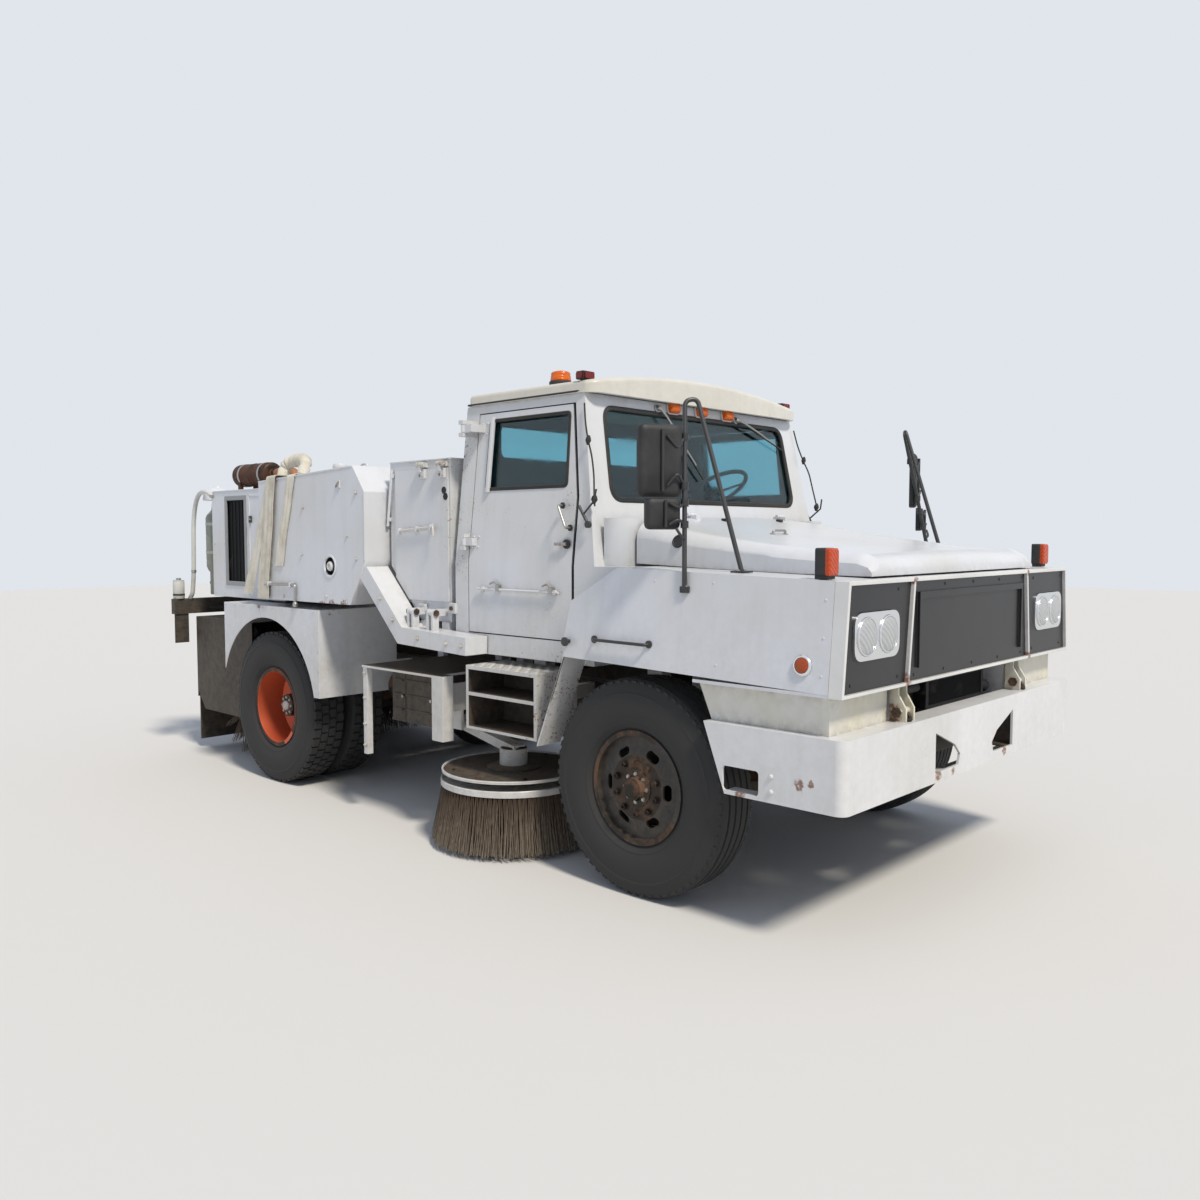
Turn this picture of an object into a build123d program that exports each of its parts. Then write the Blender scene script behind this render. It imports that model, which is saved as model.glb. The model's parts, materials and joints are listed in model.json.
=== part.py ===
"""Street sweeper truck: conventional cab, side-dump hopper, rear pick-up broom.

Millimetres. +X is the vehicle's left, -Y is forward, +Z is up. The origin is on
the ground, under the middle of the overall box.
"""

import os
from math import atan2, cos, radians, sin

from build123d import *

os.makedirs("parts", exist_ok=True)

# Overall size and stations along the truck
LENGTH = 6100.0
FRONT_Y = -LENGTH / 2
REAR_Y = LENGTH / 2
BODY_HALF = 1220.0  # half the width over the bumper and front fenders
FRONT_AXLE_Y = -1910.0
WHEELBASE = 3330.0
REAR_AXLE_Y = FRONT_AXLE_Y + WHEELBASE

# Fits
GAP = 0.3  # between pieces that only seat on each other
RUNNING = 0.05  # radial clearance of a pin or shaft in its bore
SHEET = 6.0  # pressed sheet metal

# Wheels
TYRE_R = 520.0
TYRE_W = 268.0
RIM_R = 256.0
FRONT_WHEEL_X = 1045.0
REAR_OUTER_X = 1030.0
REAR_INNER_X = 722.0
KINGPIN_X = 930.0
SPINDLE_R = 32.0
HUB_R = 88.0

# Frame rails
RAIL_X = 470.0  # outer face of the web
RAIL_FLANGE = 80.0
RAIL_WALL = 8.0
RAIL_Z = 640.0
RAIL_H = 230.0
RAIL_TOP = RAIL_Z + RAIL_H
KICK_Z = 1060.0  # underside of the raised rear run over the broom
KICK_H = 180.0
KICK_TOP = KICK_Z + KICK_H
KICK_Y = 1800.0
KICK_RUN = 200.0
RAIL_END_Y = REAR_Y - 90.0

# Bumper
BUMPER_Z = 605.0
BUMPER_H = 300.0
BUMPER_TOP = BUMPER_Z + BUMPER_H
BUMPER_WALL = 12.0
BUMPER_DEEP = 112.0
BUMPER_TAIL_Y = FRONT_Y + 689.0
BUMPER_SLANT = 115.0

# Nose, fenders and hood
NOSE_Z = 1066.0
NOSE_Y = FRONT_Y + 15.0
NOSE_DEEP = 65.0
FENDER_FRONT_Y = NOSE_Y + NOSE_DEEP
FENDER_TOP_FRONT = 1526.0
FENDER_TOP_REAR = 1554.0
FENDER_TOP_HALF = BODY_HALF - 49.0
FENDER_LEAN = atan2(BODY_HALF - FENDER_TOP_HALF, FENDER_TOP_REAR - NOSE_Z)
DECK_REAR_Y = -1815.0
HOOD_HALF = 868.0
HOOD_SEAM = 12.0
HOOD_REAR_Y = -1668.0
HOOD_REAR_Z = 1802.0
HOOD_FRONT_Z = 1634.0
LAMP_BAY = 552.0  # room for a pair of headlamps beside the divider
DIVIDER_LOW_X = BODY_HALF - LAMP_BAY
DIVIDER_TOP_X = DIVIDER_LOW_X - 46.0
FRAME_EDGE = 14.0

# Cab
CAB_HALF = 1040.0
CAB_TUMBLE = 100.0  # how far each side leans in above the belt
CAB_TOP_HALF = CAB_HALF - CAB_TUMBLE
CAB_FLOOR_Z = 1050.0
CAB_FLOOR_T = 40.0
BELT_Z = 1550.0
CAB_TOP_Z = 2430.0
CAB_REAR_Y = -450.0
CAB_FRONT_Y = -1540.0
CAB_FRONT_TOP_Y = -1378.0
CAB_WALL = 40.0
COWL_FRONT_Y = -1800.0
COWL_TOP_Z = 1790.0
ROOF_H = 140.0
ROOF_WALL = 22.0
DOOR_REAR_Y = -562.0
DOOR_FRONT_Y = -1398.0
DOOR_LOW_Z = 1160.0
DOOR_TOP_Z = 2384.0
DOOR_GAP = 6.0
DOOR_LEAD_GAP = 18.0  # room for the leading edge to swing out past the pillar
DOOR_PIN_X = CAB_HALF + 18.0
DOOR_PIN_Y = -552.0
PIN_R = 7.0
GLASS_T = 6.0

# Hopper, cradle and tanks
HOPPER_HALF = 1030.0
HOPPER_FRONT_Y = -400.0
HOPPER_REAR_Y = 180.0
HOPPER_TOP_Z = 2140.0
HOPPER_LOW_Z = 1205.0
HOPPER_KNEE_Y = -110.0
HOPPER_SLOPE_TOP_Z = 1520.0
HOPPER_WALL = 8.0
TILT_X = -1130.0
TILT_Z = 1262.0
DUMP_PIN_X = -1062.0
DUMP_PIN_Z = 2112.0
CRADLE_OUT_X = 1200.0
CRADLE_DEEP = 98.0
TANK_OUT_X = 1200.0
TANK_IN_X = 430.0
TANK_FRONT_Y = 211.0
TANK_REAR_Y = 1474.0

# Rear end
FENDER_BOX_Z = 656.0
FENDER_BOX_TOP = 1225.0
FENDER_BOX_FRONT_Y = 742.0
FENDER_BOX_REAR_Y = 2000.0
ARCH_R = 622.0
POD_HALF = 1000.0
POD_FRONT_Y = 1500.0
POD_REAR_Y = REAR_Y - 490.0
POD_Z = KICK_TOP
POD_TOP = 2035.0
BROOM_Y = REAR_Y - 685.0
BROOM_Z = 381.0
BROOM_R = 376.0
ARM_PIVOT_Y = REAR_Y - 980.0
ARM_PIVOT_Z = 985.0
HOOD_BOX_HALF = 985.0
BROOM_HALF = HOOD_BOX_HALF - 105.0

# Gutter brooms
GUTTER_X = 920.0
GUTTER_Y = -800.0
GUTTER_R = 462.0
GUTTER_RING_R = 405.0
GUTTER_PIVOT_Y = -330.0
GUTTER_PIVOT_Z = 615.0


def across(x):
    """Plane facing +X at x: its local axes are Y and Z."""
    return Plane.YZ.offset(x)


def facing(y):
    """Plane facing forward at y: its local axes are X and Z."""
    return Plane.XZ.offset(-y)


def level(z):
    """Plane facing up at z: its local axes are X and Y."""
    return Plane.XY.offset(z)


def prism(plane, outline, depth, mode=Mode.ADD):
    """Straight-sided solid on a plane, from the corners of its outline."""
    with BuildSketch(plane) as face:
        with BuildLine():
            Polyline(*outline, close=True)
        make_face()
    extrude(face.sketch, amount=depth, mode=mode)


def block(xs, ys, zs, mode=Mode.ADD):
    """Box given by its low and high side along each axis."""
    centre = [(low + high) / 2 for low, high in (xs, ys, zs)]
    with Locations(tuple(centre)):
        Box(xs[1] - xs[0], ys[1] - ys[0], zs[1] - zs[0], mode=mode)


def rod(start, end, radius, mode=Mode.ADD):
    """Round bar between two points."""
    run = Vector(*end) - Vector(*start)
    with BuildSketch(Plane(origin=start, z_dir=run)) as face:
        Circle(radius)
    extrude(face.sketch, amount=run.length, mode=mode)


def turned(y, z, outline, mode=Mode.ADD):
    """Turned piece about an axle line along X: outline is (x, radius) points."""
    with BuildSketch(facing(y)) as face:
        with BuildLine():
            Polyline(*[(x, z + r) for x, r in outline], close=True)
        make_face()
    revolve(face.sketch, axis=Axis((0, y, z), (1, 0, 0)), mode=mode)


def band(points, thickness):
    """Corners of a strip of sheet that follows points, thickness to their left."""
    shifted = []
    for index, point in enumerate(points):
        before = points[max(index - 1, 0)]
        after = points[min(index + 1, len(points) - 1)]
        first = Vector(point[0] - before[0], point[1] - before[1])
        second = Vector(after[0] - point[0], after[1] - point[1])
        first = first if first.length else second
        second = second if second.length else first
        first = first.normalized()
        second = second.normalized()
        middle = (first + second).normalized()
        reach = thickness / (middle.X * first.X + middle.Y * first.Y)
        shifted.append((point[0] - middle.Y * reach, point[1] + middle.X * reach))
    return list(points) + shifted[::-1]


def save(builder, name):
    """Label a finished piece and write it."""
    builder.part.label = name
    export_step(builder.part, f"parts/{name}.step")


def save_left(builder, name):
    """Write the mirrored twin of a right-hand piece."""
    with BuildPart() as twin:
        mirror(builder.part, about=Plane.YZ)
    save(twin, name)


# Frame: two channel rails with a raised rear run, and cross members
rail_line = [
    (FRONT_Y + BUMPER_WALL, RAIL_Z),
    (KICK_Y, RAIL_Z),
    (KICK_Y + KICK_RUN, KICK_Z),
    (RAIL_END_Y, KICK_Z),
    (RAIL_END_Y, KICK_TOP),
    (KICK_Y + KICK_RUN - 110.0, KICK_TOP),
    (KICK_Y - 110.0, RAIL_TOP),
    (FRONT_Y + BUMPER_WALL, RAIL_TOP),
]
rail_core = [
    (FRONT_Y - 10.0, RAIL_Z + RAIL_WALL),
    (KICK_Y - 5.0, RAIL_Z + RAIL_WALL),
    (KICK_Y + KICK_RUN - 5.0, KICK_Z + RAIL_WALL),
    (REAR_Y + 10.0, KICK_Z + RAIL_WALL),
    (REAR_Y + 10.0, KICK_TOP - RAIL_WALL),
    (KICK_Y + KICK_RUN - 105.0, KICK_TOP - RAIL_WALL),
    (KICK_Y - 105.0, RAIL_TOP - RAIL_WALL),
    (FRONT_Y - 10.0, RAIL_TOP - RAIL_WALL),
]
cross_members = [  # y, low z, height
    (FRONT_Y + 260.0, RAIL_Z, 90.0),
    (-1150.0, RAIL_TOP - RAIL_WALL - 72.0, 72.0),
    (-150.0, RAIL_TOP - RAIL_WALL - 72.0, 72.0),
    (760.0, RAIL_TOP - RAIL_WALL - 72.0, 72.0),
    (RAIL_END_Y - 60.0, KICK_Z + 15.0, 140.0),
]
with BuildPart() as frame:
    prism(across(RAIL_X - RAIL_FLANGE), rail_line, RAIL_FLANGE)
    prism(across(RAIL_X - RAIL_FLANGE), rail_core, RAIL_FLANGE - RAIL_WALL, Mode.SUBTRACT)
    mirror(about=Plane.YZ)
    for y, low, height in cross_members:
        block((RAIL_WALL - RAIL_X, RAIL_X - RAIL_WALL), (y - 40.0, y + 40.0), (low, low + height))
save(frame, "frame")

# Bumper: a deep channel wrapped round the nose, with its corners rounded
recess_side_y = (-2650.0, -2465.0)
recess_side_z = (622.0, 727.0)
front_hole = [(432.0, 650.0), (432.0, 830.0), (236.0, 752.0), (178.0, 700.0), (196.0, 652.0)]
with BuildPart() as bumper:
    with BuildSketch(level(BUMPER_Z)) as plan:
        with Locations((0, (FRONT_Y + BUMPER_TAIL_Y) / 2)):
            Rectangle(2 * BODY_HALF, BUMPER_TAIL_Y - FRONT_Y)
        fillet(plan.vertices().group_by(Axis.Y)[0], radius=45.0)
        hole_y = FRONT_Y + BUMPER_DEEP
        with Locations((0, (hole_y + BUMPER_TAIL_Y) / 2 + 50.0)):
            Rectangle(2 * (BODY_HALF - 90.0), BUMPER_TAIL_Y - hole_y + 100.0, mode=Mode.SUBTRACT)
    extrude(plan.sketch, amount=BUMPER_H)
    with BuildSketch(level(BUMPER_Z + BUMPER_WALL)) as core:
        with Locations((0, (FRONT_Y + BUMPER_TAIL_Y) / 2 + BUMPER_WALL)):
            Rectangle(2 * (BODY_HALF - BUMPER_WALL), BUMPER_TAIL_Y - FRONT_Y)
        fillet(core.vertices().group_by(Axis.Y)[0], radius=45.0 - BUMPER_WALL)
    extrude(core.sketch, amount=BUMPER_H - 2 * BUMPER_WALL, mode=Mode.SUBTRACT)
    slant = [
        (BUMPER_TAIL_Y - BUMPER_SLANT, BUMPER_Z - 1.0),
        (BUMPER_TAIL_Y, BUMPER_TOP + 1.0),
        (BUMPER_TAIL_Y + 20.0, BUMPER_TOP + 1.0),
        (BUMPER_TAIL_Y + 20.0, BUMPER_Z - 1.0),
    ]
    prism(across(-BODY_HALF - 10.0), slant, 2 * BODY_HALF + 20.0, Mode.SUBTRACT)
    for side in (-1, 1):
        prism(facing(FRONT_Y + 60.0), [(side * x, z) for x, z in front_hole], 80.0, Mode.SUBTRACT)
        with BuildSketch(across(side * BODY_HALF - 30.0)) as slot:
            with Locations((sum(recess_side_y) / 2, sum(recess_side_z) / 2)):
                RectangleRounded(
                    recess_side_y[1] - recess_side_y[0], recess_side_z[1] - recess_side_z[0], 16.0
                )
        extrude(slot.sketch, amount=60.0, mode=Mode.SUBTRACT)
save(bumper, "bumper")

# Lower front: the set-back panels between bumper and nose, and the rusty hook brackets
LOWER_SIDE_X = BODY_HALF - 50.0
LOWER_FRONT_Y = FRONT_Y + 100.0
LOWER_IN_X = 700.0
BRACKET_X = 630.0
HOOK_Y = FRONT_Y + 60.0
with BuildPart() as lower_front:
    side_outline = [
        (LOWER_FRONT_Y, BUMPER_TOP),
        (LOWER_FRONT_Y, NOSE_Z),
        (BUMPER_TAIL_Y + 62.0, NOSE_Z),
        (BUMPER_TAIL_Y - 8.0, BUMPER_TOP),
    ]
    prism(across(-LOWER_SIDE_X), side_outline, SHEET)
    block((-LOWER_SIDE_X, -LOWER_IN_X), (LOWER_FRONT_Y, LOWER_FRONT_Y + SHEET), (BUMPER_TOP, NOSE_Z))
    block((-LOWER_IN_X - SHEET, -LOWER_IN_X), (LOWER_FRONT_Y, LOWER_FRONT_Y + 190.0), (BUMPER_TOP, NOSE_Z))
    for plate_x in (BRACKET_X - 42.0, BRACKET_X + 30.0):
        prism(
            across(-plate_x - 6.0),
            [(HOOK_Y - 32.0, BUMPER_TOP), (HOOK_Y - 32.0, 962.0), (HOOK_Y + 5.0, 1022.0),
             (HOOK_Y + 5.0, NOSE_Z), (HOOK_Y + 45.0, NOSE_Z), (HOOK_Y + 45.0, BUMPER_TOP)],
            12.0,
        )
    rod((-BRACKET_X - 52.0, HOOK_Y, 948.0), (-BRACKET_X + 58.0, HOOK_Y, 948.0), 15.0)
    mirror(about=Plane.YZ)
save(lower_front, "lower_front")


def fender_half(z):
    """Half-width of the leaning fender side at a height."""
    share = (z - NOSE_Z) / (FENDER_TOP_REAR - NOSE_Z)
    return BODY_HALF + (FENDER_TOP_HALF - BODY_HALF) * share


def deck_top(y):
    """Height of the fender's flat deck at a station."""
    share = (y - FENDER_FRONT_Y) / (DECK_REAR_Y - FENDER_FRONT_Y)
    return FENDER_TOP_FRONT + (FENDER_TOP_REAR - FENDER_TOP_FRONT) * share


# Front fenders: a leaning side, a flat deck, the back wall with its slanted flange,
# the inner panel that stands on the rail, and the splash plate behind the wheel
fender_side = [
    (FENDER_FRONT_Y, 1078.0),
    (FENDER_FRONT_Y, FENDER_TOP_FRONT),
    (DECK_REAR_Y, FENDER_TOP_REAR),
    (-1523.0, 1386.0),
    (-1490.0, 1198.0),
    (-1492.0, 1113.0),
]
fender_core = [
    (FENDER_FRONT_Y + SHEET, 1000.0),
    (FENDER_FRONT_Y + SHEET, FENDER_TOP_FRONT - SHEET),
    (DECK_REAR_Y - 4.0, FENDER_TOP_REAR - SHEET - 1.0),
    (-1529.0, 1382.0),
    (-1496.5, 1197.0),
    (-1498.5, 1000.0),
]
DECK_IN_X = HOOD_HALF + HOOD_SEAM
INNER_X = 600.0
FENDER_BLANK_Y = -1400.0  # where the fender blank starts, behind its tail
INNER_FRONT_Y = FRONT_Y + BUMPER_DEEP + 10.0
SPLASH_LOW_Y = -1297.0
SPLASH_LOW_Z = 643.0
SPLASH_W = 160.0
with BuildPart() as front_fenders:
    shell_section = [
        (-fender_half(1000.0), 1000.0),
        (-fender_half(1600.0), 1600.0),
        (-DECK_IN_X, 1600.0),
        (-DECK_IN_X, 1000.0),
    ]
    core_section = [
        (-fender_half(1000.0) + SHEET, 1000.0),
        (-fender_half(1600.0) + SHEET, 1600.0),
        (-DECK_IN_X + 20.0, 1600.0),
        (-DECK_IN_X + 20.0, 1000.0),
    ]
    with BuildPart(mode=Mode.PRIVATE) as outer:
        prism(facing(FENDER_BLANK_Y), shell_section, FENDER_BLANK_Y - FRONT_Y)
        prism(across(-1400.0), fender_side, 800.0, Mode.INTERSECT)
    with BuildPart(mode=Mode.PRIVATE) as inner:
        prism(facing(FENDER_BLANK_Y), core_section, FENDER_BLANK_Y - FRONT_Y)
        prism(across(-1400.0), fender_core, 800.0, Mode.INTERSECT)
    add(outer.part)
    add(inner.part, mode=Mode.SUBTRACT)
    block((-CAB_HALF - 6.0, -700.0), (DECK_REAR_Y, FENDER_BLANK_Y), (1000.0, 1600.0), Mode.SUBTRACT)
    block(
        (-BODY_HALF + 2.0, -LOWER_SIDE_X + SHEET),
        (FENDER_FRONT_Y, BUMPER_TAIL_Y + 62.0),
        (NOSE_Z, NOSE_Z + 14.0),
    )
    inner_line = [
        (-RAIL_X + 40.0, RAIL_TOP),
        (-INNER_X, RAIL_TOP),
        (-INNER_X, 1170.0),
        (-DECK_IN_X, 1480.0),
        (-DECK_IN_X, 1600.0),
    ]
    under_deck = [
        (FENDER_FRONT_Y, RAIL_TOP),
        (FENDER_FRONT_Y, FENDER_TOP_FRONT),
        (DECK_REAR_Y, FENDER_TOP_REAR),
        (DECK_REAR_Y, RAIL_TOP),
    ]
    with BuildPart(mode=Mode.PRIVATE) as inner_panel:
        prism(facing(DECK_REAR_Y), band(inner_line, -SHEET), DECK_REAR_Y - INNER_FRONT_Y)
        prism(across(-1000.0), under_deck, 600.0, Mode.INTERSECT)
    add(inner_panel.part)
    splash_line = [(-1496.0, 1122.0), (SPLASH_LOW_Y, SPLASH_LOW_Z)]
    prism(across(-fender_half(1113.0) + SHEET), band(splash_line, -8.0), SPLASH_W)
    mirror(about=Plane.YZ)
save(front_fenders, "front_fenders")

# Grille frame: the nose cap with two dividers
nose_outline = [
    (-BODY_HALF, NOSE_Z),
    (-fender_half(FENDER_TOP_FRONT), FENDER_TOP_FRONT),
    (fender_half(FENDER_TOP_FRONT), FENDER_TOP_FRONT),
    (BODY_HALF, NOSE_Z),
]
opening_low = NOSE_Z + FRAME_EDGE
opening_top = FENDER_TOP_FRONT - FRAME_EDGE - 4.0
lamp_opening = [
    (BODY_HALF - FRAME_EDGE - 3.0, opening_low),
    (fender_half(opening_top) - FRAME_EDGE - 3.0, opening_top),
    (DIVIDER_TOP_X + 7.0, opening_top),
    (DIVIDER_LOW_X + 7.0, opening_low),
]
centre_opening = [
    (-DIVIDER_LOW_X + 7.0, opening_low),
    (-DIVIDER_TOP_X + 7.0, opening_top),
    (DIVIDER_TOP_X - 7.0, opening_top),
    (DIVIDER_LOW_X - 7.0, opening_low),
]
with BuildPart() as grille_frame:
    prism(facing(FENDER_FRONT_Y), nose_outline, NOSE_DEEP)
    for side in (-1, 1):
        prism(facing(FENDER_FRONT_Y + 1.0), [(side * x, z) for x, z in lamp_opening], 90.0,
              Mode.SUBTRACT)
    prism(facing(FENDER_FRONT_Y + 1.0), centre_opening, 90.0, Mode.SUBTRACT)
save(grille_frame, "grille_frame")

# Grille panels: dark plates set back in the three openings, the middle one with a raised frame
PANEL_Y = FENDER_FRONT_Y - 14.0
LAMP_X = BODY_HALF - 285.0
LAMP_Z = 1300.0
LAMP_R = 74.0
LAMP_PITCH = 176.0
CENTRE_RIM_W = 2 * (DIVIDER_TOP_X - 52.0)
with BuildPart() as grille_panels:
    for side in (-1, 1):
        with BuildSketch(facing(PANEL_Y)) as plate:
            with BuildLine():
                Polyline(*[(side * x, z) for x, z in lamp_opening], close=True)
            make_face()
            offset(amount=-GAP, mode=Mode.REPLACE)
            with Locations((side * LAMP_X, LAMP_Z)):
                RectangleRounded(372.0, 196.0, 60.0, mode=Mode.SUBTRACT)
        extrude(plate.sketch, amount=SHEET)
    with BuildSketch(facing(PANEL_Y)) as plate:
        with BuildLine():
            Polyline(*centre_opening, close=True)
        make_face()
        offset(amount=-GAP, mode=Mode.REPLACE)
    extrude(plate.sketch, amount=SHEET)
    with BuildSketch(facing(PANEL_Y - SHEET)) as rim:
        Rectangle(CENTRE_RIM_W, 330.0, align=(Align.CENTER, Align.MIN))
        Rectangle(CENTRE_RIM_W - 30.0, 300.0, align=(Align.CENTER, Align.MIN), mode=Mode.SUBTRACT)
    extrude(rim.sketch.moved(Location((0, 0, 1132.0))), amount=14.0)
save(grille_panels, "grille_panels")


def hood_section(y, crown, skirt, half):
    """Closed hood section: upright side, rounded shoulder, crowned top."""
    rise = crown - skirt
    side = (half, skirt + 0.53 * rise)
    bend = (half - 30.0, skirt + 0.785 * rise)
    high = (half - 120.0, skirt + 0.9 * rise)
    with BuildSketch(facing(y)) as section:
        with BuildLine():
            Line((-half, skirt), (half, skirt))
            Line((half, skirt), side)
            ThreePointArc(side, bend, high)
            ThreePointArc(high, (0, crown), (-high[0], high[1]))
            ThreePointArc((-high[0], high[1]), (-bend[0], bend[1]), (-side[0], side[1]))
            Line((-side[0], side[1]), (-half, skirt))
        make_face()
    return section.sketch


# Hood: crowned lid from the cowl to a rolled nose, hinged along the cowl
NOSE_ROLL = 74.0
HOOD_NOSE_Y = FENDER_FRONT_Y + 8.0
hood_stations = [  # y, crown z, skirt z
    (HOOD_REAR_Y, HOOD_REAR_Z, BELT_Z + 14.0),
    (-2150.0, 1712.0, BELT_Z - 4.0),
    (HOOD_NOSE_Y + NOSE_ROLL, HOOD_FRONT_Z, FENDER_TOP_FRONT + 7.0),
]
hood_nose = [
    hood_stations[-1],
    (HOOD_NOSE_Y + 0.25 * NOSE_ROLL, HOOD_FRONT_Z - 32.0, FENDER_TOP_FRONT + 7.0),
    (HOOD_NOSE_Y, FENDER_TOP_FRONT + 34.0, FENDER_TOP_FRONT + 7.0),
]


def hood_form(inset):
    """The hood's outer form, or the room under it."""
    with BuildPart(mode=Mode.PRIVATE) as form:
        for stations in (hood_stations, hood_nose):
            for y, crown, skirt in stations:
                rear = 20.0 if inset and y == HOOD_REAR_Y else 0.0
                front = inset if y < HOOD_NOSE_Y + NOSE_ROLL - 1.0 else 0.0
                drop = 30.0 if inset else 0.0
                add(hood_section(y + rear + front, crown - inset, skirt - drop, HOOD_HALF - inset))
            loft(ruled=stations is hood_nose)
    return form.part


HINGE_X = 420.0
HOOD_PIN_Y = HOOD_REAR_Y + 8.0
HOOD_PIN_Z = HOOD_REAR_Z + 10.0
HOOD_PIN_R = 7.0
with BuildPart() as hood:
    add(hood_form(0.0))
    add(hood_form(SHEET), mode=Mode.SUBTRACT)
    for x in (-HINGE_X, HINGE_X):
        rod((x - 18.0, HOOD_PIN_Y, HOOD_PIN_Z), (x + 18.0, HOOD_PIN_Y, HOOD_PIN_Z), HOOD_PIN_R + 5.0)
        block((x - 18.0, x + 18.0), (HOOD_REAR_Y - 40.0, HOOD_PIN_Y), (HOOD_REAR_Z - 16.0, HOOD_PIN_Z - 2.0))
        bore = HOOD_PIN_R + RUNNING
        rod((x - 20.0, HOOD_PIN_Y, HOOD_PIN_Z), (x + 20.0, HOOD_PIN_Y, HOOD_PIN_Z), bore, Mode.SUBTRACT)
save(hood, "hood")

# Engine and gearbox under the hood on their feet, and the radiator ahead of them
ENGINE_FOOT_X = RAIL_X - 44.0
RADIATOR_FRONT_Y = FRONT_Y + 170.0
with BuildPart() as engine:
    block((-320.0, 320.0), (RADIATOR_FRONT_Y + 180.0, -1840.0), (700.0, 1440.0))
    for y in (RADIATOR_FRONT_Y + 380.0, -1960.0):
        block((-ENGINE_FOOT_X, ENGINE_FOOT_X), (y - 40.0, y + 40.0), (RAIL_TOP, RAIL_TOP + 40.0))
    block((-130.0, 130.0), (-1840.0, -1260.0), (660.0, 960.0))
    block((-430.0, 430.0), (RADIATOR_FRONT_Y, RADIATOR_FRONT_Y + 80.0), (RAIL_TOP, 1490.0))
    block((-300.0, 300.0), (RADIATOR_FRONT_Y - 50.0, RADIATOR_FRONT_Y), (918.0, 1036.0))
save(engine, "engine")

# Cab shell: floor, walls leaning in above the belt, cowl, and the openings cut through
windshield_outline = [(842.0, 1886.0), (812.0, 2366.0)]
rear_window = (-720.0, 720.0, 2150.0, 2350.0)
door_hinge_z = (1668.0, 2296.0)
HINGE_H = 90.0
door_outline = [
    (DOOR_REAR_Y, DOOR_LOW_Z),
    (DOOR_REAR_Y, DOOR_TOP_Z),
    (-1322.0, DOOR_TOP_Z),
    (DOOR_FRONT_Y, 1900.0),
    (DOOR_FRONT_Y, DOOR_LOW_Z),
]
door_window = [(-668.0, 1958.0), (-668.0, 2336.0), (-1286.0, 2336.0), (-1302.0, 1958.0)]


def cab_half(z):
    """Half-width of the cab's outer side at a height."""
    if z <= BELT_Z:
        return CAB_HALF
    return CAB_HALF + (CAB_TOP_HALF - CAB_HALF) * (z - BELT_Z) / (CAB_TOP_Z - BELT_Z)


def cab_front(z):
    """Outer face of the cab's front wall at a height."""
    if z <= BELT_Z:
        return CAB_FRONT_Y
    return CAB_FRONT_Y + (CAB_FRONT_TOP_Y - CAB_FRONT_Y) * (z - BELT_Z) / (CAB_TOP_Z - BELT_Z)


def cab_solid(inset, floor):
    """The cab's outer form, or the room inside it."""
    with BuildPart(mode=Mode.PRIVATE) as form:
        section = [
            (-CAB_HALF + inset, CAB_FLOOR_Z + floor),
            (-CAB_HALF + inset, BELT_Z),
            (-CAB_TOP_HALF + inset, CAB_TOP_Z),
            (CAB_TOP_HALF - inset, CAB_TOP_Z),
            (CAB_HALF - inset, BELT_Z),
            (CAB_HALF - inset, CAB_FLOOR_Z + floor),
        ]
        profile = [
            (CAB_REAR_Y - inset, CAB_FLOOR_Z + floor),
            (CAB_REAR_Y - inset, CAB_TOP_Z),
            (CAB_FRONT_TOP_Y + inset, CAB_TOP_Z),
            (CAB_FRONT_Y + inset, BELT_Z),
            (CAB_FRONT_Y + inset, CAB_FLOOR_Z + floor),
        ]
        prism(facing(0.0), section, 1700.0)
        prism(across(-CAB_HALF - 1.0), profile, 2 * CAB_HALF + 2.0, Mode.INTERSECT)
    return form.part


def windshield_hole(shrink):
    """Windshield opening, its corners rounded, straight through the front wall."""
    low, top = windshield_outline
    with BuildPart(mode=Mode.PRIVATE) as hole:
        with BuildSketch(facing(-1300.0)) as face:
            with BuildLine():
                Polyline(
                    (-low[0], low[1]), (-top[0], top[1]), (top[0], top[1]), (low[0], low[1]),
                    close=True,
                )
            make_face()
            fillet(face.vertices(), radius=75.0)
            if shrink:
                offset(amount=-shrink, mode=Mode.REPLACE)
        extrude(face.sketch, amount=300.0)
    return hole.part


def door_solid(side, outline):
    """Slab through one side of the cab with the door's outline."""
    inner = min(CAB_TOP_HALF, CAB_HALF) - CAB_WALL - 20.0
    outer = max(CAB_TOP_HALF, CAB_HALF) + 20.0
    low, high = sorted((side * inner, side * outer))
    with BuildPart(mode=Mode.PRIVATE) as slab:
        prism(across(low), outline, high - low)
    return slab.part


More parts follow.
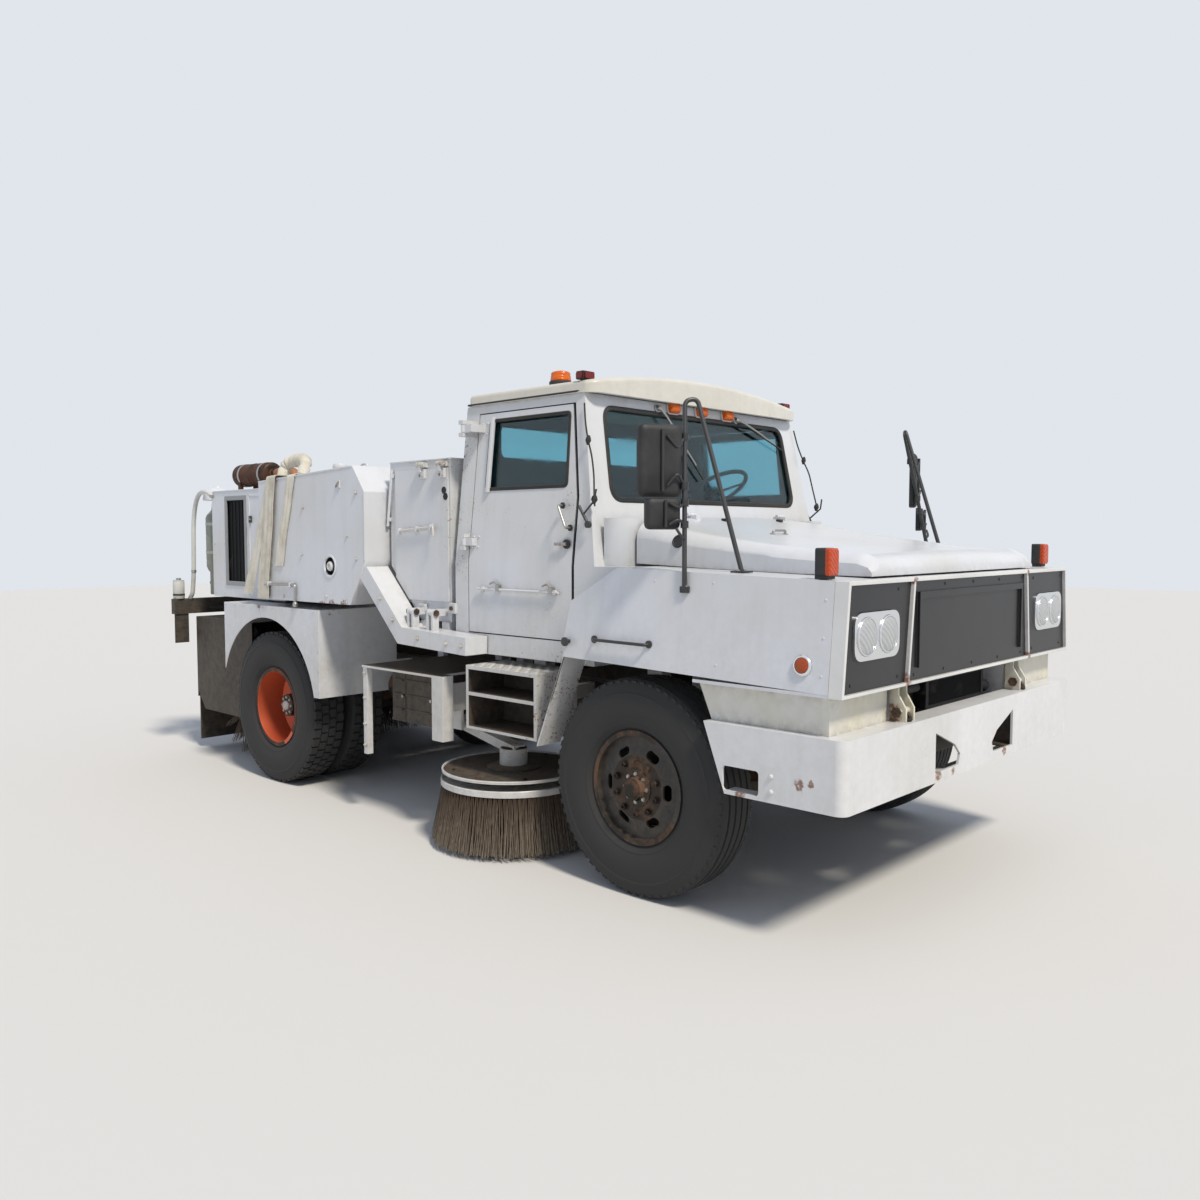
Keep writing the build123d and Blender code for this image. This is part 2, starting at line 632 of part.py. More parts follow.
COWL_SIDE = 6.0
with BuildPart() as cab_shell:
    add(cab_solid(0.0, 0.0))
    block((-CAB_HALF, CAB_HALF), (COWL_FRONT_Y, CAB_FRONT_Y), (1120.0, BELT_Z))
    block(
        (-CAB_HALF + COWL_SIDE, CAB_HALF - COWL_SIDE),
        (COWL_FRONT_Y + COWL_SIDE, CAB_FRONT_Y),
        (1100.0, BELT_Z - COWL_SIDE),
        Mode.SUBTRACT,
    )
    with BuildSketch(level(BELT_Z - COWL_SIDE)) as cowl_plan:
        with Locations((0, (CAB_FRONT_Y + HOOD_REAR_Y) / 2 + 10.0)):
            Rectangle(2 * (CAB_HALF - 75.0), CAB_FRONT_Y - HOOD_REAR_Y - 12.0)
        fillet(cowl_plan.vertices().group_by(Axis.Y)[0], radius=95.0)
    extrude(cowl_plan.sketch, amount=COWL_TOP_Z - BELT_Z + COWL_SIDE)
    add(cab_solid(CAB_WALL, CAB_FLOOR_T), mode=Mode.SUBTRACT)
    add(windshield_hole(0.0), mode=Mode.SUBTRACT)
    with BuildSketch(facing(-300.0)) as pane:
        with Locations(((rear_window[0] + rear_window[1]) / 2, (rear_window[2] + rear_window[3]) / 2)):
            RectangleRounded(rear_window[1] - rear_window[0], rear_window[3] - rear_window[2], 50.0)
    extrude(pane.sketch, amount=220.0, mode=Mode.SUBTRACT)
    for side in (-1, 1):
        add(door_solid(side, door_outline), mode=Mode.SUBTRACT)
    for x in (-RAIL_X + 40.0, RAIL_X - 40.0):
        for y in (-1450.0, -540.0):
            block((x - 40.0, x + 40.0), (y - 50.0, y + 50.0), (RAIL_TOP, CAB_FLOOR_Z))
    for hinge_x in (-HINGE_X, HINGE_X):
        for x in (hinge_x - 28.0, hinge_x + 28.0):
            rod((x - 8.0, HOOD_PIN_Y, HOOD_PIN_Z), (x + 8.0, HOOD_PIN_Y, HOOD_PIN_Z), HOOD_PIN_R + 4.0)
            block((x - 8.0, x + 8.0), (HOOD_PIN_Y, HOOD_PIN_Y + 24.0), (COWL_TOP_Z - 2.0, HOOD_PIN_Z))
        rod((hinge_x - 36.0, HOOD_PIN_Y, HOOD_PIN_Z), (hinge_x + 36.0, HOOD_PIN_Y, HOOD_PIN_Z), HOOD_PIN_R)
    with BuildPart(mode=Mode.PRIVATE) as leaves:
        for z in door_hinge_z:
            low, high = z - HINGE_H / 2, z + HINGE_H / 2
            rod((-DOOR_PIN_X, DOOR_PIN_Y, low), (-DOOR_PIN_X, DOOR_PIN_Y, high), PIN_R)
            for leaf_low in (low, high - 22.0):
                block(
                    (-DOOR_PIN_X - PIN_R - 5.0, -cab_half(leaf_low + 22.0) + 10.0),
                    (DOOR_PIN_Y - PIN_R - 5.0, DOOR_PIN_Y + 26.0),
                    (leaf_low, leaf_low + 22.0),
                )
        add(cab_solid(2.0, 0.0), mode=Mode.SUBTRACT)
        mirror(about=Plane.YZ)
    add(leaves.part)
save(cab_shell, "cab_shell")

# Cab roof: crowned pressing with a visor lip over the windshield, open below
ROOF_HALF = CAB_TOP_HALF + 16.0
ROOF_REAR_Y = CAB_REAR_Y + 14.0
ROOF_FRONT_Y = CAB_FRONT_TOP_Y - 62.0


def roof_form(inset, low):
    """Crowned roof block with rounded plan corners."""
    half = ROOF_HALF - inset
    rear = ROOF_REAR_Y - inset
    front = ROOF_FRONT_Y + inset
    top = CAB_TOP_Z + ROOF_H - inset
    edge = CAB_TOP_Z + 62.0 - inset
    with BuildPart(mode=Mode.PRIVATE) as form:
        with BuildSketch(facing(rear)) as section:
            with BuildLine():
                Line((-half, low), (half, low))
                Line((half, low), (half - 10.0, edge))
                ThreePointArc((half - 10.0, edge), (0, top), (-half + 10.0, edge))
                Line((-half + 10.0, edge), (-half, low))
            make_face()
        extrude(section.sketch, amount=rear - front)
        with BuildSketch(level(low)) as plan:
            with Locations((0, (front + rear) / 2)):
                RectangleRounded(2 * half, rear - front, 90.0 - inset)
        extrude(plan.sketch, amount=300.0, mode=Mode.INTERSECT)
    return form.part


with BuildPart() as cab_roof:
    add(roof_form(0.0, CAB_TOP_Z))
    fillet(cab_roof.faces().sort_by(Axis.Z)[-1].edges(), radius=26.0)
    add(roof_form(ROOF_WALL + 14.0, CAB_TOP_Z - 1.0), mode=Mode.SUBTRACT)
save(cab_roof, "cab_roof")


def glass_slab(offset_in):
    """Thin slab along the slanted windshield wall."""
    slope = (CAB_FRONT_TOP_Y - CAB_FRONT_Y) / (CAB_TOP_Z - BELT_Z)
    line = [
        (CAB_FRONT_Y + offset_in + slope * (1800.0 - BELT_Z), 1800.0),
        (CAB_FRONT_Y + offset_in + slope * (CAB_TOP_Z - BELT_Z), CAB_TOP_Z),
    ]
    return band(line, GLASS_T)


with BuildPart() as cab_glass:
    prism(across(-900.0), glass_slab(18.0), 1800.0)
    add(windshield_hole(GAP), mode=Mode.INTERSECT)
    with BuildSketch(facing(CAB_REAR_Y - 16.0)) as pane:
        with Locations(((rear_window[0] + rear_window[1]) / 2, (rear_window[2] + rear_window[3]) / 2)):
            RectangleRounded(
                rear_window[1] - rear_window[0] - 2 * GAP,
                rear_window[3] - rear_window[2] - 2 * GAP,
                50.0 - GAP,
            )
    extrude(pane.sketch, amount=GLASS_T)
save(cab_glass, "cab_glass")

# Doors: panels bent at the belt like the wall they close, hinged at the rear edge
door_cut = [
    (DOOR_REAR_Y - DOOR_GAP, DOOR_LOW_Z + DOOR_GAP),
    (DOOR_REAR_Y - DOOR_GAP, DOOR_TOP_Z - DOOR_GAP),
    (-1322.0 + DOOR_LEAD_GAP, DOOR_TOP_Z - DOOR_GAP),
    (DOOR_FRONT_Y + DOOR_LEAD_GAP, 1900.0),
    (DOOR_FRONT_Y + DOOR_LEAD_GAP, DOOR_LOW_Z + DOOR_GAP),
]
with BuildPart() as door_right:
    add(cab_solid(0.0, 0.0))
    add(cab_solid(CAB_WALL, CAB_FLOOR_T), mode=Mode.SUBTRACT)
    add(door_solid(-1, door_cut), mode=Mode.INTERSECT)
    prism(across(-1200.0), door_window, 400.0, Mode.SUBTRACT)
    for z in door_hinge_z:
        leaf_x = -min(cab_half(z - HINGE_H / 2), cab_half(z + HINGE_H / 2)) + 2.0
        block(
            (-DOOR_PIN_X, leaf_x + 4.0),
            (DOOR_REAR_Y - 60.0, DOOR_PIN_Y - PIN_R - 6.0),
            (z - HINGE_H / 2 + 24.0, z + HINGE_H / 2 - 24.0),
        )
        block(
            (-DOOR_PIN_X, -DOOR_PIN_X + 8.0),
            (DOOR_PIN_Y - PIN_R - 8.0, DOOR_PIN_Y),
            (z - HINGE_H / 2 + 24.0, z + HINGE_H / 2 - 24.0),
        )
        with BuildSketch(level(z - HINGE_H / 2 + 24.0)) as eye:
            with Locations((-DOOR_PIN_X, DOOR_PIN_Y)):
                Circle(PIN_R + 6.0)
        extrude(eye.sketch, amount=HINGE_H - 48.0)
        with BuildSketch(level(z - HINGE_H / 2 + 20.0)) as bore:
            with Locations((-DOOR_PIN_X, DOOR_PIN_Y)):
                Circle(PIN_R + RUNNING)
        extrude(bore.sketch, amount=HINGE_H - 40.0, mode=Mode.SUBTRACT)
save(door_right, "door_right")
save_left(door_right, "door_left")

with BuildPart() as door_glass_right:
    with BuildPart(mode=Mode.PRIVATE) as behind:
        add(cab_solid(17.0 + GLASS_T, 10.0))
    add(cab_solid(17.0, 10.0))
    add(behind.part, mode=Mode.SUBTRACT)
    with BuildPart(mode=Mode.PRIVATE) as hole:
        with BuildSketch(across(-1200.0)) as face:
            with BuildLine():
                Polyline(*door_window, close=True)
            make_face()
            offset(amount=-GAP, mode=Mode.REPLACE)
        extrude(face.sketch, amount=400.0)
    add(hole.part, mode=Mode.INTERSECT)
save(door_glass_right, "door_glass_right")
save_left(door_glass_right, "door_glass_left")

# Seats, dashboard and steering
SEAT_X = 500.0
CAB_IN_Z = CAB_FLOOR_Z + CAB_FLOOR_T
with BuildPart() as seats:
    for side in (-1, 1):
        seat_profile = [
            (-1080.0, CAB_IN_Z + 300.0),
            (-1080.0, CAB_IN_Z + 420.0),
            (-720.0, CAB_IN_Z + 405.0),
            (-650.0, CAB_IN_Z + 900.0),
            (-560.0, CAB_IN_Z + 900.0),
            (-600.0, CAB_IN_Z + 300.0),
        ]
        prism(across(side * SEAT_X - 235.0), seat_profile, 470.0)
        block((side * SEAT_X - 170.0, side * SEAT_X + 170.0), (-1020.0, -640.0), (CAB_IN_Z, CAB_IN_Z + 300.0))
save(seats, "seats")

WHEEL_X = 500.0
WHEEL_Y = -1105.0
WHEEL_Z = 1975.0
COLUMN_TILT = 32.0
column_run = Vector(0, -sin(radians(COLUMN_TILT)), -cos(radians(COLUMN_TILT)))
column_top = Vector(WHEEL_X, WHEEL_Y, WHEEL_Z) + column_run * (36.0 + GAP)
column_low = Vector(WHEEL_X, WHEEL_Y, WHEEL_Z) + column_run * 560.0
with BuildPart() as dashboard:
    dash_profile = [
        (cab_front(1600.0) + CAB_WALL, 1600.0),
        (cab_front(1850.0) + CAB_WALL, 1850.0),
        (-1330.0, 1836.0),
        (-1300.0, 1760.0),
        (-1370.0, 1600.0),
    ]
    dash_half = cab_half(1850.0) - CAB_WALL - DOOR_GAP
    prism(across(-dash_half), dash_profile, 2 * dash_half)
    rod(tuple(column_top), tuple(column_low), 24.0)
    block((WHEEL_X - 30.0, WHEEL_X + 30.0), (-1345.0, -1260.0), (1695.0, 1735.0))
save(dashboard, "dashboard")

WHEEL_R = 226.0
with BuildPart() as steering_wheel:
    rim_plane = Plane(origin=(WHEEL_X, WHEEL_Y, WHEEL_Z), x_dir=(1, 0, 0), z_dir=-column_run)
    with BuildSketch(Plane(origin=rim_plane.origin, x_dir=rim_plane.x_dir, z_dir=-rim_plane.y_dir)) as wire:
        with Locations((WHEEL_R, 0)):
            Circle(13.0)
    revolve(wire.sketch, axis=Axis(rim_plane.origin, rim_plane.z_dir))
    with BuildSketch(rim_plane.offset(-36.0)) as boss:
        Circle(36.0)
    extrude(boss.sketch, amount=52.0)
    with BuildSketch(rim_plane.offset(-7.0)) as spokes:
        for turn in (90, 210, 330):
            with PolarLocations(0, 1, start_angle=turn):
                with Locations((WHEEL_R / 2, 0)):
                    Rectangle(WHEEL_R, 26.0)
    extrude(spokes.sketch, amount=10.0)
save(steering_wheel, "steering_wheel")

# Mirrors: a tube loop on each fender with a tall head and a round-cornered convex one
TUBE_R = 11.0
MIRROR_TURN = 24.0
MIRROR_X = BODY_HALF - 30.0
MIRROR_FOOT_Y = -2404.0
mirror_line = [
    (-MIRROR_X, -2230.0, 1470.0),
    (-MIRROR_X, -2230.0, 1545.0),
    (-MIRROR_X + 138.0, -2118.0, 2312.0),
    (-MIRROR_X + 188.0, -2150.0, 2322.0),
    (-MIRROR_X + 185.0, MIRROR_FOOT_Y, 1546.0),
]
mirror_heads = [  # centre height, width, height
    (2035.0, 210.0, 325.0),
    (1800.0, 165.0, 140.0),
]
with BuildPart() as mirrors:
    with BuildLine() as loop:
        FilletPolyline(*mirror_line, radius=[40.0, 26.0, 26.0])
    start = Plane(origin=mirror_line[0], z_dir=(0, 0, 1))
    with BuildSketch(start) as ring:
        Circle(TUBE_R)
    sweep(sections=ring.sketch, path=loop.line)
    foot_low = deck_top(MIRROR_FOOT_Y + 30.0) + GAP
    block(
        (-MIRROR_X + 155.0, -MIRROR_X + 215.0), (MIRROR_FOOT_Y - 30.0, MIRROR_FOOT_Y + 30.0),
        (foot_low, foot_low + 7.0),
    )
    block((-MIRROR_X - 6.0, -fender_half(1455.0) - GAP), (-2248.0, -2212.0), (1462.0, 1478.0))
    glass_dir = (sin(radians(MIRROR_TURN)), cos(radians(MIRROR_TURN)), 0)
    wide_dir = (cos(radians(MIRROR_TURN)), -sin(radians(MIRROR_TURN)), 0)
    for z, wide, tall in mirror_heads:
        share = (z - mirror_line[1][2]) / (mirror_line[2][2] - mirror_line[1][2])
        post_x = mirror_line[1][0] + share * (mirror_line[2][0] - mirror_line[1][0])
        post_y = mirror_line[1][1] + share * (mirror_line[2][1] - mirror_line[1][1])
        centre = (post_x - wide / 2 - 12.0, post_y + 34.0, z)
        with BuildSketch(Plane(origin=centre, x_dir=wide_dir, z_dir=glass_dir)) as face:
            RectangleRounded(wide, tall, 26.0)
        extrude(face.sketch, amount=42.0)
        for level_z in (z - tall * 0.3, z + tall * 0.3):
            slope_x = (mirror_line[2][0] - mirror_line[1][0]) / (mirror_line[2][2] - mirror_line[1][2])
            slope_y = (mirror_line[2][1] - mirror_line[1][1]) / (mirror_line[2][2] - mirror_line[1][2])
            hold = (post_x + slope_x * (level_z - z), post_y + slope_y * (level_z - z), level_z)
            rod(hold, (centre[0] + 40.0, centre[1] + 4.0, level_z), 8.0)
    mirror(about=Plane.YZ)
save(mirrors, "mirrors")

# Lamps: headlamp pairs, turn signals, side markers, roof lamps, beacon and tail lamps
roof_lamp_x = (-250.0, 0.0, 250.0)
SIGNAL_X = FENDER_TOP_HALF - 43.0
SIGNAL_Y = FENDER_FRONT_Y + 120.0
BEACON_X = -600.0
BEACON_Y = -860.0
REAR_BAR_Y = REAR_Y - 88.0
REAR_BAR_HALF = 1130.0
TAIL_X = 900.0
with BuildPart() as lamps:
    for side in (-1, 1):
        with BuildSketch(facing(FENDER_FRONT_Y - GAP)) as bezel:
            with Locations((side * LAMP_X, LAMP_Z)):
                RectangleRounded(370.0, 194.0, 58.0)
        extrude(bezel.sketch, amount=44.0)
        with BuildSketch(facing(PANEL_Y - 30.0)) as eyes:
            for step in (-0.5, 0.5):
                with Locations((side * LAMP_X + step * LAMP_PITCH, LAMP_Z)):
                    Circle(LAMP_R)
        extrude(eyes.sketch, amount=12.0)
        block(
            (side * SIGNAL_X - 38.0, side * SIGNAL_X + 38.0), (SIGNAL_Y - 92.0, SIGNAL_Y),
            (deck_top(SIGNAL_Y) + GAP, 1655.0),
        )
        seat = (side * (fender_half(1186.0) + GAP), SIGNAL_Y, 1186.0)
        with BuildSketch(Plane(origin=seat, z_dir=(side * cos(FENDER_LEAN), 0, sin(FENDER_LEAN)))) as marker:
            Circle(40.0)
        extrude(marker.sketch, amount=16.0)
        block(
            (side * 902.0 - 42.0, side * 902.0 + 42.0), (-1376.0, -1320.0),
            (CAB_TOP_Z + 68.0, CAB_TOP_Z + 112.0),
        )
        with BuildSketch(facing(REAR_BAR_Y + 88.0)) as tail:
            with Locations((side * TAIL_X, KICK_Z + 80.0)):
                Circle(55.0)
        extrude(tail.sketch, amount=32.0 - GAP)
    for x in roof_lamp_x:
        block((x - 30.0, x + 30.0), (cab_front(2410.0) - 36.0, cab_front(2390.0) + 0.0), (2390.0, 2426.0))
    with BuildSketch(level(CAB_TOP_Z + ROOF_H - 40.0)) as dome:
        with Locations((BEACON_X, BEACON_Y)):
            Circle(60.0)
    extrude(dome.sketch, amount=105.0)
    add(roof_form(0.0, CAB_TOP_Z), mode=Mode.SUBTRACT)
    add(cab_solid(0.0, 0.0), mode=Mode.SUBTRACT)
save(lamps, "lamps")

# Front axle: dropped beam with kingpin eyes, leaf packs and their hangers
BEAM_TOP = 440.0
SPRING_X = 430.0
PIN_BOSS_R = 42.0
KINGPIN_R = 18.0
EYE_LOW = 480.0
EYE_TOP = 560.0
with BuildPart() as front_axle:
    beam = [(-895, 556), (-895, 484), (-800, 460), (-690, 345), (690, 345), (800, 460), (895, 484),
            (895, 556), (780, 556), (660, BEAM_TOP), (-660, BEAM_TOP), (-780, 556)]
    prism(facing(FRONT_AXLE_Y + 42.0), beam, 84.0)
    for side in (-1, 1):
        rod((side * KINGPIN_X, FRONT_AXLE_Y, EYE_LOW), (side * KINGPIN_X, FRONT_AXLE_Y, EYE_TOP), PIN_BOSS_R)
        rod((side * KINGPIN_X, FRONT_AXLE_Y, EYE_LOW), (side * KINGPIN_X, FRONT_AXLE_Y, EYE_TOP),
            KINGPIN_R + RUNNING, Mode.SUBTRACT)
        with BuildSketch(across(side * SPRING_X - 37.0)) as pack:
            with BuildLine():
                ends = [(FRONT_AXLE_Y - 520.0, 618.0), (FRONT_AXLE_Y + 520.0, 618.0)]
                tips = [(FRONT_AXLE_Y - 520.0, 604.0), (FRONT_AXLE_Y + 520.0, 604.0)]
                ThreePointArc(ends[0], (FRONT_AXLE_Y, 505.0), ends[1])
                Line(ends[1], tips[1])
                ThreePointArc(tips[1], (FRONT_AXLE_Y, BEAM_TOP), tips[0])
                Line(tips[0], ends[0])
            make_face()
        extrude(pack.sketch, amount=74.0)
        block((side * SPRING_X - 45.0, side * SPRING_X + 45.0), (FRONT_AXLE_Y - 60.0, FRONT_AXLE_Y + 60.0),
              (BEAM_TOP - 5.0, BEAM_TOP + 22.0))
        for y in (FRONT_AXLE_Y - 510.0, FRONT_AXLE_Y + 510.0):
            block((side * SPRING_X - 39.0, side * SPRING_X + 39.0), (y - 24.0, y + 24.0), (598.0, RAIL_Z))
save(front_axle, "front_axle")

# Knuckle: yoke and kingpin, spindle, steering arm
with BuildPart() as knuckle_right:
    for low, high in ((EYE_LOW - 36.0, EYE_LOW - GAP), (EYE_TOP + GAP, EYE_TOP + 36.0)):
        rod((-KINGPIN_X, FRONT_AXLE_Y, low), (-KINGPIN_X, FRONT_AXLE_Y, high), PIN_BOSS_R)
        block((-KINGPIN_X - 74.0, -KINGPIN_X), (FRONT_AXLE_Y - 36.0, FRONT_AXLE_Y + 36.0), (low, high))
    rod((-KINGPIN_X, FRONT_AXLE_Y, EYE_LOW - 5.0), (-KINGPIN_X, FRONT_AXLE_Y, EYE_TOP + 5.0), KINGPIN_R)
    block((-KINGPIN_X - 74.0, -KINGPIN_X - 48.0), (FRONT_AXLE_Y - 36.0, FRONT_AXLE_Y + 36.0),
          (EYE_LOW - 36.0, EYE_TOP + 36.0))
    rod((-KINGPIN_X - 60.0, FRONT_AXLE_Y, TYRE_R), (-FRONT_WHEEL_X - 60.0, FRONT_AXLE_Y, TYRE_R), SPINDLE_R)
    block((-KINGPIN_X, -KINGPIN_X + 26.0), (FRONT_AXLE_Y, FRONT_AXLE_Y + 190.0),
          (EYE_LOW - 36.0, EYE_LOW - 14.0))
save(knuckle_right, "knuckle_right")
save_left(knuckle_right, "knuckle_left")

# Wheels: outlines are (distance outward from the wheel's middle, radius)
rim_outline = [(104, RIM_R + 16), (97, RIM_R + 16), (97, RIM_R), (-97, RIM_R), (-97, RIM_R + 16),
               (-104, RIM_R + 16), (-104, 247), (62, 247), (62, 205), (84, 150), (84, HUB_R - 4),
               (96, HUB_R - 4), (96, 154), (74, 209), (74, 247), (104, 247)]
front_hub = [(-36, SPINDLE_R + RUNNING), (-36, 106), (-14, 106), (-14, HUB_R), (102, HUB_R), (102, 60),
             (132, 52), (132, 0), (62, 0), (62, SPINDLE_R + RUNNING)]
front_drum = [(-98, 188), (-98, 202), (-14, 202), (-14, HUB_R - 4), (-26, HUB_R - 4), (-26, 188)]
tyre_half = TYRE_W / 2
tyre_points = [(94, RIM_R + GAP), (94, 276), (tyre_half, 360), (tyre_half - 4, 430), (118, 492),
               (104, 512), (84, TYRE_R)]
HOLE_R = 178.0
HOLES = 6


def mirrored_section(points):
    """Right half of a section followed by its mirror image."""
    return list(points) + [(-u, r) for u, r in reversed(points)]


def wheel_holes(low_x, depth, y):
    """Oval hand holes through the wheel disc."""
    with BuildSketch(Plane(origin=(low_x, y, TYRE_R), x_dir=(0, 1, 0), z_dir=(1, 0, 0))) as holes:
        with PolarLocations(HOLE_R, HOLES):
            SlotOverall(76.0, 40.0, rotation=90)
    extrude(holes.sketch, amount=depth, mode=Mode.SUBTRACT)


with BuildPart() as front_rim_right:
    for outline in (rim_outline, front_hub, front_drum):
        turned(FRONT_AXLE_Y, TYRE_R, [(-FRONT_WHEEL_X - u, r) for u, r in outline])
    wheel_holes(-FRONT_WHEEL_X - 110.0, 60.0, FRONT_AXLE_Y)
save(front_rim_right, "front_rim_right")
save_left(front_rim_right, "front_rim_left")

with BuildPart() as front_tyre_right:
    turned(FRONT_AXLE_Y, TYRE_R, [(-FRONT_WHEEL_X + u, r) for u, r in mirrored_section(tyre_points)])
save(front_tyre_right, "front_tyre_right")
save_left(front_tyre_right, "front_tyre_left")

# Rear axle: tube, differential, spindles, leaf packs outboard of the rails, and drive shaft
AXLE_R = 58.0
REAR_SPINDLE_R = 48.0
REAR_SPRING_X = 518.0
DIFF_R = 150.0
AXLE_END_X = REAR_INNER_X - 112.0  # just short of the inner wheel's drum
SPINDLE_END_X = REAR_OUTER_X - 100.0
MATING_X = (REAR_OUTER_X + REAR_INNER_X) / 2
with BuildPart() as rear_axle:
    casing = [(AXLE_END_X, 0), (AXLE_END_X, AXLE_R), (190, AXLE_R), (120, DIFF_R - 30), (70, DIFF_R)]
    turned(REAR_AXLE_Y, TYRE_R, [(-x, r) for x, r in casing] + casing[::-1])
    rod((-SPINDLE_END_X, REAR_AXLE_Y, TYRE_R), (SPINDLE_END_X, REAR_AXLE_Y, TYRE_R), REAR_SPINDLE_R)
    rod((0.0, REAR_AXLE_Y, TYRE_R), (0.0, REAR_AXLE_Y - 210.0, TYRE_R), 74.0)
    rod((0.0, REAR_AXLE_Y - 200.0, TYRE_R), (0.0, -1252.0, 730.0), 40.0)
    for side in (-1, 1):
        with BuildSketch(across(side * REAR_SPRING_X - 34.0)) as pack:
            with BuildLine():
                ends = [(REAR_AXLE_Y - 430.0, 700.0), (REAR_AXLE_Y + 430.0, 700.0)]
                tips = [(REAR_AXLE_Y - 430.0, 684.0), (REAR_AXLE_Y + 430.0, 684.0)]
                ThreePointArc(ends[0], (REAR_AXLE_Y, 650.0), ends[1])
                Line(ends[1], tips[1])
                ThreePointArc(tips[1], (REAR_AXLE_Y, 580.0), tips[0])
                Line(tips[0], ends[0])
            make_face()
        extrude(pack.sketch, amount=68.0)
        block((side * REAR_SPRING_X - 40.0, side * REAR_SPRING_X + 40.0),
              (REAR_AXLE_Y - 55.0, REAR_AXLE_Y + 55.0), (TYRE_R + 30.0, 600.0))
        for y in (REAR_AXLE_Y - 425.0, REAR_AXLE_Y + 425.0):
            low, high = sorted((side * RAIL_X, side * (REAR_SPRING_X + 36.0)))
            block((low, high), (y - 24.0, y + 24.0), (684.0, 810.0))
save(rear_axle, "rear_axle")

dish = [(1134, 272), (1127, 272), (1127, RIM_R), (933, RIM_R), (933, 272), (926, 272), (926, 250),
        (MATING_X, 196), (MATING_X, 108), (MATING_X + 12, 108), (MATING_X + 12, 190), (938, 246), (1134, 246)]
rear_hub = [(640, REAR_SPINDLE_R + RUNNING), (640, 214), (846, 214), (846, 166), (MATING_X + 2, 166),
            (MATING_X + 2, 112), (930, 112), (930, 84), (1046, 76), (1046, 0), (932, 0),
            (932, REAR_SPINDLE_R + RUNNING)]
drum_room = [(630, 60), (630, 200), (834, 200), (834, 116), (660, 116), (660, 60)]
with BuildPart() as rear_rims_right:
    turned(REAR_AXLE_Y, TYRE_R, [(-x, r) for x, r in dish])
    turned(REAR_AXLE_Y, TYRE_R, [(-(2 * MATING_X - x), r) for x, r in dish])
    turned(REAR_AXLE_Y, TYRE_R, [(-x, r) for x, r in rear_hub])
    turned(REAR_AXLE_Y, TYRE_R, [(-x, r) for x, r in drum_room], Mode.SUBTRACT)
    wheel_holes(-MATING_X - 60.0, 56.0, REAR_AXLE_Y)
save(rear_rims_right, "rear_rims_right")
save_left(rear_rims_right, "rear_rims_left")

with BuildPart() as rear_tyres_right:
    for centre_x in (-REAR_OUTER_X, -REAR_INNER_X):
        turned(REAR_AXLE_Y, TYRE_R, [(centre_x + u, r) for u, r in mirrored_section(tyre_points)])
save(rear_tyres_right, "rear_tyres_right")
save_left(rear_tyres_right, "rear_tyres_left")

# Side decks: plate with a battery box, outrigger and post, the step below the door,
# and the bracket with the pivot pin of the gutter broom's arm
PIVOT_PIN_R = 20.0
DECK_Z = 918.0
DECK_T = 14.0
DECK_FRONT_Y = -440.0
DECK_END_Y = 270.0
with BuildPart() as side_decks:
    block((-1196.0, -RAIL_X), (DECK_FRONT_Y, DECK_END_Y), (DECK_Z - DECK_T, DECK_Z))
    block((-1000.0, -560.0), (GUTTER_PIVOT_Y + 42.0, 230.0), (560.0, DECK_Z - DECK_T))
    block((-560.0, -RAIL_X), (-160.0, -80.0), (700.0, 840.0))
    block((-1192.0, -1152.0), (222.0, 262.0), (372.0, DECK_Z - DECK_T))
    with BuildPart(mode=Mode.PRIVATE) as step:
        block((-1176.0, -880.0), (-1262.0, -700.0), (652.0, 1000.0))
        block((-1200.0, -920.0), (-1240.0, -722.0), (856.0, 978.0), Mode.SUBTRACT)
        block((-1200.0, -920.0), (-1240.0, -722.0), (668.0, 836.0), Mode.SUBTRACT)
    add(step.part)
    block((-880.0, -RAIL_X), (-1000.0, -960.0), (780.0, 860.0))
    block((-1196.0, -1120.0), (-520.0, DECK_FRONT_Y + 20.0), (548.0, DECK_Z))
    block((-1150.0, -RAIL_X), (DECK_FRONT_Y - 20.0, DECK_FRONT_Y), (700.0, 860.0))
    for x in (-1006.0, -850.0):
        block((x - 8.0, x + 8.0), (DECK_FRONT_Y - 20.0, GUTTER_PIVOT_Y), (GUTTER_PIVOT_Z - 30.0, 760.0))
        rod((x - 8.0, GUTTER_PIVOT_Y, GUTTER_PIVOT_Z), (x + 8.0, GUTTER_PIVOT_Y, GUTTER_PIVOT_Z), 34.0)
    rod((-1014.0, GUTTER_PIVOT_Y, GUTTER_PIVOT_Z), (-842.0, GUTTER_PIVOT_Y, GUTTER_PIVOT_Z), PIVOT_PIN_R)
    mirror(about=Plane.YZ)
save(side_decks, "side_decks")

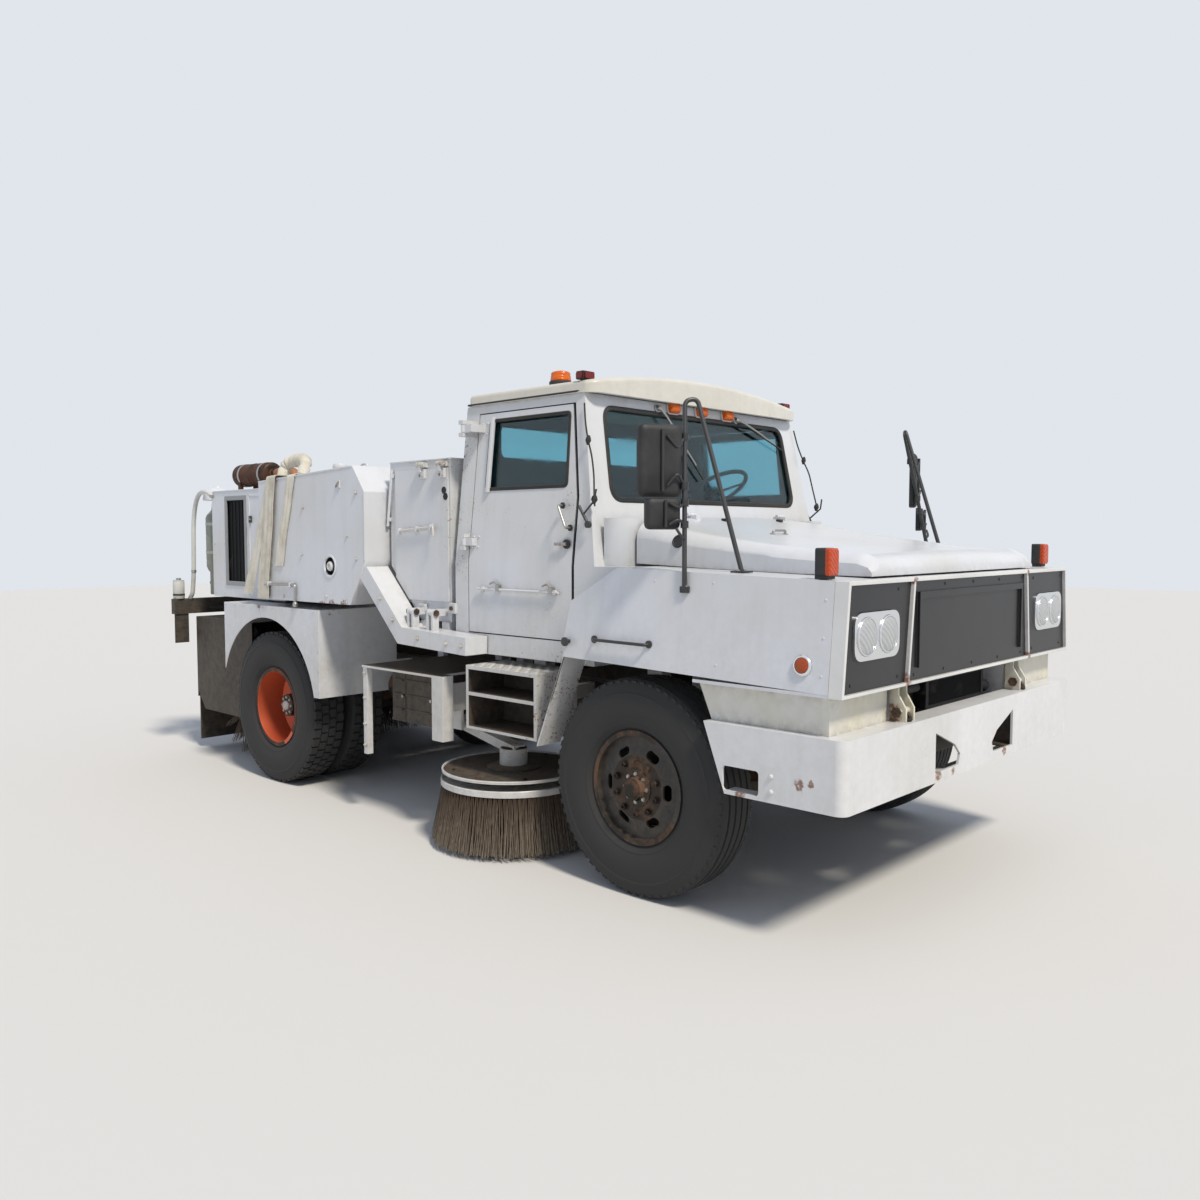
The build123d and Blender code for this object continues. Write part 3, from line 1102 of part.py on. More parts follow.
# Gutter arm: pivot sleeve, box arm and the motor it carries, with the fixed cover disc
MOTOR_TOP = 520.0
COVER_Z = 404.0
with BuildPart() as gutter_arm_right:
    rod((-992.0, GUTTER_PIVOT_Y, GUTTER_PIVOT_Z), (-864.0, GUTTER_PIVOT_Y, GUTTER_PIVOT_Z), 32.0)
    arm_line = [(GUTTER_PIVOT_Y, GUTTER_PIVOT_Z - 22.0), (GUTTER_PIVOT_Y, GUTTER_PIVOT_Z + 22.0),
                (GUTTER_Y - 60.0, 540.0), (GUTTER_Y - 60.0, 486.0)]
    prism(across(-970.0), arm_line, 84.0)
    rod((-GUTTER_X, GUTTER_Y, COVER_Z), (-GUTTER_X, GUTTER_Y, MOTOR_TOP), 78.0)
    with BuildSketch(level(COVER_Z)) as cover:
        with Locations((-GUTTER_X, GUTTER_Y)):
            Circle(GUTTER_RING_R - 6.0)
    extrude(cover.sketch, amount=8.0)
    rod((-1000.0, GUTTER_PIVOT_Y, GUTTER_PIVOT_Z), (-860.0, GUTTER_PIVOT_Y, GUTTER_PIVOT_Z),
        PIVOT_PIN_R + RUNNING, Mode.SUBTRACT)
    rod((-GUTTER_X, GUTTER_Y, COVER_Z - 10.0), (-GUTTER_X, GUTTER_Y, 480.0), 22.0 + RUNNING, Mode.SUBTRACT)
save(gutter_arm_right, "gutter_arm_right")
save_left(gutter_arm_right, "gutter_arm_left")

# Gutter broom: disc with its white edge ring, shaft stub, and the flaring bristle skirt
with BuildPart() as gutter_broom_right:
    with BuildSketch(Plane(origin=(-GUTTER_X, GUTTER_Y, 0), x_dir=(1, 0, 0), z_dir=(0, -1, 0))) as profile:
        with BuildLine():
            Polyline((0, 366), (22, 366), (22, 478), (0, 478), close=True)
        make_face()
        with BuildLine():
            Polyline(
                (0, 330), (GUTTER_RING_R, 330), (GUTTER_RING_R, 368), (GUTTER_RING_R - 12, 368),
                (GUTTER_RING_R - 12, 346), (60, 352), (60, 368), (0, 368), close=True,
            )
        make_face()
        with BuildLine():
            Polyline((210, 332), (GUTTER_RING_R - 8, 332), (GUTTER_R, 6), (300, 6), close=True)
        make_face()
    revolve(profile.sketch, axis=Axis((-GUTTER_X, GUTTER_Y, 0), (0, 0, 1)))
save(gutter_broom_right, "gutter_broom_right")
save_left(gutter_broom_right, "gutter_broom_left")

# Hopper cradle: cranked side channels, saddle beams on the rails, and the tilt brackets
CRADLE_IN_X = CAB_HALF + 6.0
cradle_line = [(196.0, 1516.0), (-150.0, 1172.0), (-730.0, 1150.0)]
saddle_y = ((-390.0, -330.0), (-190.0, -130.0))
tilt_y = (-350.0, -165.0)
TILT_PIN_R = 13.0
with BuildPart() as hopper_cradle:
    prism(across(-CRADLE_OUT_X), band(cradle_line, CRADLE_DEEP), CRADLE_OUT_X - CRADLE_IN_X)
    mirror(about=Plane.YZ)
    for low_y, high_y in saddle_y:
        block((-CRADLE_IN_X, CRADLE_IN_X), (low_y, high_y), (1105.0, HOPPER_LOW_Z - GAP))
        for x in (-RAIL_X + 40.0, RAIL_X - 40.0):
            block((x - 40.0, x + 40.0), (low_y, high_y), (RAIL_TOP, 1110.0))
    block((-CRADLE_IN_X - 10.0, -CRADLE_IN_X), (-390.0, -130.0), (1105.0, 1150.0))
    block((CRADLE_IN_X, CRADLE_IN_X + 10.0), (-390.0, -130.0), (1105.0, 1150.0))
    for y in tilt_y:
        for low, high in ((y - 30.0, y - 14.0), (y + 14.0, y + 30.0)):
            block((TILT_X - 22.0, TILT_X + 22.0), (low, high), (1140.0, TILT_Z))
            rod((TILT_X, low, TILT_Z), (TILT_X, high, TILT_Z), 22.0)
        rod((TILT_X, y - 34.0, TILT_Z), (TILT_X, y + 34.0, TILT_Z), TILT_PIN_R)
save(hopper_cradle, "hopper_cradle")

# Hopper: open-topped bin with a sloped rear bottom, side opening and rear mouth
hopper_profile = [
    (HOPPER_FRONT_Y, HOPPER_LOW_Z),
    (HOPPER_FRONT_Y, HOPPER_TOP_Z),
    (HOPPER_REAR_Y, HOPPER_TOP_Z),
    (HOPPER_REAR_Y, HOPPER_SLOPE_TOP_Z),
    (HOPPER_KNEE_Y, HOPPER_LOW_Z),
]
hopper_room = [
    (HOPPER_FRONT_Y + HOPPER_WALL, HOPPER_LOW_Z + HOPPER_WALL),
    (HOPPER_FRONT_Y + HOPPER_WALL, HOPPER_TOP_Z + 10.0),
    (HOPPER_REAR_Y - HOPPER_WALL, HOPPER_TOP_Z + 10.0),
    (HOPPER_REAR_Y - HOPPER_WALL, HOPPER_SLOPE_TOP_Z + 4.0),
    (HOPPER_KNEE_Y - 4.0, HOPPER_LOW_Z + HOPPER_WALL),
]
MOUTH_HALF = 366.0
MOUTH_LOW = 1705.0
MOUTH_TOP = 2086.0
DUMP_LOW = 1322.0
DUMP_TOP = 2090.0
DUMP_FRONT_Y = HOPPER_FRONT_Y + 14.0
DUMP_REAR_Y = 120.0
DUMP_LAP = 30.0  # how far the dump door laps past its opening
dump_outline = [
    (DUMP_FRONT_Y, DUMP_TOP),
    (DUMP_REAR_Y, DUMP_TOP),
    (DUMP_REAR_Y, DUMP_LOW + 130.0),
    (DUMP_REAR_Y - 130.0, DUMP_LOW),
    (DUMP_FRONT_Y, DUMP_LOW),
]
dump_hinge_y = (-350.0, -165.0)
with BuildPart() as hopper:
    prism(across(-HOPPER_HALF), hopper_profile, 2 * HOPPER_HALF)
    prism(across(-HOPPER_HALF + HOPPER_WALL), hopper_room, 2 * (HOPPER_HALF - HOPPER_WALL), Mode.SUBTRACT)
    with BuildPart(mode=Mode.PRIVATE) as doorway:
        with BuildSketch(across(-HOPPER_HALF - 1.0)) as opening:
            with BuildLine():
                Polyline(*dump_outline, close=True)
            make_face()
            offset(amount=-DUMP_LAP, mode=Mode.REPLACE)
        extrude(opening.sketch, amount=HOPPER_WALL + 2.0)
    add(doorway.part, mode=Mode.SUBTRACT)
    block((-MOUTH_HALF, MOUTH_HALF), (HOPPER_REAR_Y - 20.0, HOPPER_REAR_Y + 1.0), (MOUTH_LOW, MOUTH_TOP),
          Mode.SUBTRACT)
    for y in tilt_y:
        block((TILT_X, -HOPPER_HALF), (y - 12.0, y + 12.0), (TILT_Z - 20.0, TILT_Z + 20.0))
        rod((TILT_X, y - 12.0, TILT_Z), (TILT_X, y + 12.0, TILT_Z), 20.0)
        rod((TILT_X, y - 20.0, TILT_Z), (TILT_X, y + 20.0, TILT_Z), TILT_PIN_R + RUNNING, Mode.SUBTRACT)
    for y in dump_hinge_y:
        for low, high in ((y - 30.0, y - 14.0), (y + 14.0, y + 30.0)):
            block((DUMP_PIN_X, -HOPPER_HALF), (low, high), (DUMP_PIN_Z - 14.0, DUMP_PIN_Z + 14.0))
            rod((DUMP_PIN_X, low, DUMP_PIN_Z), (DUMP_PIN_X, high, DUMP_PIN_Z), 14.0)
        rod((DUMP_PIN_X, y - 32.0, DUMP_PIN_Z), (DUMP_PIN_X, y + 32.0, DUMP_PIN_Z), PIN_R)
save(hopper, "hopper")

# Dump door: stiffened plate over the side opening, hung from two hinges
DUMP_X = -HOPPER_HALF - GAP
with BuildPart() as dump_door:
    prism(across(DUMP_X - 10.0), dump_outline, 10.0)
    for y in dump_hinge_y:
        block((DUMP_PIN_X, DUMP_X - 5.0), (y - 12.0, y + 12.0), (2040.0, 2085.0))
        block((DUMP_PIN_X - 14.0, DUMP_PIN_X + 14.0), (y - 12.0, y + 12.0), (2070.0, DUMP_PIN_Z))
        rod((DUMP_PIN_X, y - 12.0, DUMP_PIN_Z), (DUMP_PIN_X, y + 12.0, DUMP_PIN_Z), 14.0)
        rod((DUMP_PIN_X, y - 16.0, DUMP_PIN_Z), (DUMP_PIN_X, y + 16.0, DUMP_PIN_Z), PIN_R + RUNNING,
            Mode.SUBTRACT)
save(dump_door, "dump_door")

# Water tanks: chamfered boxes each side of the conveyor, on posts from the rails
tank_profile = [
    (TANK_REAR_Y, 1272.0),
    (TANK_REAR_Y, 2071.0),
    (334.0, 2128.0),
    (TANK_FRONT_Y, 1967.0),
    (TANK_FRONT_Y, 1549.0),
    (378.0, 1276.0),
]
FILLER_Y = 595.0
FILLER_Z = 1511.0
with BuildPart() as water_tanks:
    prism(across(-TANK_OUT_X), tank_profile, TANK_OUT_X - TANK_IN_X)
    with BuildSketch(across(-TANK_OUT_X - 1.0)) as filler:
        with Locations((FILLER_Y, FILLER_Z)):
            Circle(58.0)
    extrude(filler.sketch, amount=70.0, mode=Mode.SUBTRACT)
    with BuildSketch(across(-TANK_OUT_X - 6.0)) as cap:
        with Locations((FILLER_Y, FILLER_Z)):
            Circle(30.0)
    extrude(cap.sketch, amount=90.0)
    for y in (400.0, 1380.0):
        block((-RAIL_X, -TANK_IN_X), (y, y + 60.0), (RAIL_TOP, 1280.0))
    mirror(about=Plane.YZ)
save(water_tanks, "water_tanks")

# Rear fenders: folded boxes with a round arch
with BuildPart() as rear_fenders:
    with BuildSketch(across(-TANK_OUT_X)) as cheek:
        with Locations(((FENDER_BOX_FRONT_Y + FENDER_BOX_REAR_Y) / 2, (FENDER_BOX_Z + FENDER_BOX_TOP) / 2)):
            Rectangle(FENDER_BOX_REAR_Y - FENDER_BOX_FRONT_Y, FENDER_BOX_TOP - FENDER_BOX_Z)
        with Locations((REAR_AXLE_Y, TYRE_R)):
            Circle(ARCH_R, mode=Mode.SUBTRACT)
    extrude(cheek.sketch, amount=SHEET)
    block((-TANK_OUT_X, -600.0), (FENDER_BOX_FRONT_Y, FENDER_BOX_REAR_Y),
          (FENDER_BOX_TOP - SHEET, FENDER_BOX_TOP))
    block((-TANK_OUT_X, -600.0), (FENDER_BOX_FRONT_Y, FENDER_BOX_FRONT_Y + SHEET),
          (FENDER_BOX_Z, FENDER_BOX_TOP))
    block((-620.0, -RAIL_X), (FENDER_BOX_FRONT_Y, FENDER_BOX_FRONT_Y + SHEET), (FENDER_BOX_Z, 860.0))
    block((-620.0, -RAIL_X), (FENDER_BOX_REAR_Y - 40.0, FENDER_BOX_REAR_Y), (1150.0, FENDER_BOX_TOP))
    mirror(about=Plane.YZ)
save(rear_fenders, "rear_fenders")

# Conveyor: square duct rising from the rear broom to the hopper's mouth
DUCT_HALF = 370.0
duct = [(1960.0, 300.0), (1960.0, 650.0), (HOPPER_REAR_Y + 35.0, 2090.0), (HOPPER_REAR_Y + 35.0, 1700.0)]
with BuildPart() as conveyor:
    prism(across(-DUCT_HALF), duct, 2 * DUCT_HALF)
    core = [
        (1970.0, duct[0][1] + 2.0),
        (1970.0, duct[1][1] - 18.0),
        (duct[2][0] - 10.0, duct[2][1] + 1.0),
        (duct[3][0] - 10.0, duct[3][1] + 17.0),
    ]
    prism(across(-DUCT_HALF + SHEET), core, 2 * (DUCT_HALF - SHEET), Mode.SUBTRACT)
    for side in (-1, 1):
        low, high = sorted((side * (DUCT_HALF - 2.0), side * (RAIL_X - RAIL_FLANGE)))
        block((low, high), (1500.0, 1560.0), (RAIL_TOP - 40.0, RAIL_TOP))
save(conveyor, "conveyor")

# Rear pod: engine room with radiator openings in its sides and louvred rear
RADIATOR_Y = (POD_REAR_Y - 520.0, POD_REAR_Y - 230.0)
RADIATOR_Z = (1345.0, 1980.0)
with BuildPart() as engine_pod:
    block((-POD_HALF, POD_HALF), (POD_FRONT_Y, POD_REAR_Y), (POD_Z, POD_TOP))
    block((-POD_HALF + SHEET, POD_HALF - SHEET), (POD_FRONT_Y + SHEET, POD_REAR_Y - SHEET),
          (POD_Z + SHEET, POD_TOP - SHEET), Mode.SUBTRACT)
    block((-POD_HALF - 1.0, POD_HALF + 1.0), RADIATOR_Y, RADIATOR_Z, Mode.SUBTRACT)
    for row in range(6):
        low = 1400.0 + 90.0 * row
        block((-600.0, 600.0), (POD_REAR_Y - 20.0, POD_REAR_Y + 1.0), (low, low + 45.0), Mode.SUBTRACT)
save(engine_pod, "engine_pod")

with BuildPart() as rear_engine:
    block((-330.0, 330.0), (POD_FRONT_Y + 140.0, POD_REAR_Y - 180.0), (1300.0, 1820.0))
    for x in (-260.0, 260.0):
        block((x - 40.0, x + 40.0), (POD_FRONT_Y + 200.0, POD_REAR_Y - 240.0), (POD_Z + SHEET, 1300.0))
    for side in (-1, 1):
        low, high = sorted((side * 905.0, side * 985.0))
        block((low, high), (RADIATOR_Y[0] - 20.0, RADIATOR_Y[1] + 20.0),
              (POD_Z + SHEET, RADIATOR_Z[1] + 20.0))
save(rear_engine, "rear_engine")

# Exhaust: muffler lying on the pod, with its pipe turned down into it
MUFFLER_X = -780.0
MUFFLER_Z = POD_TOP + 128.0
MUFFLER_REAR_Y = POD_REAR_Y - 60.0
with BuildPart() as exhaust:
    rod((MUFFLER_X, MUFFLER_REAR_Y - 480.0, MUFFLER_Z), (MUFFLER_X, MUFFLER_REAR_Y, MUFFLER_Z), 88.0)
    with BuildLine() as pipe_line:
        FilletPolyline(
            (MUFFLER_X, MUFFLER_REAR_Y - 470.0, MUFFLER_Z),
            (MUFFLER_X, MUFFLER_REAR_Y - 800.0, MUFFLER_Z),
            (MUFFLER_X, MUFFLER_REAR_Y - 800.0, POD_TOP + GAP),
            radius=80.0,
        )
    with BuildSketch(Plane(origin=(MUFFLER_X, MUFFLER_REAR_Y - 470.0, MUFFLER_Z), z_dir=(0, -1, 0))) as ring:
        Circle(36.0)
    sweep(sections=ring.sketch, path=pipe_line.line)
    rod((MUFFLER_X, MUFFLER_REAR_Y - 10.0, MUFFLER_Z), (MUFFLER_X, MUFFLER_REAR_Y + 50.0, MUFFLER_Z), 40.0)
    block((MUFFLER_X - 60.0, MUFFLER_X + 60.0), (MUFFLER_REAR_Y - 250.0, MUFFLER_REAR_Y - 220.0),
          (POD_TOP, MUFFLER_Z - 40.0))
save(exhaust, "exhaust")

# Air cleaner at the rear corner: canister, stem and domed cap
CLEANER = (-880.0, POD_REAR_Y + 140.0)
with BuildPart() as air_cleaner:
    with BuildSketch(Plane(origin=(CLEANER[0], CLEANER[1], 0), x_dir=(1, 0, 0), z_dir=(0, -1, 0))) as profile:
        with BuildLine():
            Polyline((0, KICK_TOP), (70, KICK_TOP), (70, 1420), (95, 1460), (95, 1850), (60, 1890),
                     (45, 1960), (112, 1975), (112, 2030), (70, 2076), (0, 2088), close=True)
        make_face()
    revolve(profile.sketch, axis=Axis((CLEANER[0], CLEANER[1], 0), (0, 0, 1)))
    block((-960.0, -RAIL_X + 40.0), (CLEANER[1] - 100.0, CLEANER[1] + 90.0), (KICK_TOP, KICK_TOP + SHEET))
    block((-840.0, -800.0), (POD_REAR_Y, CLEANER[1] - 40.0), (1600.0, 1640.0))
save(air_cleaner, "air_cleaner")

# Broom housing: cheeks, top and rear plates, rubber apron, and the arm pivots
BOX_FRONT_Y = ARM_PIVOT_Y - 60.0
BOX_REAR_Y = REAR_Y - 150.0
BOX_LOW_Z = 330.0
with BuildPart() as broom_housing:
    cheek_line = [(BOX_FRONT_Y, KICK_Z), (BOX_FRONT_Y, 820.0), (BOX_FRONT_Y + 70.0, 560.0),
                  (BOX_FRONT_Y + 130.0, BOX_LOW_Z), (BOX_REAR_Y - 120.0, BOX_LOW_Z), (BOX_REAR_Y, 480.0),
                  (BOX_REAR_Y, KICK_Z)]
    for side in (-1, 1):
        low, high = sorted((side * (HOOD_BOX_HALF - SHEET), side * HOOD_BOX_HALF))
        prism(across(low), cheek_line, high - low)
        low, high = sorted((side * HOOD_BOX_HALF, side * (HOOD_BOX_HALF - 70.0)))
        rod((low, ARM_PIVOT_Y, ARM_PIVOT_Z), (high, ARM_PIVOT_Y, ARM_PIVOT_Z), PIVOT_PIN_R)
    block((-HOOD_BOX_HALF, HOOD_BOX_HALF), (BOX_FRONT_Y, BOX_REAR_Y), (KICK_Z - SHEET, KICK_Z))
    block((-HOOD_BOX_HALF, HOOD_BOX_HALF), (BOX_REAR_Y - SHEET, BOX_REAR_Y), (420.0, KICK_Z))
    block((-HOOD_BOX_HALF + 20.0, HOOD_BOX_HALF - 20.0), (BOX_REAR_Y, BOX_REAR_Y + 12.0), (70.0, 520.0))
save(broom_housing, "broom_housing")

# Rear bar with the lamp brackets and mud flaps
with BuildPart() as rear_bar:
    block((-REAR_BAR_HALF, REAR_BAR_HALF), (REAR_BAR_Y - 2.0, REAR_BAR_Y + 56.0), (1080.0, 1200.0))
    block((-REAR_BAR_HALF + 8.0, REAR_BAR_HALF - 8.0), (REAR_BAR_Y + 6.0, REAR_BAR_Y + 48.0),
          (1088.0, 1192.0), Mode.SUBTRACT)
    for side in (-1, 1):
        low, high = sorted((side * 1124.0, side * 1012.0))
        block((low, high), (REAR_BAR_Y + 10.0, REAR_BAR_Y + 20.0), (850.0, 1090.0))
        rod((side * 1080.0, REAR_BAR_Y + 28.0, 1200.0), (side * 1080.0, REAR_BAR_Y + 28.0, 1345.0), 42.0)
save(rear_bar, "rear_bar")

# Broom arms: pair of plates from the pivots to the shaft, tied by a cross tube
SHAFT_R = 24.0
ARM_X = HOOD_BOX_HALF - 40.0
with BuildPart() as broom_arms:
    for side in (-1, 1):
        low, high = sorted((side * (ARM_X - 10.0), side * (ARM_X + 10.0)))
        with BuildSketch(across(low)) as plate:
            with BuildLine():
                Polyline(
                    (ARM_PIVOT_Y - 44.0, ARM_PIVOT_Z), (ARM_PIVOT_Y + 44.0, ARM_PIVOT_Z),
                    (BROOM_Y + 60.0, BROOM_Z), (BROOM_Y - 60.0, BROOM_Z), close=True,
                )
            make_face()
            with Locations((ARM_PIVOT_Y, ARM_PIVOT_Z)):
                Circle(44.0)
            with Locations((BROOM_Y, BROOM_Z)):
                Circle(60.0)
            with Locations((ARM_PIVOT_Y, ARM_PIVOT_Z)):
                Circle(PIVOT_PIN_R + RUNNING, mode=Mode.SUBTRACT)
            with Locations((BROOM_Y, BROOM_Z)):
                Circle(SHAFT_R + RUNNING, mode=Mode.SUBTRACT)
        extrude(plate.sketch, amount=high - low)
    tie_y, tie_z = ARM_PIVOT_Y + 60.0, ARM_PIVOT_Z - 120.0
    rod((-ARM_X, tie_y, tie_z), (ARM_X, tie_y, tie_z), 26.0)
save(broom_arms, "broom_arms")

# Main broom: shaft, core and packed bristle rows
ROWS = 12
ROW_DEEP = 40.0
with BuildPart() as main_broom:
    with BuildSketch(across(-BROOM_HALF)) as brush:
        with Locations((BROOM_Y, BROOM_Z)):
            Circle(BROOM_R)
        with Locations((BROOM_Y, BROOM_Z)):
            with PolarLocations(BROOM_R, ROWS):
                Rectangle(2 * ROW_DEEP, 60.0, mode=Mode.SUBTRACT)
    extrude(brush.sketch, amount=2 * BROOM_HALF)
    rod((-ARM_X - 12.0, BROOM_Y, BROOM_Z), (ARM_X + 12.0, BROOM_Y, BROOM_Z), SHAFT_R)
save(main_broom, "main_broom")

# Fill hose: flat canvas hose hung in folds over the tank's edge
HOSE_T = 12.0
hose_strips = [  # corners of each flat fold, seen from the side
    [(1250.0, 2100.0), (1345.0, 2096.0), (1690.0, 1300.0), (1560.0, 1300.0)],
    [(1215.0, 2050.0), (1330.0, 2040.0), (1475.0, 1275.0), (1335.0, 1275.0)],
    [(990.0, 2106.0), (1085.0, 2101.0), (1255.0, 1500.0), (1160.0, 1500.0)],
]
with BuildPart() as hose:
    for index, corners in enumerate(hose_strips):
        layer = index % 2 + 1
        prism(across(-TANK_OUT_X - layer * (HOSE_T + GAP)), corners, HOSE_T)
save(hose, "hose")
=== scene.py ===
"""Street sweeper truck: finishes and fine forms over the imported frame.

Every size below is in millimetres; a mesh is scaled to metres when it is made.
+X is the vehicle's left, -Y is forward and +Z is up, as in the frame.
A form that both sides share is drawn on the right, which is the photo's side, and mirrored.
"""

import json
import logging
import math
from collections.abc import Callable, Iterable, Sequence
from dataclasses import dataclass, field
from enum import Enum

import bmesh
import bpy
from mathutils import Matrix, Vector
from mathutils.bvhtree import BVHTree
from mathutils.geometry import tessellate_polygon


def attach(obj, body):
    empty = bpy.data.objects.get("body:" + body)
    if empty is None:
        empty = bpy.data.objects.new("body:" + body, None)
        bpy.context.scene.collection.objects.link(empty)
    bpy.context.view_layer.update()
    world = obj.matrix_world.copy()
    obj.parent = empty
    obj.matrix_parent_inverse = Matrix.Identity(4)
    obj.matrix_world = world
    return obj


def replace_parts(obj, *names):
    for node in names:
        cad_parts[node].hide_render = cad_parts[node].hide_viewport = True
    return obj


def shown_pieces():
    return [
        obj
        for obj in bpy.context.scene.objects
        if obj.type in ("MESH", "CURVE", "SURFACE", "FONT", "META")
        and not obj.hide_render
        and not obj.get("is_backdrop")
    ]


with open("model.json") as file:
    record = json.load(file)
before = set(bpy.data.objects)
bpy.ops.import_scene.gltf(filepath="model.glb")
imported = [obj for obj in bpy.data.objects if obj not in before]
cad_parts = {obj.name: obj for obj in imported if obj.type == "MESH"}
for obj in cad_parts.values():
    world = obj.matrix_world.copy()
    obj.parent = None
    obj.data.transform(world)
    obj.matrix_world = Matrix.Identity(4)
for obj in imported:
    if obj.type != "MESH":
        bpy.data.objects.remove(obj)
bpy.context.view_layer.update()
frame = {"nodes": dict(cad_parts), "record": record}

MM = 0.001
LOG = logging.getLogger("sweeper")
CHASSIS = "chassis"
MIRROR = Matrix.Diagonal((-1, 1, 1, 1))
ROUNDED_ABOVE = 35.0  # degrees; a sharper edge than this gets a rounded strip
ROUNDING_FACES = 2  # faces across that strip
SHARP_ABOVE = 40.0  # degrees; a plain edge stays sharp above this
DUST_FREE = 0.08  # share of the road dust that is left high up

Point = tuple[float, float, float]
Flat = tuple[float, float]
Place = tuple[Vector, Vector, Vector]
Socket = bpy.types.NodeSocket
Piece = bpy.types.Object


class Side(Enum):
    """Side of the vehicle."""

    RIGHT = -1
    LEFT = 1

    @property
    def word(self) -> str:
        """Name used in pieces and bodies."""
        return self.name.lower()


class Axis(Enum):
    """Direction that a straight or turned form runs along."""

    X = 0
    Y = 1
    Z = 2

    def point(self, along: float, u: float, v: float) -> Vector:
        """Point at a distance along the axis, with the two other coordinates in their own order."""
        return Vector(((along, u, v), (u, along, v), (u, v, along))[self.value])

    def spoke(self, turn: float) -> Vector:
        """Direction across the axis at an angle in radians."""
        u, v = math.cos(turn), math.sin(turn)
        return Vector(((0, u, v), (v, 0, u), (u, v, 0))[self.value])


# Colours and nodes


def linear(code: str) -> tuple[float, float, float, float]:
    """Turn an sRGB hex value into a linear colour.

    Args:
        code: Six hex digits.

    Returns:
        Linear red, green, blue and an alpha of 1.
    """
    parts = [int(code[i : i + 2], 16) / 255 for i in (0, 2, 4)]
    tones = [c / 12.92 if c <= 0.04045 else ((c + 0.055) / 1.055) ** 2.4 for c in parts]
    return (tones[0], tones[1], tones[2], 1.0)


def put(tree: bpy.types.NodeTree, kind: str, inputs: dict | None = None, **settings) -> bpy.types.Node:
    """Add a node with its settings, values and links.

    Args:
        tree: Node tree that gets the node.
        kind: Node type.
        inputs: Value, hex colour or output socket for each input, by name or number.
        **settings: Attributes of the node.

    Returns:
        The new node.
    """
    node = tree.nodes.new(kind)
    for key, value in settings.items():
        setattr(node, key, value)
    for key, value in (inputs or {}).items():
        socket = node.inputs[key]
        if isinstance(value, Socket):
            tree.links.new(value, socket)
        elif isinstance(value, str) and socket.type == "RGBA":
            socket.default_value = linear(value)
        else:
            socket.default_value = value
    return node


class Wiring:
    """A material's node tree, and the few nodes that its finishes share."""

    def __init__(self, tree: bpy.types.NodeTree) -> None:
        """Start from the object's own coordinates, so that nothing swims on a moving body."""
        self.tree = tree
        self.where = put(tree, "ShaderNodeTexCoord").outputs["Object"]

    def noise(self, scale: float, detail: float, roughness: float = 0.5, where: Socket | None = None) -> Socket:
        """Add broken noise.

        Args:
            scale: Patches in a metre.
            detail: Octaves.
            roughness: Weight of the fine octaves.
            where: Coordinates, if not the object's own.

        Returns:
            The noise, about 0.5.
        """
        return put(self.tree, "ShaderNodeTexNoise",
                   {"Vector": self.where if where is None else where, "Scale": scale, "Detail": detail,
                    "Roughness": roughness}).outputs["Fac"]

    def wave(self, width: float, way: str) -> Socket:
        """Add ribs or yarns of a width, across a named direction."""
        return put(self.tree, "ShaderNodeTexWave", {"Vector": self.where, "Scale": 1000.0 / width / 3.14},
                   bands_direction=way).outputs["Fac"]

    def span(self, value: Socket, low: float = 0.0, high: float = 1.0, to_low: float = 0.0,
             to_high: float = 1.0) -> Socket:
        """Map a range of values onto another and hold it there.

        Args:
            value: The value.
            low: Start of its range.
            high: End of its range.
            to_low: What its start becomes.
            to_high: What its end becomes.

        Returns:
            The mapped value.
        """
        return put(self.tree, "ShaderNodeMapRange",
                   {"Value": value, "From Min": low, "From Max": high, "To Min": to_low,
                    "To Max": to_high}).outputs[0]

    def calc(self, operation: str, *values: Socket | float, clamp: bool = False) -> Socket:
        """Combine values by one operation."""
        return put(self.tree, "ShaderNodeMath", dict(enumerate(values)), operation=operation,
                   use_clamp=clamp).outputs[0]

    def blend(self, share: Socket, first: Socket | str, second: Socket | str) -> Socket:
        """Mix two colours by a share."""
        return put(self.tree, "ShaderNodeMix", {0: share, 6: first, 7: second}, data_type="RGBA").outputs[2]

    def height(self, low: float, high: float, top_share: float) -> Socket:
        """Fall from 1 at a low height to a share at a high one.

        Args:
            low: Height where it starts to fall.
            high: Height where it ends.
            top_share: Value from there upwards.

        Returns:
            The falling value.
        """
        up = put(self.tree, "ShaderNodeSeparateXYZ", {0: self.where}).outputs["Z"]
        return self.span(up, low * MM, high * MM, 1.0, top_share)

    def bump(self, height: Socket, strength: float, distance: float, normal: Socket | None = None) -> Socket:
        """Raise the surface by a height.

        Args:
            height: The height.
            strength: Share of it that shows.
            distance: Real height of a full step, in millimetres.
            normal: Normal that it adds to.

        Returns:
            The new normal.
        """
        inputs = {"Height": height, "Strength": strength, "Distance": distance * MM}
        if normal is not None:
            inputs["Normal"] = normal
        return put(self.tree, "ShaderNodeBump", inputs).outputs[0]

    def surface(self, colour: Socket | str, rough: Socket | float, more: dict) -> bpy.types.Node:
        """Add the shader with its colour, roughness and further inputs."""
        return put(self.tree, "ShaderNodeBsdfPrincipled", {"Base Color": colour, "Roughness": rough} | more)


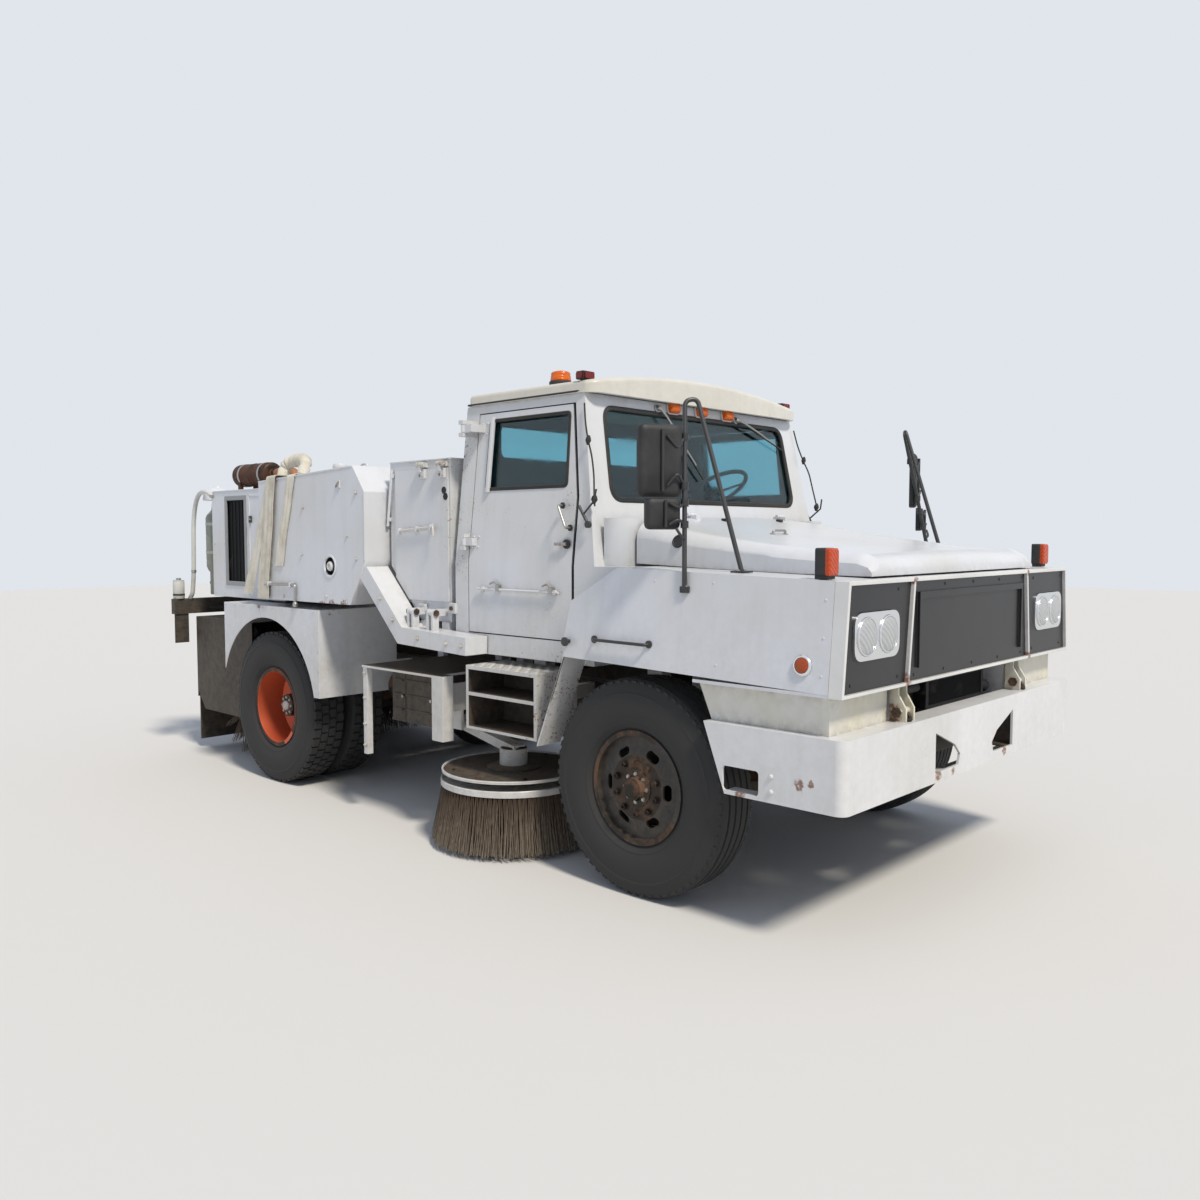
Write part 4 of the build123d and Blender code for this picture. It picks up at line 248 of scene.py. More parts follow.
@dataclass(frozen=True)
class Finish:
    """A surface finish; each kind below adds its own nodes."""

    name: str
    slot: str

    def nodes(self, wire: Wiring) -> bpy.types.Node:
        """Add the finish's nodes and return its shader."""
        raise NotImplementedError

    def material(self) -> bpy.types.Material:
        """Make the material on its first use.

        Returns:
            The material.
        """
        made = bpy.data.materials.get(self.name)
        if made:
            return made
        made = bpy.data.materials.new(self.name)
        made.use_nodes = True
        tree = made.node_tree
        tree.nodes.clear()
        put(tree, "ShaderNodeOutputMaterial", {"Surface": self.nodes(Wiring(tree)).outputs[0]})
        return made


@dataclass(frozen=True)
class Enamel(Finish):
    """Sprayed enamel on sheet steel: an even sheen broken by chalking, dust, runs and rust."""

    # the faint blue of this white is painted shade
    colour: str = "DBDEE4"
    chalk: str = "D2D3D2"
    dust: str = "A2998A"
    streak: str = "9A948A"
    # grime brown that the painted shade in corners darkens towards
    grime: str = "5E564B"
    rust_dark: str = "63371F"
    rust_light: str = "8F5C34"
    roughness: float = 0.34
    dust_low: float = 350.0
    dust_top: float = 1500.0
    dust_amount: float = 0.45
    streaks: float = 0.1
    # strength of the painted shade in corners, which also stands for dirt there
    crevice: float = 0.4
    rust: float = 0.12
    dents: float = 0.25
    coat: float = 0.25
    spots: tuple[tuple[float, float, float, float], ...] = ()  # place and radius of each rust stain

    def rusted(self, wire: Wiring, patch: Socket, speck: Socket) -> Socket:
        """Spread rust freckles about 8 mm across in patches, and the stains named in spots.

        Args:
            wire: The material's nodes.
            patch: Slow noise that gathers the freckles.
            speck: Fine noise that breaks a stain's edge.

        Returns:
            Share of rust.
        """
        freckle = wire.noise(60.0, 6.0, 0.7)
        start = 0.40 - 0.12 * self.rust
        rusty = wire.span(wire.calc("MULTIPLY", freckle, patch), start, start + 0.06)
        broken = wire.span(freckle, 0.36, 0.5)
        for x, y, z, radius in self.spots:
            reach = radius * MM
            away = put(wire.tree, "ShaderNodeVectorMath", {0: wire.where, 1: (x * MM, y * MM, z * MM)},
                       operation="DISTANCE").outputs["Value"]
            coarse = wire.calc("MULTIPLY_ADD", speck, -2.4 * reach, away)
            ragged = wire.calc("MULTIPLY_ADD", freckle, -1.2 * reach, coarse)
            stain = wire.span(ragged, -1.25 * reach, -0.95 * reach, 0.85, 0.0)
            rusty = wire.calc("MAXIMUM", rusty, wire.calc("MULTIPLY", stain, broken))
        return rusty

    def nodes(self, wire: Wiring) -> bpy.types.Node:
        """Layer chalk, runs, dust, painted shade with some dirt in corners, and rust over the paint.

        Args:
            wire: The material's nodes.

        Returns:
            The shader.
        """
        patch = wire.noise(1.4, 4.0)  # chalked patches about 700 mm across
        base = wire.blend(wire.span(patch, 0.36, 0.66), self.colour, self.chalk)
        speck = wire.noise(22.0, 8.0, 0.65)  # fine dirt about 30 mm across
        # rain runs: 60 mm wide and over a metre long
        tall = put(wire.tree, "ShaderNodeMapping", {"Vector": wire.where, "Scale": (17.0, 17.0, 0.7)}).outputs[0]
        runs = wire.span(wire.noise(1.0, 5.0, where=tall), 0.5, 0.78, 0.0, self.streaks)
        washed = wire.blend(runs, base, self.streak)
        # road dust, thickest low down
        cloud = wire.span(speck, 0.34, 0.7)
        low = wire.calc("MULTIPLY", wire.height(self.dust_low, self.dust_top, DUST_FREE), cloud)
        film = wire.calc("MULTIPLY", low, self.dust_amount, clamp=True)
        dusty = wire.blend(film, washed, self.dust)
        # painted shade in corners and creases: an occlusion mask darkens the paint towards a grime brown, partly
        # dirt and partly shade
        near = put(wire.tree, "ShaderNodeAmbientOcclusion", {"Distance": 0.07}, samples=4).outputs["AO"]
        corner = wire.calc("MULTIPLY", wire.span(near, 0.25, 0.9, self.crevice, 0.0), cloud)
        corner_dirt_and_shade = wire.blend(corner, dusty, self.grime)
        rusty = self.rusted(wire, patch, speck)
        colour = wire.blend(rusty, corner_dirt_and_shade, wire.blend(speck, self.rust_dark, self.rust_light))
        rough = wire.span(wire.calc("ADD", film, rusty, clamp=True), to_low=self.roughness, to_high=0.85)
        # slow dents 300 mm across, then orange peel and rust scale
        dented = wire.bump(wire.noise(3.2, 1.0), self.dents, 12.0)
        skin = wire.calc("MULTIPLY_ADD", rusty, 1.5, wire.noise(240.0, 2.0))
        return wire.surface(colour, rough, {"Normal": wire.bump(skin, 0.12, 1.2, dented), "IOR": 1.5,
                                            "Coat Weight": self.coat, "Coat Roughness": 0.22})


@dataclass(frozen=True)
class Rubber(Finish):
    """Moulded rubber: near black, greyed by age, with tan dust held in its grain."""

    colour: str = "18181B"
    dust: str = "7A7062"
    dust_top: float = 900.0
    amount: float = 0.42
    roughness: float = 0.7

    def nodes(self, wire: Wiring) -> bpy.types.Node:
        """Layer bloom and dust over the rubber.

        Args:
            wire: The material's nodes.

        Returns:
            The shader.
        """
        grain = wire.noise(30.0, 8.0, 0.7)
        film = wire.span(wire.calc("MULTIPLY", grain, wire.noise(3.0, 5.0)), 0.16, 0.42, 0.0, self.amount)
        film = wire.calc("MULTIPLY", film, wire.height(0.0, self.dust_top, 0.35))
        return wire.surface(wire.blend(film, self.colour, self.dust), self.roughness,
                            {"Normal": wire.bump(grain, 0.25, 2.0), "IOR": 1.52})


@dataclass(frozen=True)
class Metal(Finish):
    """Bare or cast metal: bright through a thin skin of oil, dust and broken rust."""

    colour: str = "8A8A88"
    rust: str = "6B3A1E"
    rust_light: str = "A5672F"
    share: float = 0.35
    roughness: float = 0.45

    def nodes(self, wire: Wiring) -> bpy.types.Node:
        """Blend bright metal with pitted rust.

        Args:
            wire: The material's nodes.

        Returns:
            The shader.
        """
        pit = wire.noise(40.0, 6.0, 0.7)
        start = 0.66 - 0.4 * self.share
        mask = wire.span(wire.noise(7.0, 9.0, 0.68), start, start + 0.12)
        colour = wire.blend(mask, self.colour, wire.blend(pit, self.rust, self.rust_light))
        return wire.surface(colour, wire.span(mask, to_low=self.roughness, to_high=0.9),
                            {"Metallic": wire.span(mask, to_low=0.9, to_high=0.0),
                             "Normal": wire.bump(pit, 0.3, 2.0)})


@dataclass(frozen=True)
class Plating(Finish):
    """Bright chrome or polished reflector: mirror-like, with a faint haze of dirt."""

    colour: str = "E4E6E8"
    roughness: float = 0.08

    def nodes(self, wire: Wiring) -> bpy.types.Node:
        """Vary the mirror's roughness by a light haze."""
        rough = wire.span(wire.noise(18.0, 6.0), to_low=self.roughness, to_high=self.roughness + 0.25)
        return wire.surface(self.colour, rough, {"Metallic": 1.0})


@dataclass(frozen=True)
class Glazing(Finish):
    """Tinted safety glass or a moulded lens: clear depth, a sharp highlight, and a film of dust."""

    colour: str = "9DB8BC"
    roughness: float = 0.03
    flutes: float = 0.0  # width of one flute of a lens
    film: float = 0.12
    through: float = 1.0

    def nodes(self, wire: Wiring) -> bpy.types.Node:
        """Add a clear shader with a dust film, and flutes where it is a lens.

        Args:
            wire: The material's nodes.

        Returns:
            The shader.
        """
        hazy = wire.span(wire.noise(9.0, 7.0), 0.4, 0.75, self.roughness, self.roughness + self.film)
        more = {"IOR": 1.45, "Transmission Weight": self.through}
        if self.flutes:
            more["Normal"] = wire.bump(wire.wave(self.flutes, "DIAGONAL"), 0.6, 3.0)
        return wire.surface(self.colour, hazy, more)


@dataclass(frozen=True)
class Plastic(Finish):
    """Moulded plastic or vinyl: low sheen over a fine pebbled grain."""

    colour: str = "1E1F21"
    worn: str = "3B3B3C"
    roughness: float = 0.5
    pebble: float = 2.2  # width of one grain

    def nodes(self, wire: Wiring) -> bpy.types.Node:
        """Put a grain under a faded, dusty tone.

        Args:
            wire: The material's nodes.

        Returns:
            The shader.
        """
        fade = wire.noise(5.0, 7.0)
        colour = wire.blend(wire.span(fade, 0.42, 0.72), self.colour, self.worn)
        grain = put(wire.tree, "ShaderNodeTexVoronoi", {"Vector": wire.where, "Scale": 1000.0 / self.pebble})
        return wire.surface(colour, wire.span(fade, to_low=self.roughness - 0.1, to_high=self.roughness + 0.2),
                            {"Normal": wire.bump(grain.outputs["Distance"], 0.25, 0.8), "IOR": 1.46})


@dataclass(frozen=True)
class Fibre(Finish):
    """Broom fibre: matt strands, dark at the root and greyed by dust at the tip."""

    colour: str = "4A3B2E"
    tip: str = "8C8172"

    def nodes(self, wire: Wiring) -> bpy.types.Node:
        """Set the tone by height and by strand.

        Args:
            wire: The material's nodes.

        Returns:
            The shader.
        """
        strand = wire.calc("MULTIPLY", wire.height(20.0, 330.0, 0.1176), wire.noise(45.0, 4.0, 0.6))
        grey = wire.span(strand, 0.0588, 0.647)
        return wire.surface(wire.blend(grey, self.colour, self.tip), 0.8, {"IOR": 1.45})


@dataclass(frozen=True)
class Canvas(Finish):
    """Woven flat hose: a plain weave of off-white yarn, yellowed and grubby at its folds."""

    colour: str = "E0DBCD"
    soil: str = "A89E86"
    yarn: float = 5.0  # real yarn is 1.5 mm; drawn at 5 so that it shows

    def nodes(self, wire: Wiring) -> bpy.types.Node:
        """Cross two waves for the weave, over soiled patches.

        Args:
            wire: The material's nodes.

        Returns:
            The shader.
        """
        dirty = wire.span(wire.noise(6.0, 8.0, 0.65), 0.42, 0.75, 0.0, 0.8)
        weave = wire.calc("ADD", wire.wave(self.yarn, "Y"), wire.wave(self.yarn, "Z"))
        return wire.surface(wire.blend(dirty, self.colour, self.soil), 0.9,
                            {"Normal": wire.bump(weave, 0.35, 1.5), "Sheen Weight": 0.2})


class Coat:
    """The vehicle's finishes."""

    # body paint, streaked with rust where the hopper's hinge and the tanks' seams weep; its faint blue is painted
    # shade, the sky's tint on the shaded sides
    WHITE = Enamel("white_enamel", "white_paint",
                   spots=((-1200, 450, 1262, 52), (-1200, 590, 1262, 46), (-1200, 700, 1262, 40),
                          (-1150, 560, 1226, 90), (-1090, 690, 1226, 70), (-1196, 1500, 1226, 40)))
    # lighter, warmer white round the grille as painted sunlight on the front faces; less dusty, and rusty where its
    # bars are welded
    NOSE = Enamel("nose_enamel", "white_paint", colour="E4E4E2", rust=0.08, dust_amount=0.3,
                  spots=((-668, -3036, 1078, 44), (-626, -3036, 1514, 24), (626, -3036, 1514, 20),
                         (668, -3036, 1078, 30)))
    # bumper paint with chipped, rusting edges at its cut-outs; its lighter white is painted sunlight on the front
    BUMPER = Enamel("bumper_enamel", "white_paint", colour="E1E2E4", rust=0.14, dust_amount=0.22,
                    spots=((-1222, -2560, 616, 34), (-1222, -2850, 700, 30), (-1222, -2900, 715, 20),
                           (-400, -3050, 640, 34), (330, -3050, 640, 30), (-250, -3050, 630, 22)))
    # yellowed paint in the recess above the bumper, with strong painted shade in its corners
    SILL = Enamel("sill_enamel", "white_paint", colour="DEDDD6", chalk="D9D3B8", rust=0.2, crevice=0.75,
                  dust_amount=0.3, spots=((-668, -2952, 930, 60), (668, -2952, 930, 50)))
    # scuffed paint of steps, decks and broom arms
    WORK = Enamel("work_enamel", "white_paint", colour="D9DADA", chalk="C9C8C3", rust=0.2,
                  dust_amount=0.45, crevice=0.6, streaks=0.15)
    # cream moulded roof, duller than the paint below it
    ROOF = Enamel("roof_gelcoat", "cream_roof", colour="DBD9D0", chalk="CFCBBE", roughness=0.42, rust=0.0,
                  dust_top=3000.0, dust_low=2300.0, dust_amount=0.2, streaks=0.12, dents=0.1)
    # satin black of the grille's panels
    GRILLE = Enamel("satin_black", "black_paint", colour="0E0F12", chalk="17181B", dust="5A554C",
                    streak="26262A", roughness=0.36, dust_amount=0.12, rust=0.0, crevice=0.0, coat=0.1)
    # greyed black tube of the mirror loops
    LOOP = Enamel("loop_black", "black_paint", colour="202123", chalk="323335", dust="6E675C",
                  streak="3A3835", roughness=0.45, dust_amount=0.2, rust=0.05, crevice=0.0, dents=0.0)
    # chassis black under brown road dirt
    CHASSIS = Enamel("chassis_black", "chassis_paint", colour="2A2826", chalk="3A3632", dust="7B6B57",
                     streak="4A433A", roughness=0.6, dust_low=300.0, dust_top=2400.0, dust_amount=0.5,
                     rust=0.35, crevice=0.3, coat=0.0)
    # dusty black front rims
    FRONT_RIM = Enamel("black_rim", "black_paint", colour="232426", chalk="35322F", dust="7C6C58",
                       streak="3A332E", roughness=0.55, dust_low=0.0, dust_top=1400.0, dust_amount=0.42,
                       rust=0.03, crevice=0.2, coat=0.0)
    # faded orange-red of the rear rims
    REAR_RIM = Enamel("red_rim", "red_rim", colour="B8401F", chalk="9C3A20", dust="8E6A4E",
                      streak="6E3A24", roughness=0.5, dust_low=0.0, dust_top=1500.0, dust_amount=0.5,
                      rust=0.4, crevice=0.6, coat=0.1)
    # painted bolts and rods, worn through to rust
    FITTING = Enamel("fitting_enamel", "white_paint", colour="D5D5D2", chalk="C4C0B6", rust=0.55,
                     dust_amount=0.5, crevice=0.9, streaks=0.1, dents=0.0)
    # grey frames of the engine's coolers
    FRAME = Enamel("frame_grey", "white_paint", colour="8F9294", chalk="85878A", rust=0.15, crevice=0.6)
    # grey-green canister of the air cleaner
    CANISTER = Enamel("canister_green", "white_paint", colour="7C8478", chalk="8A9084", dust="6E675C",
                      streak="5E6259", roughness=0.45, dust_top=2600.0, dust_amount=0.4, rust=0.2, crevice=0.5)
    # brown-black cast hubs and nuts
    HUB = Metal("rusty_hub", "iron", colour="403B37", rust="44342A", rust_light="775A42", share=0.45,
                roughness=0.5)
    # oily axles and motors
    IRON = Metal("oily_iron", "iron", colour="3A3733", rust="4A3222", rust_light="6E4D33", share=0.5,
                 roughness=0.55)
    # dull cast engine
    ENGINE = Metal("engine_iron", "iron", colour="35332F", rust="3D3028", rust_light="58463A", share=0.35,
                   roughness=0.6)
    # bare fittings and bright bolts
    STEEL = Metal("worn_steel", "steel", colour="A8A8A4", share=0.22, roughness=0.38)
    # muffler burnt brown
    MUFFLER = Metal("burnt_steel", "rust", colour="3A302B", rust="33241D", rust_light="643D28", share=0.7)
    # exhaust pipe tinted copper by heat
    COPPER = Metal("heat_tinted_pipe", "rust", colour="A9785A", rust="7D5238", rust_light="B58462", share=0.5,
                   roughness=0.5)
    # dark fins of the coolers
    CORE = Metal("radiator_core", "iron", colour="26272A", rust="2E2B28", rust_light="4A443C", share=0.2,
                 roughness=0.6)
    # lamp bezels, silvered bowls and mirror glass
    CHROME = Plating("chrome_plate", "steel")
    REFLECTOR = Plating("lamp_reflector", "lamp_glass", colour="F0F2F4", roughness=0.05)
    MIRROR = Plating("mirror_glass", "glass", colour="DDE2E6", roughness=0.02)
    # blue-green cab glass, and lenses that glow in the sun
    GLASS = Glazing("tinted_glass", "glass", colour="A2D2DC")
    CLEAR = Glazing("clear_lens", "lamp_glass", colour="F0F4F6", flutes=14.0, film=0.05, through=0.5)
    AMBER = Glazing("amber_lens", "lamp_glass", colour="FF7A14", flutes=9.0, roughness=0.2, through=0.45)
    ORANGE = Glazing("orange_lens", "lamp_glass", colour="DE5320", flutes=11.0, roughness=0.2, through=0.3)
    MARKER = Glazing("marker_lens", "lamp_glass", colour="B8501F", flutes=9.0, roughness=0.25, through=0.2)
    RED = Glazing("red_lens", "lamp_glass", colour="8E1712", flutes=9.0, roughness=0.2, through=0.4)
    # dusty tyres, and the deeper black of seals and hoses
    TYRE = Rubber("tyre_rubber", "tyre_rubber")
    SEAL = Rubber("seal_rubber", "soft_black", colour="1E1F20", amount=0.2, dust_top=4000.0)
    # mirror backs and lamp bodies, cab lining, seat covers and washer bottles
    MOULDED = Plastic("moulded_black", "soft_black")
    TRIM = Plastic("cab_trim", "soft_black", colour="55585C", worn="6C6E70", roughness=0.6)
    VINYL = Plastic("seat_vinyl", "vinyl", colour="26272B", worn="404146", roughness=0.42, pebble=3.0)
    JUG = Plastic("white_bottle", "white_paint", colour="D2D3CF", worn="B9B8B0", roughness=0.45)
    # broom bristles, and the flat hose's canvas
    BRISTLE = Fibre("broom_fibre", "bristle")
    CANVAS = Canvas("hose_canvas", "canvas")


# Mesh making


def curve(before: Vector, here: Vector, after: Vector, cut: float, steps: int) -> list[Vector]:
    """Round one corner of a line.

    Args:
        before: Point before the corner.
        here: The corner.
        after: Point after it.
        cut: Length that the curve takes from each side, if the side is long enough.
        steps: Parts of the curve.

    Returns:
        Points of the curve.
    """
    back, ahead = before - here, after - here
    cut = min(cut, back.length * 0.49, ahead.length * 0.49)
    start, end = here + back.normalized() * cut, here + ahead.normalized() * cut
    shares = [k / steps for k in range(steps + 1)]
    return [start * (1 - t) ** 2 + here * (2 * t * (1 - t)) + end * t * t for t in shares]


def rounded(corners: Sequence[Flat], radius: float, steps: int = 6) -> list[Flat]:
    """Round the corners of a closed flat outline.

    Args:
        corners: Corner points.
        radius: Corner radius.
        steps: Parts of each corner's curve.

    Returns:
        Points of the rounded outline.
    """
    found: list[Flat] = []
    for i, corner in enumerate(corners):
        before, here, after = (Vector(p) for p in (corners[i - 1], corner, corners[(i + 1) % len(corners)]))
        half = (before - here).angle(after - here) / 2
        found += [(p.x, p.y) for p in curve(before, here, after, radius / math.tan(half), steps)]
    return found


def bent(corners: Sequence, radius: float, steps: int = 6) -> list[Vector]:
    """Round the corners of an open line in space, for a bent tube.

    Args:
        corners: Corner points and the two ends.
        radius: Length that each bend takes from the runs beside it.
        steps: Parts of each bend.

    Returns:
        Points of the line.
    """
    points = [Vector(p) for p in corners]
    bends = [curve(*three, radius, steps) for three in zip(points, points[1:], points[2:])]
    return [points[0], *(p for bend in bends for p in bend), points[-1]]


def rectangle(wide: float, tall: float, centre: Flat = (0.0, 0.0)) -> list[Flat]:
    """Give the corners of a rectangle.

    Args:
        wide: Size along the first direction.
        tall: Size along the second.
        centre: Its middle.

    Returns:
        The four corners.
    """
    corners = ((-1, -1), (1, -1), (1, 1), (-1, 1))
    return [(centre[0] + u * wide / 2, centre[1] + v * tall / 2) for u, v in corners]


def turns(count: int, start: float = 0.0) -> list[float]:
    """Give evenly spaced angles of a full turn, in radians, offset by a share of a step."""
    return [2 * math.pi * (k + start) / count for k in range(count)]


def plug(radius: float, high: float, low: float = 0.0) -> list[Flat]:
    """Section of a solid cylinder, for Form.turned."""
    return [(low, 0), (low, radius), (high, radius), (high, 0)]


def band(inner: float, outer: float, high: float, low: float = 0.0) -> list[Flat]:
    """Section of a hollow cylinder, for Form.turned with a loop."""
    return [(low, inner), (low, outer), (high, outer), (high, inner)]


def neighbours(points: Sequence[Vector], loop: bool) -> Iterable[tuple[Vector, Vector, Vector]]:
    """Give each point of a path between the points beside it.

    Args:
        points: The path.
        loop: Whether it closes on itself; the end of an open path stands in for its missing neighbour.

    Yields:
        The point before, the point and the point after.
    """
    last = len(points) - 1
    for i, here in enumerate(points):
        before = points[i - 1] if i or loop else here
        after = points[(i + 1) % len(points)] if i < last or loop else here
        yield before, here, after


class Form:
    """Collects the closed shells of one piece, in millimetres, and makes it an object."""

    def __init__(self) -> None:
        """Start with no shell."""
        self.points: list[Vector] = []
        self.faces: list[tuple[int, ...]] = []
        self.marks: list[int] = []

    def skin(self, rings: Sequence[Sequence], mark: int = 0, loop: bool = False) -> None:
        """Join rings of points into one shell, and close its ends with a face.

        Args:
            rings: Rings of equal length; a ring of one point is a pole.
            mark: Number of the finish.
            loop: Whether the last ring joins the first, so that there is no end.
        """
        starts = []
        first_face = len(self.faces)
        for points in rings:
            starts.append((len(self.points), len(points)))
            self.points.extend(Vector(p) for p in points)
        pairs = list(zip(starts, starts[1:])) + ([(starts[-1], starts[0])] if loop else [])
        for (a, count_a), (b, count_b) in pairs:
            count = max(count_a, count_b)
            for i in range(count):
                j = (i + 1) % count
                if count_a == 1:
                    self.faces.append((a, b + i, b + j))
                elif count_b == 1:
                    self.faces.append((a + i, b, a + j))
                else:
                    self.faces.append((a + i, b + i, b + j, a + j))
        for start, count in () if loop else (starts[0], starts[-1]):
            if count > 2:
                self.faces.append(tuple(range(start, start + count)))
        self.marks += [mark] * (len(self.faces) - first_face)

    def box(self, xs: Flat, ys: Flat, zs: Flat, mark: int = 0) -> None:
        """Add a box by its two sides along each axis, in any order.

        Args:
            xs: Sides along X.
            ys: Sides along Y.
            zs: Sides along Z.
            mark: Number of the finish.
        """
        (left, right), (front, back) = sorted(xs), sorted(ys)
        corners = ((left, front), (right, front), (right, back), (left, back))
        self.skin([[(x, y, z) for x, y in corners] for z in sorted(zs)], mark)

    def prism(self, outline: Sequence[Flat], low: float, high: float, axis: Axis, mark: int = 0,
              holes: Sequence[Sequence[Flat]] = ()) -> None:
        """Add a straight-sided solid, with holes through it if given.

        Args:
            outline: Corners in the plane across the axis, in the order of the two other axes.
            low: Low end along the axis.
            high: High end along the axis.
            axis: Direction of the solid.
            mark: Number of the finish.
            holes: Outlines of holes.
        """
        if not holes:
            self.skin([[axis.point(depth, *p) for p in outline] for depth in (low, high)], mark)
            return
        loops = [list(outline), *(list(hole) for hole in holes)]
        flat = [p for ring_ in loops for p in ring_]
        fill = tessellate_polygon([[Vector((u, v, 0.0)) for u, v in ring_] for ring_ in loops])
        base, count, first_face = len(self.points), len(flat), len(self.faces)
        for depth in (low, high):
            self.points.extend(axis.point(depth, *p) for p in flat)
        for triangle in fill:
            self.faces.append(tuple(base + i for i in triangle))
            self.faces.append(tuple(base + count + i for i in reversed(triangle)))
        at = base
        for ring_ in loops:
            for i in range(len(ring_)):
                j = (i + 1) % len(ring_)
                self.faces.append((at + i, at + j, at + count + j, at + count + i))
            at += len(ring_)
        self.marks += [mark] * (len(self.faces) - first_face)

    def turned(self, centre: Sequence[float], axis: Axis, profile: Sequence[Flat], steps: int = 64, mark: int = 0,
               loop: bool = False) -> None:
        """Add a turned shell.

        Args:
            centre: Point on the axis.
            axis: Axis that it turns about.
            profile: Distance along the axis and radius of each point; a radius of 0 is a pole.
            steps: Points round the axis.
            mark: Number of the finish.
            loop: Whether the section closes on itself.
        """
        rings = []
        for along, radius in profile:
            middle = Vector(centre) + axis.point(along, 0, 0)
            rings.append([middle + axis.spoke(turn) * radius for turn in (turns(steps) if radius > 0 else [0.0])])
        self.skin(rings, mark, loop)

    def tube(self, path: Sequence, radius: float | Sequence[float], sides: int = 12, mark: int = 0,
             loop: bool = False) -> None:
        """Add a round tube along a path.

        Args:
            path: Points of the path.
            radius: Its radius, or one for each point.
            sides: Points round it.
            mark: Number of the finish.
            loop: Whether the path closes on itself.
        """
        radii = [radius] * len(path) if isinstance(radius, (int, float)) else radius
        rings = []
        across = None
        for reach, (before, here, after) in zip(radii, neighbours([Vector(p) for p in path], loop)):
            way = (after - before).normalized()
            across = across or way.orthogonal().normalized()
            across = (across - way * across.dot(way)).normalized()
            other = way.cross(across)
            rings.append([here + (across * math.cos(turn) + other * math.sin(turn)) * reach
                          for turn in turns(sides)])
        self.skin(rings, mark, loop)

    def strip(self, path: Sequence, section: Sequence[Flat], out: Sequence[float], mark: int = 0,
              loop: bool = False) -> None:
        """Run a section along a path that lies on a surface.

        Args:
            path: Points of the path.
            section: (sideways, outwards) points of the section.
            out: Outward direction.
            mark: Number of the finish.
            loop: Whether the path closes on itself.
        """
        up = Vector(out).normalized()
        rings = []
        for before, here, after in neighbours([Vector(p) for p in path], loop):
            first = ((here - before) if before != here else (after - here)).normalized()
            second = (after - here).normalized() if after != here else first
            way = (first + second).normalized()
            side = up.cross(way).normalized()
            reach = 1.0 / max(way.dot(first), 0.4)  # keeps the width round a corner
            rings.append([here + side * (u * reach) + up * v for u, v in section])
        self.skin(rings, mark, loop)

    def join(self, other: "Form", place: Matrix, mark: int = 0) -> None:
        """Add another form, moved to its place.

        Args:
            other: The form.
            place: Where its origin goes.
            mark: Number that its marks are raised by.
        """
        base = len(self.points)
        self.points += [place @ p for p in other.points]
        self.faces += [tuple(base + i for i in face) for face in other.faces]
        self.marks += [m + mark for m in other.marks]

    def mirrored(self) -> "Form":
        """Add the mirror image on the vehicle's other side, and return the whole."""
        self.join(self, MIRROR)
        return self

    def on(self, side: Side) -> "Form":
        """Give a copy for one side of a form that was drawn on the right.

        Args:
            side: Side of the vehicle.

        Returns:
            The copy.
        """
        copy = Form()
        copy.join(self, MIRROR if side is Side.LEFT else Matrix.Identity(4))
        return copy

    def made(self, name: str, body: str, finishes: Sequence[Finish], bevel: float = 0.0,
             smooth: float = SHARP_ABOVE) -> Piece:
        """Make the object, finish it and let it ride its body.

        Args:
            name: Name of the piece.
            body: Body that it rides.
            finishes: Finishes, in the order of the faces' marks.
            bevel: Width of the rounded edges.
            smooth: Angle in degrees above which an edge stays sharp.

        Returns:
            The finished piece.
        """
        mesh = bpy.data.meshes.new(name)
        mesh.from_pydata([p * MM for p in self.points], [], self.faces)
        mesh.polygons.foreach_set("material_index", self.marks)
        return finished(mesh, name, body, finishes, bevel, smooth)


def finished(mesh: bpy.types.Mesh, name: str, body: str, finishes: Sequence[Finish], bevel: float = 0.0,
             smooth: float = SHARP_ABOVE, turn_out: bool = True) -> Piece:
    """Turn a mesh into a finished piece that rides a body.

    Args:
        mesh: The mesh, in metres and in place.
        name: Name of the piece.
        body: Body that it rides.
        finishes: Finishes, in the order of the faces' marks.
        bevel: Width of the rounded edges, in millimetres.
        smooth: Angle in degrees above which an edge stays sharp, if edges aren't rounded.
        turn_out: Whether faces are turned outwards first.

    Returns:
        The piece.
    """
    if turn_out:
        work = bmesh.new()
        work.from_mesh(mesh)
        bmesh.ops.recalc_face_normals(work, faces=work.faces)
        work.to_mesh(mesh)
        work.free()
    mesh.shade_smooth()
    piece = bpy.data.objects.new(name, mesh)
    bpy.context.scene.collection.objects.link(piece)
    for finish in finishes:
        mesh.materials.append(finish.material())
    if bevel:
        edge = piece.modifiers.new("Edges", "BEVEL")
        edge.width = bevel * MM
        edge.segments = ROUNDING_FACES
        edge.limit_method = "ANGLE"
        edge.angle_limit = math.radians(ROUNDED_ABOVE)
        edge.use_clamp_overlap = True
        piece.modifiers.new("Shading", "WEIGHTED_NORMAL").weight = 60
    else:
        mesh.set_sharp_from_angle(angle=math.radians(smooth))
    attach(piece, body)
    return piece


# Small forms set out in rows


def facing(points: Iterable[Sequence[float]], way: Point, across: Point) -> list[Place]:
    """Give places that all face one way.

    Args:
        points: Where they are.
        way: Direction that each one faces.
        across: Direction across it.

    Returns:
        Point, facing direction and the direction across it, for each place.
    """
    return [(Vector(p), Vector(way), Vector(across)) for p in points]


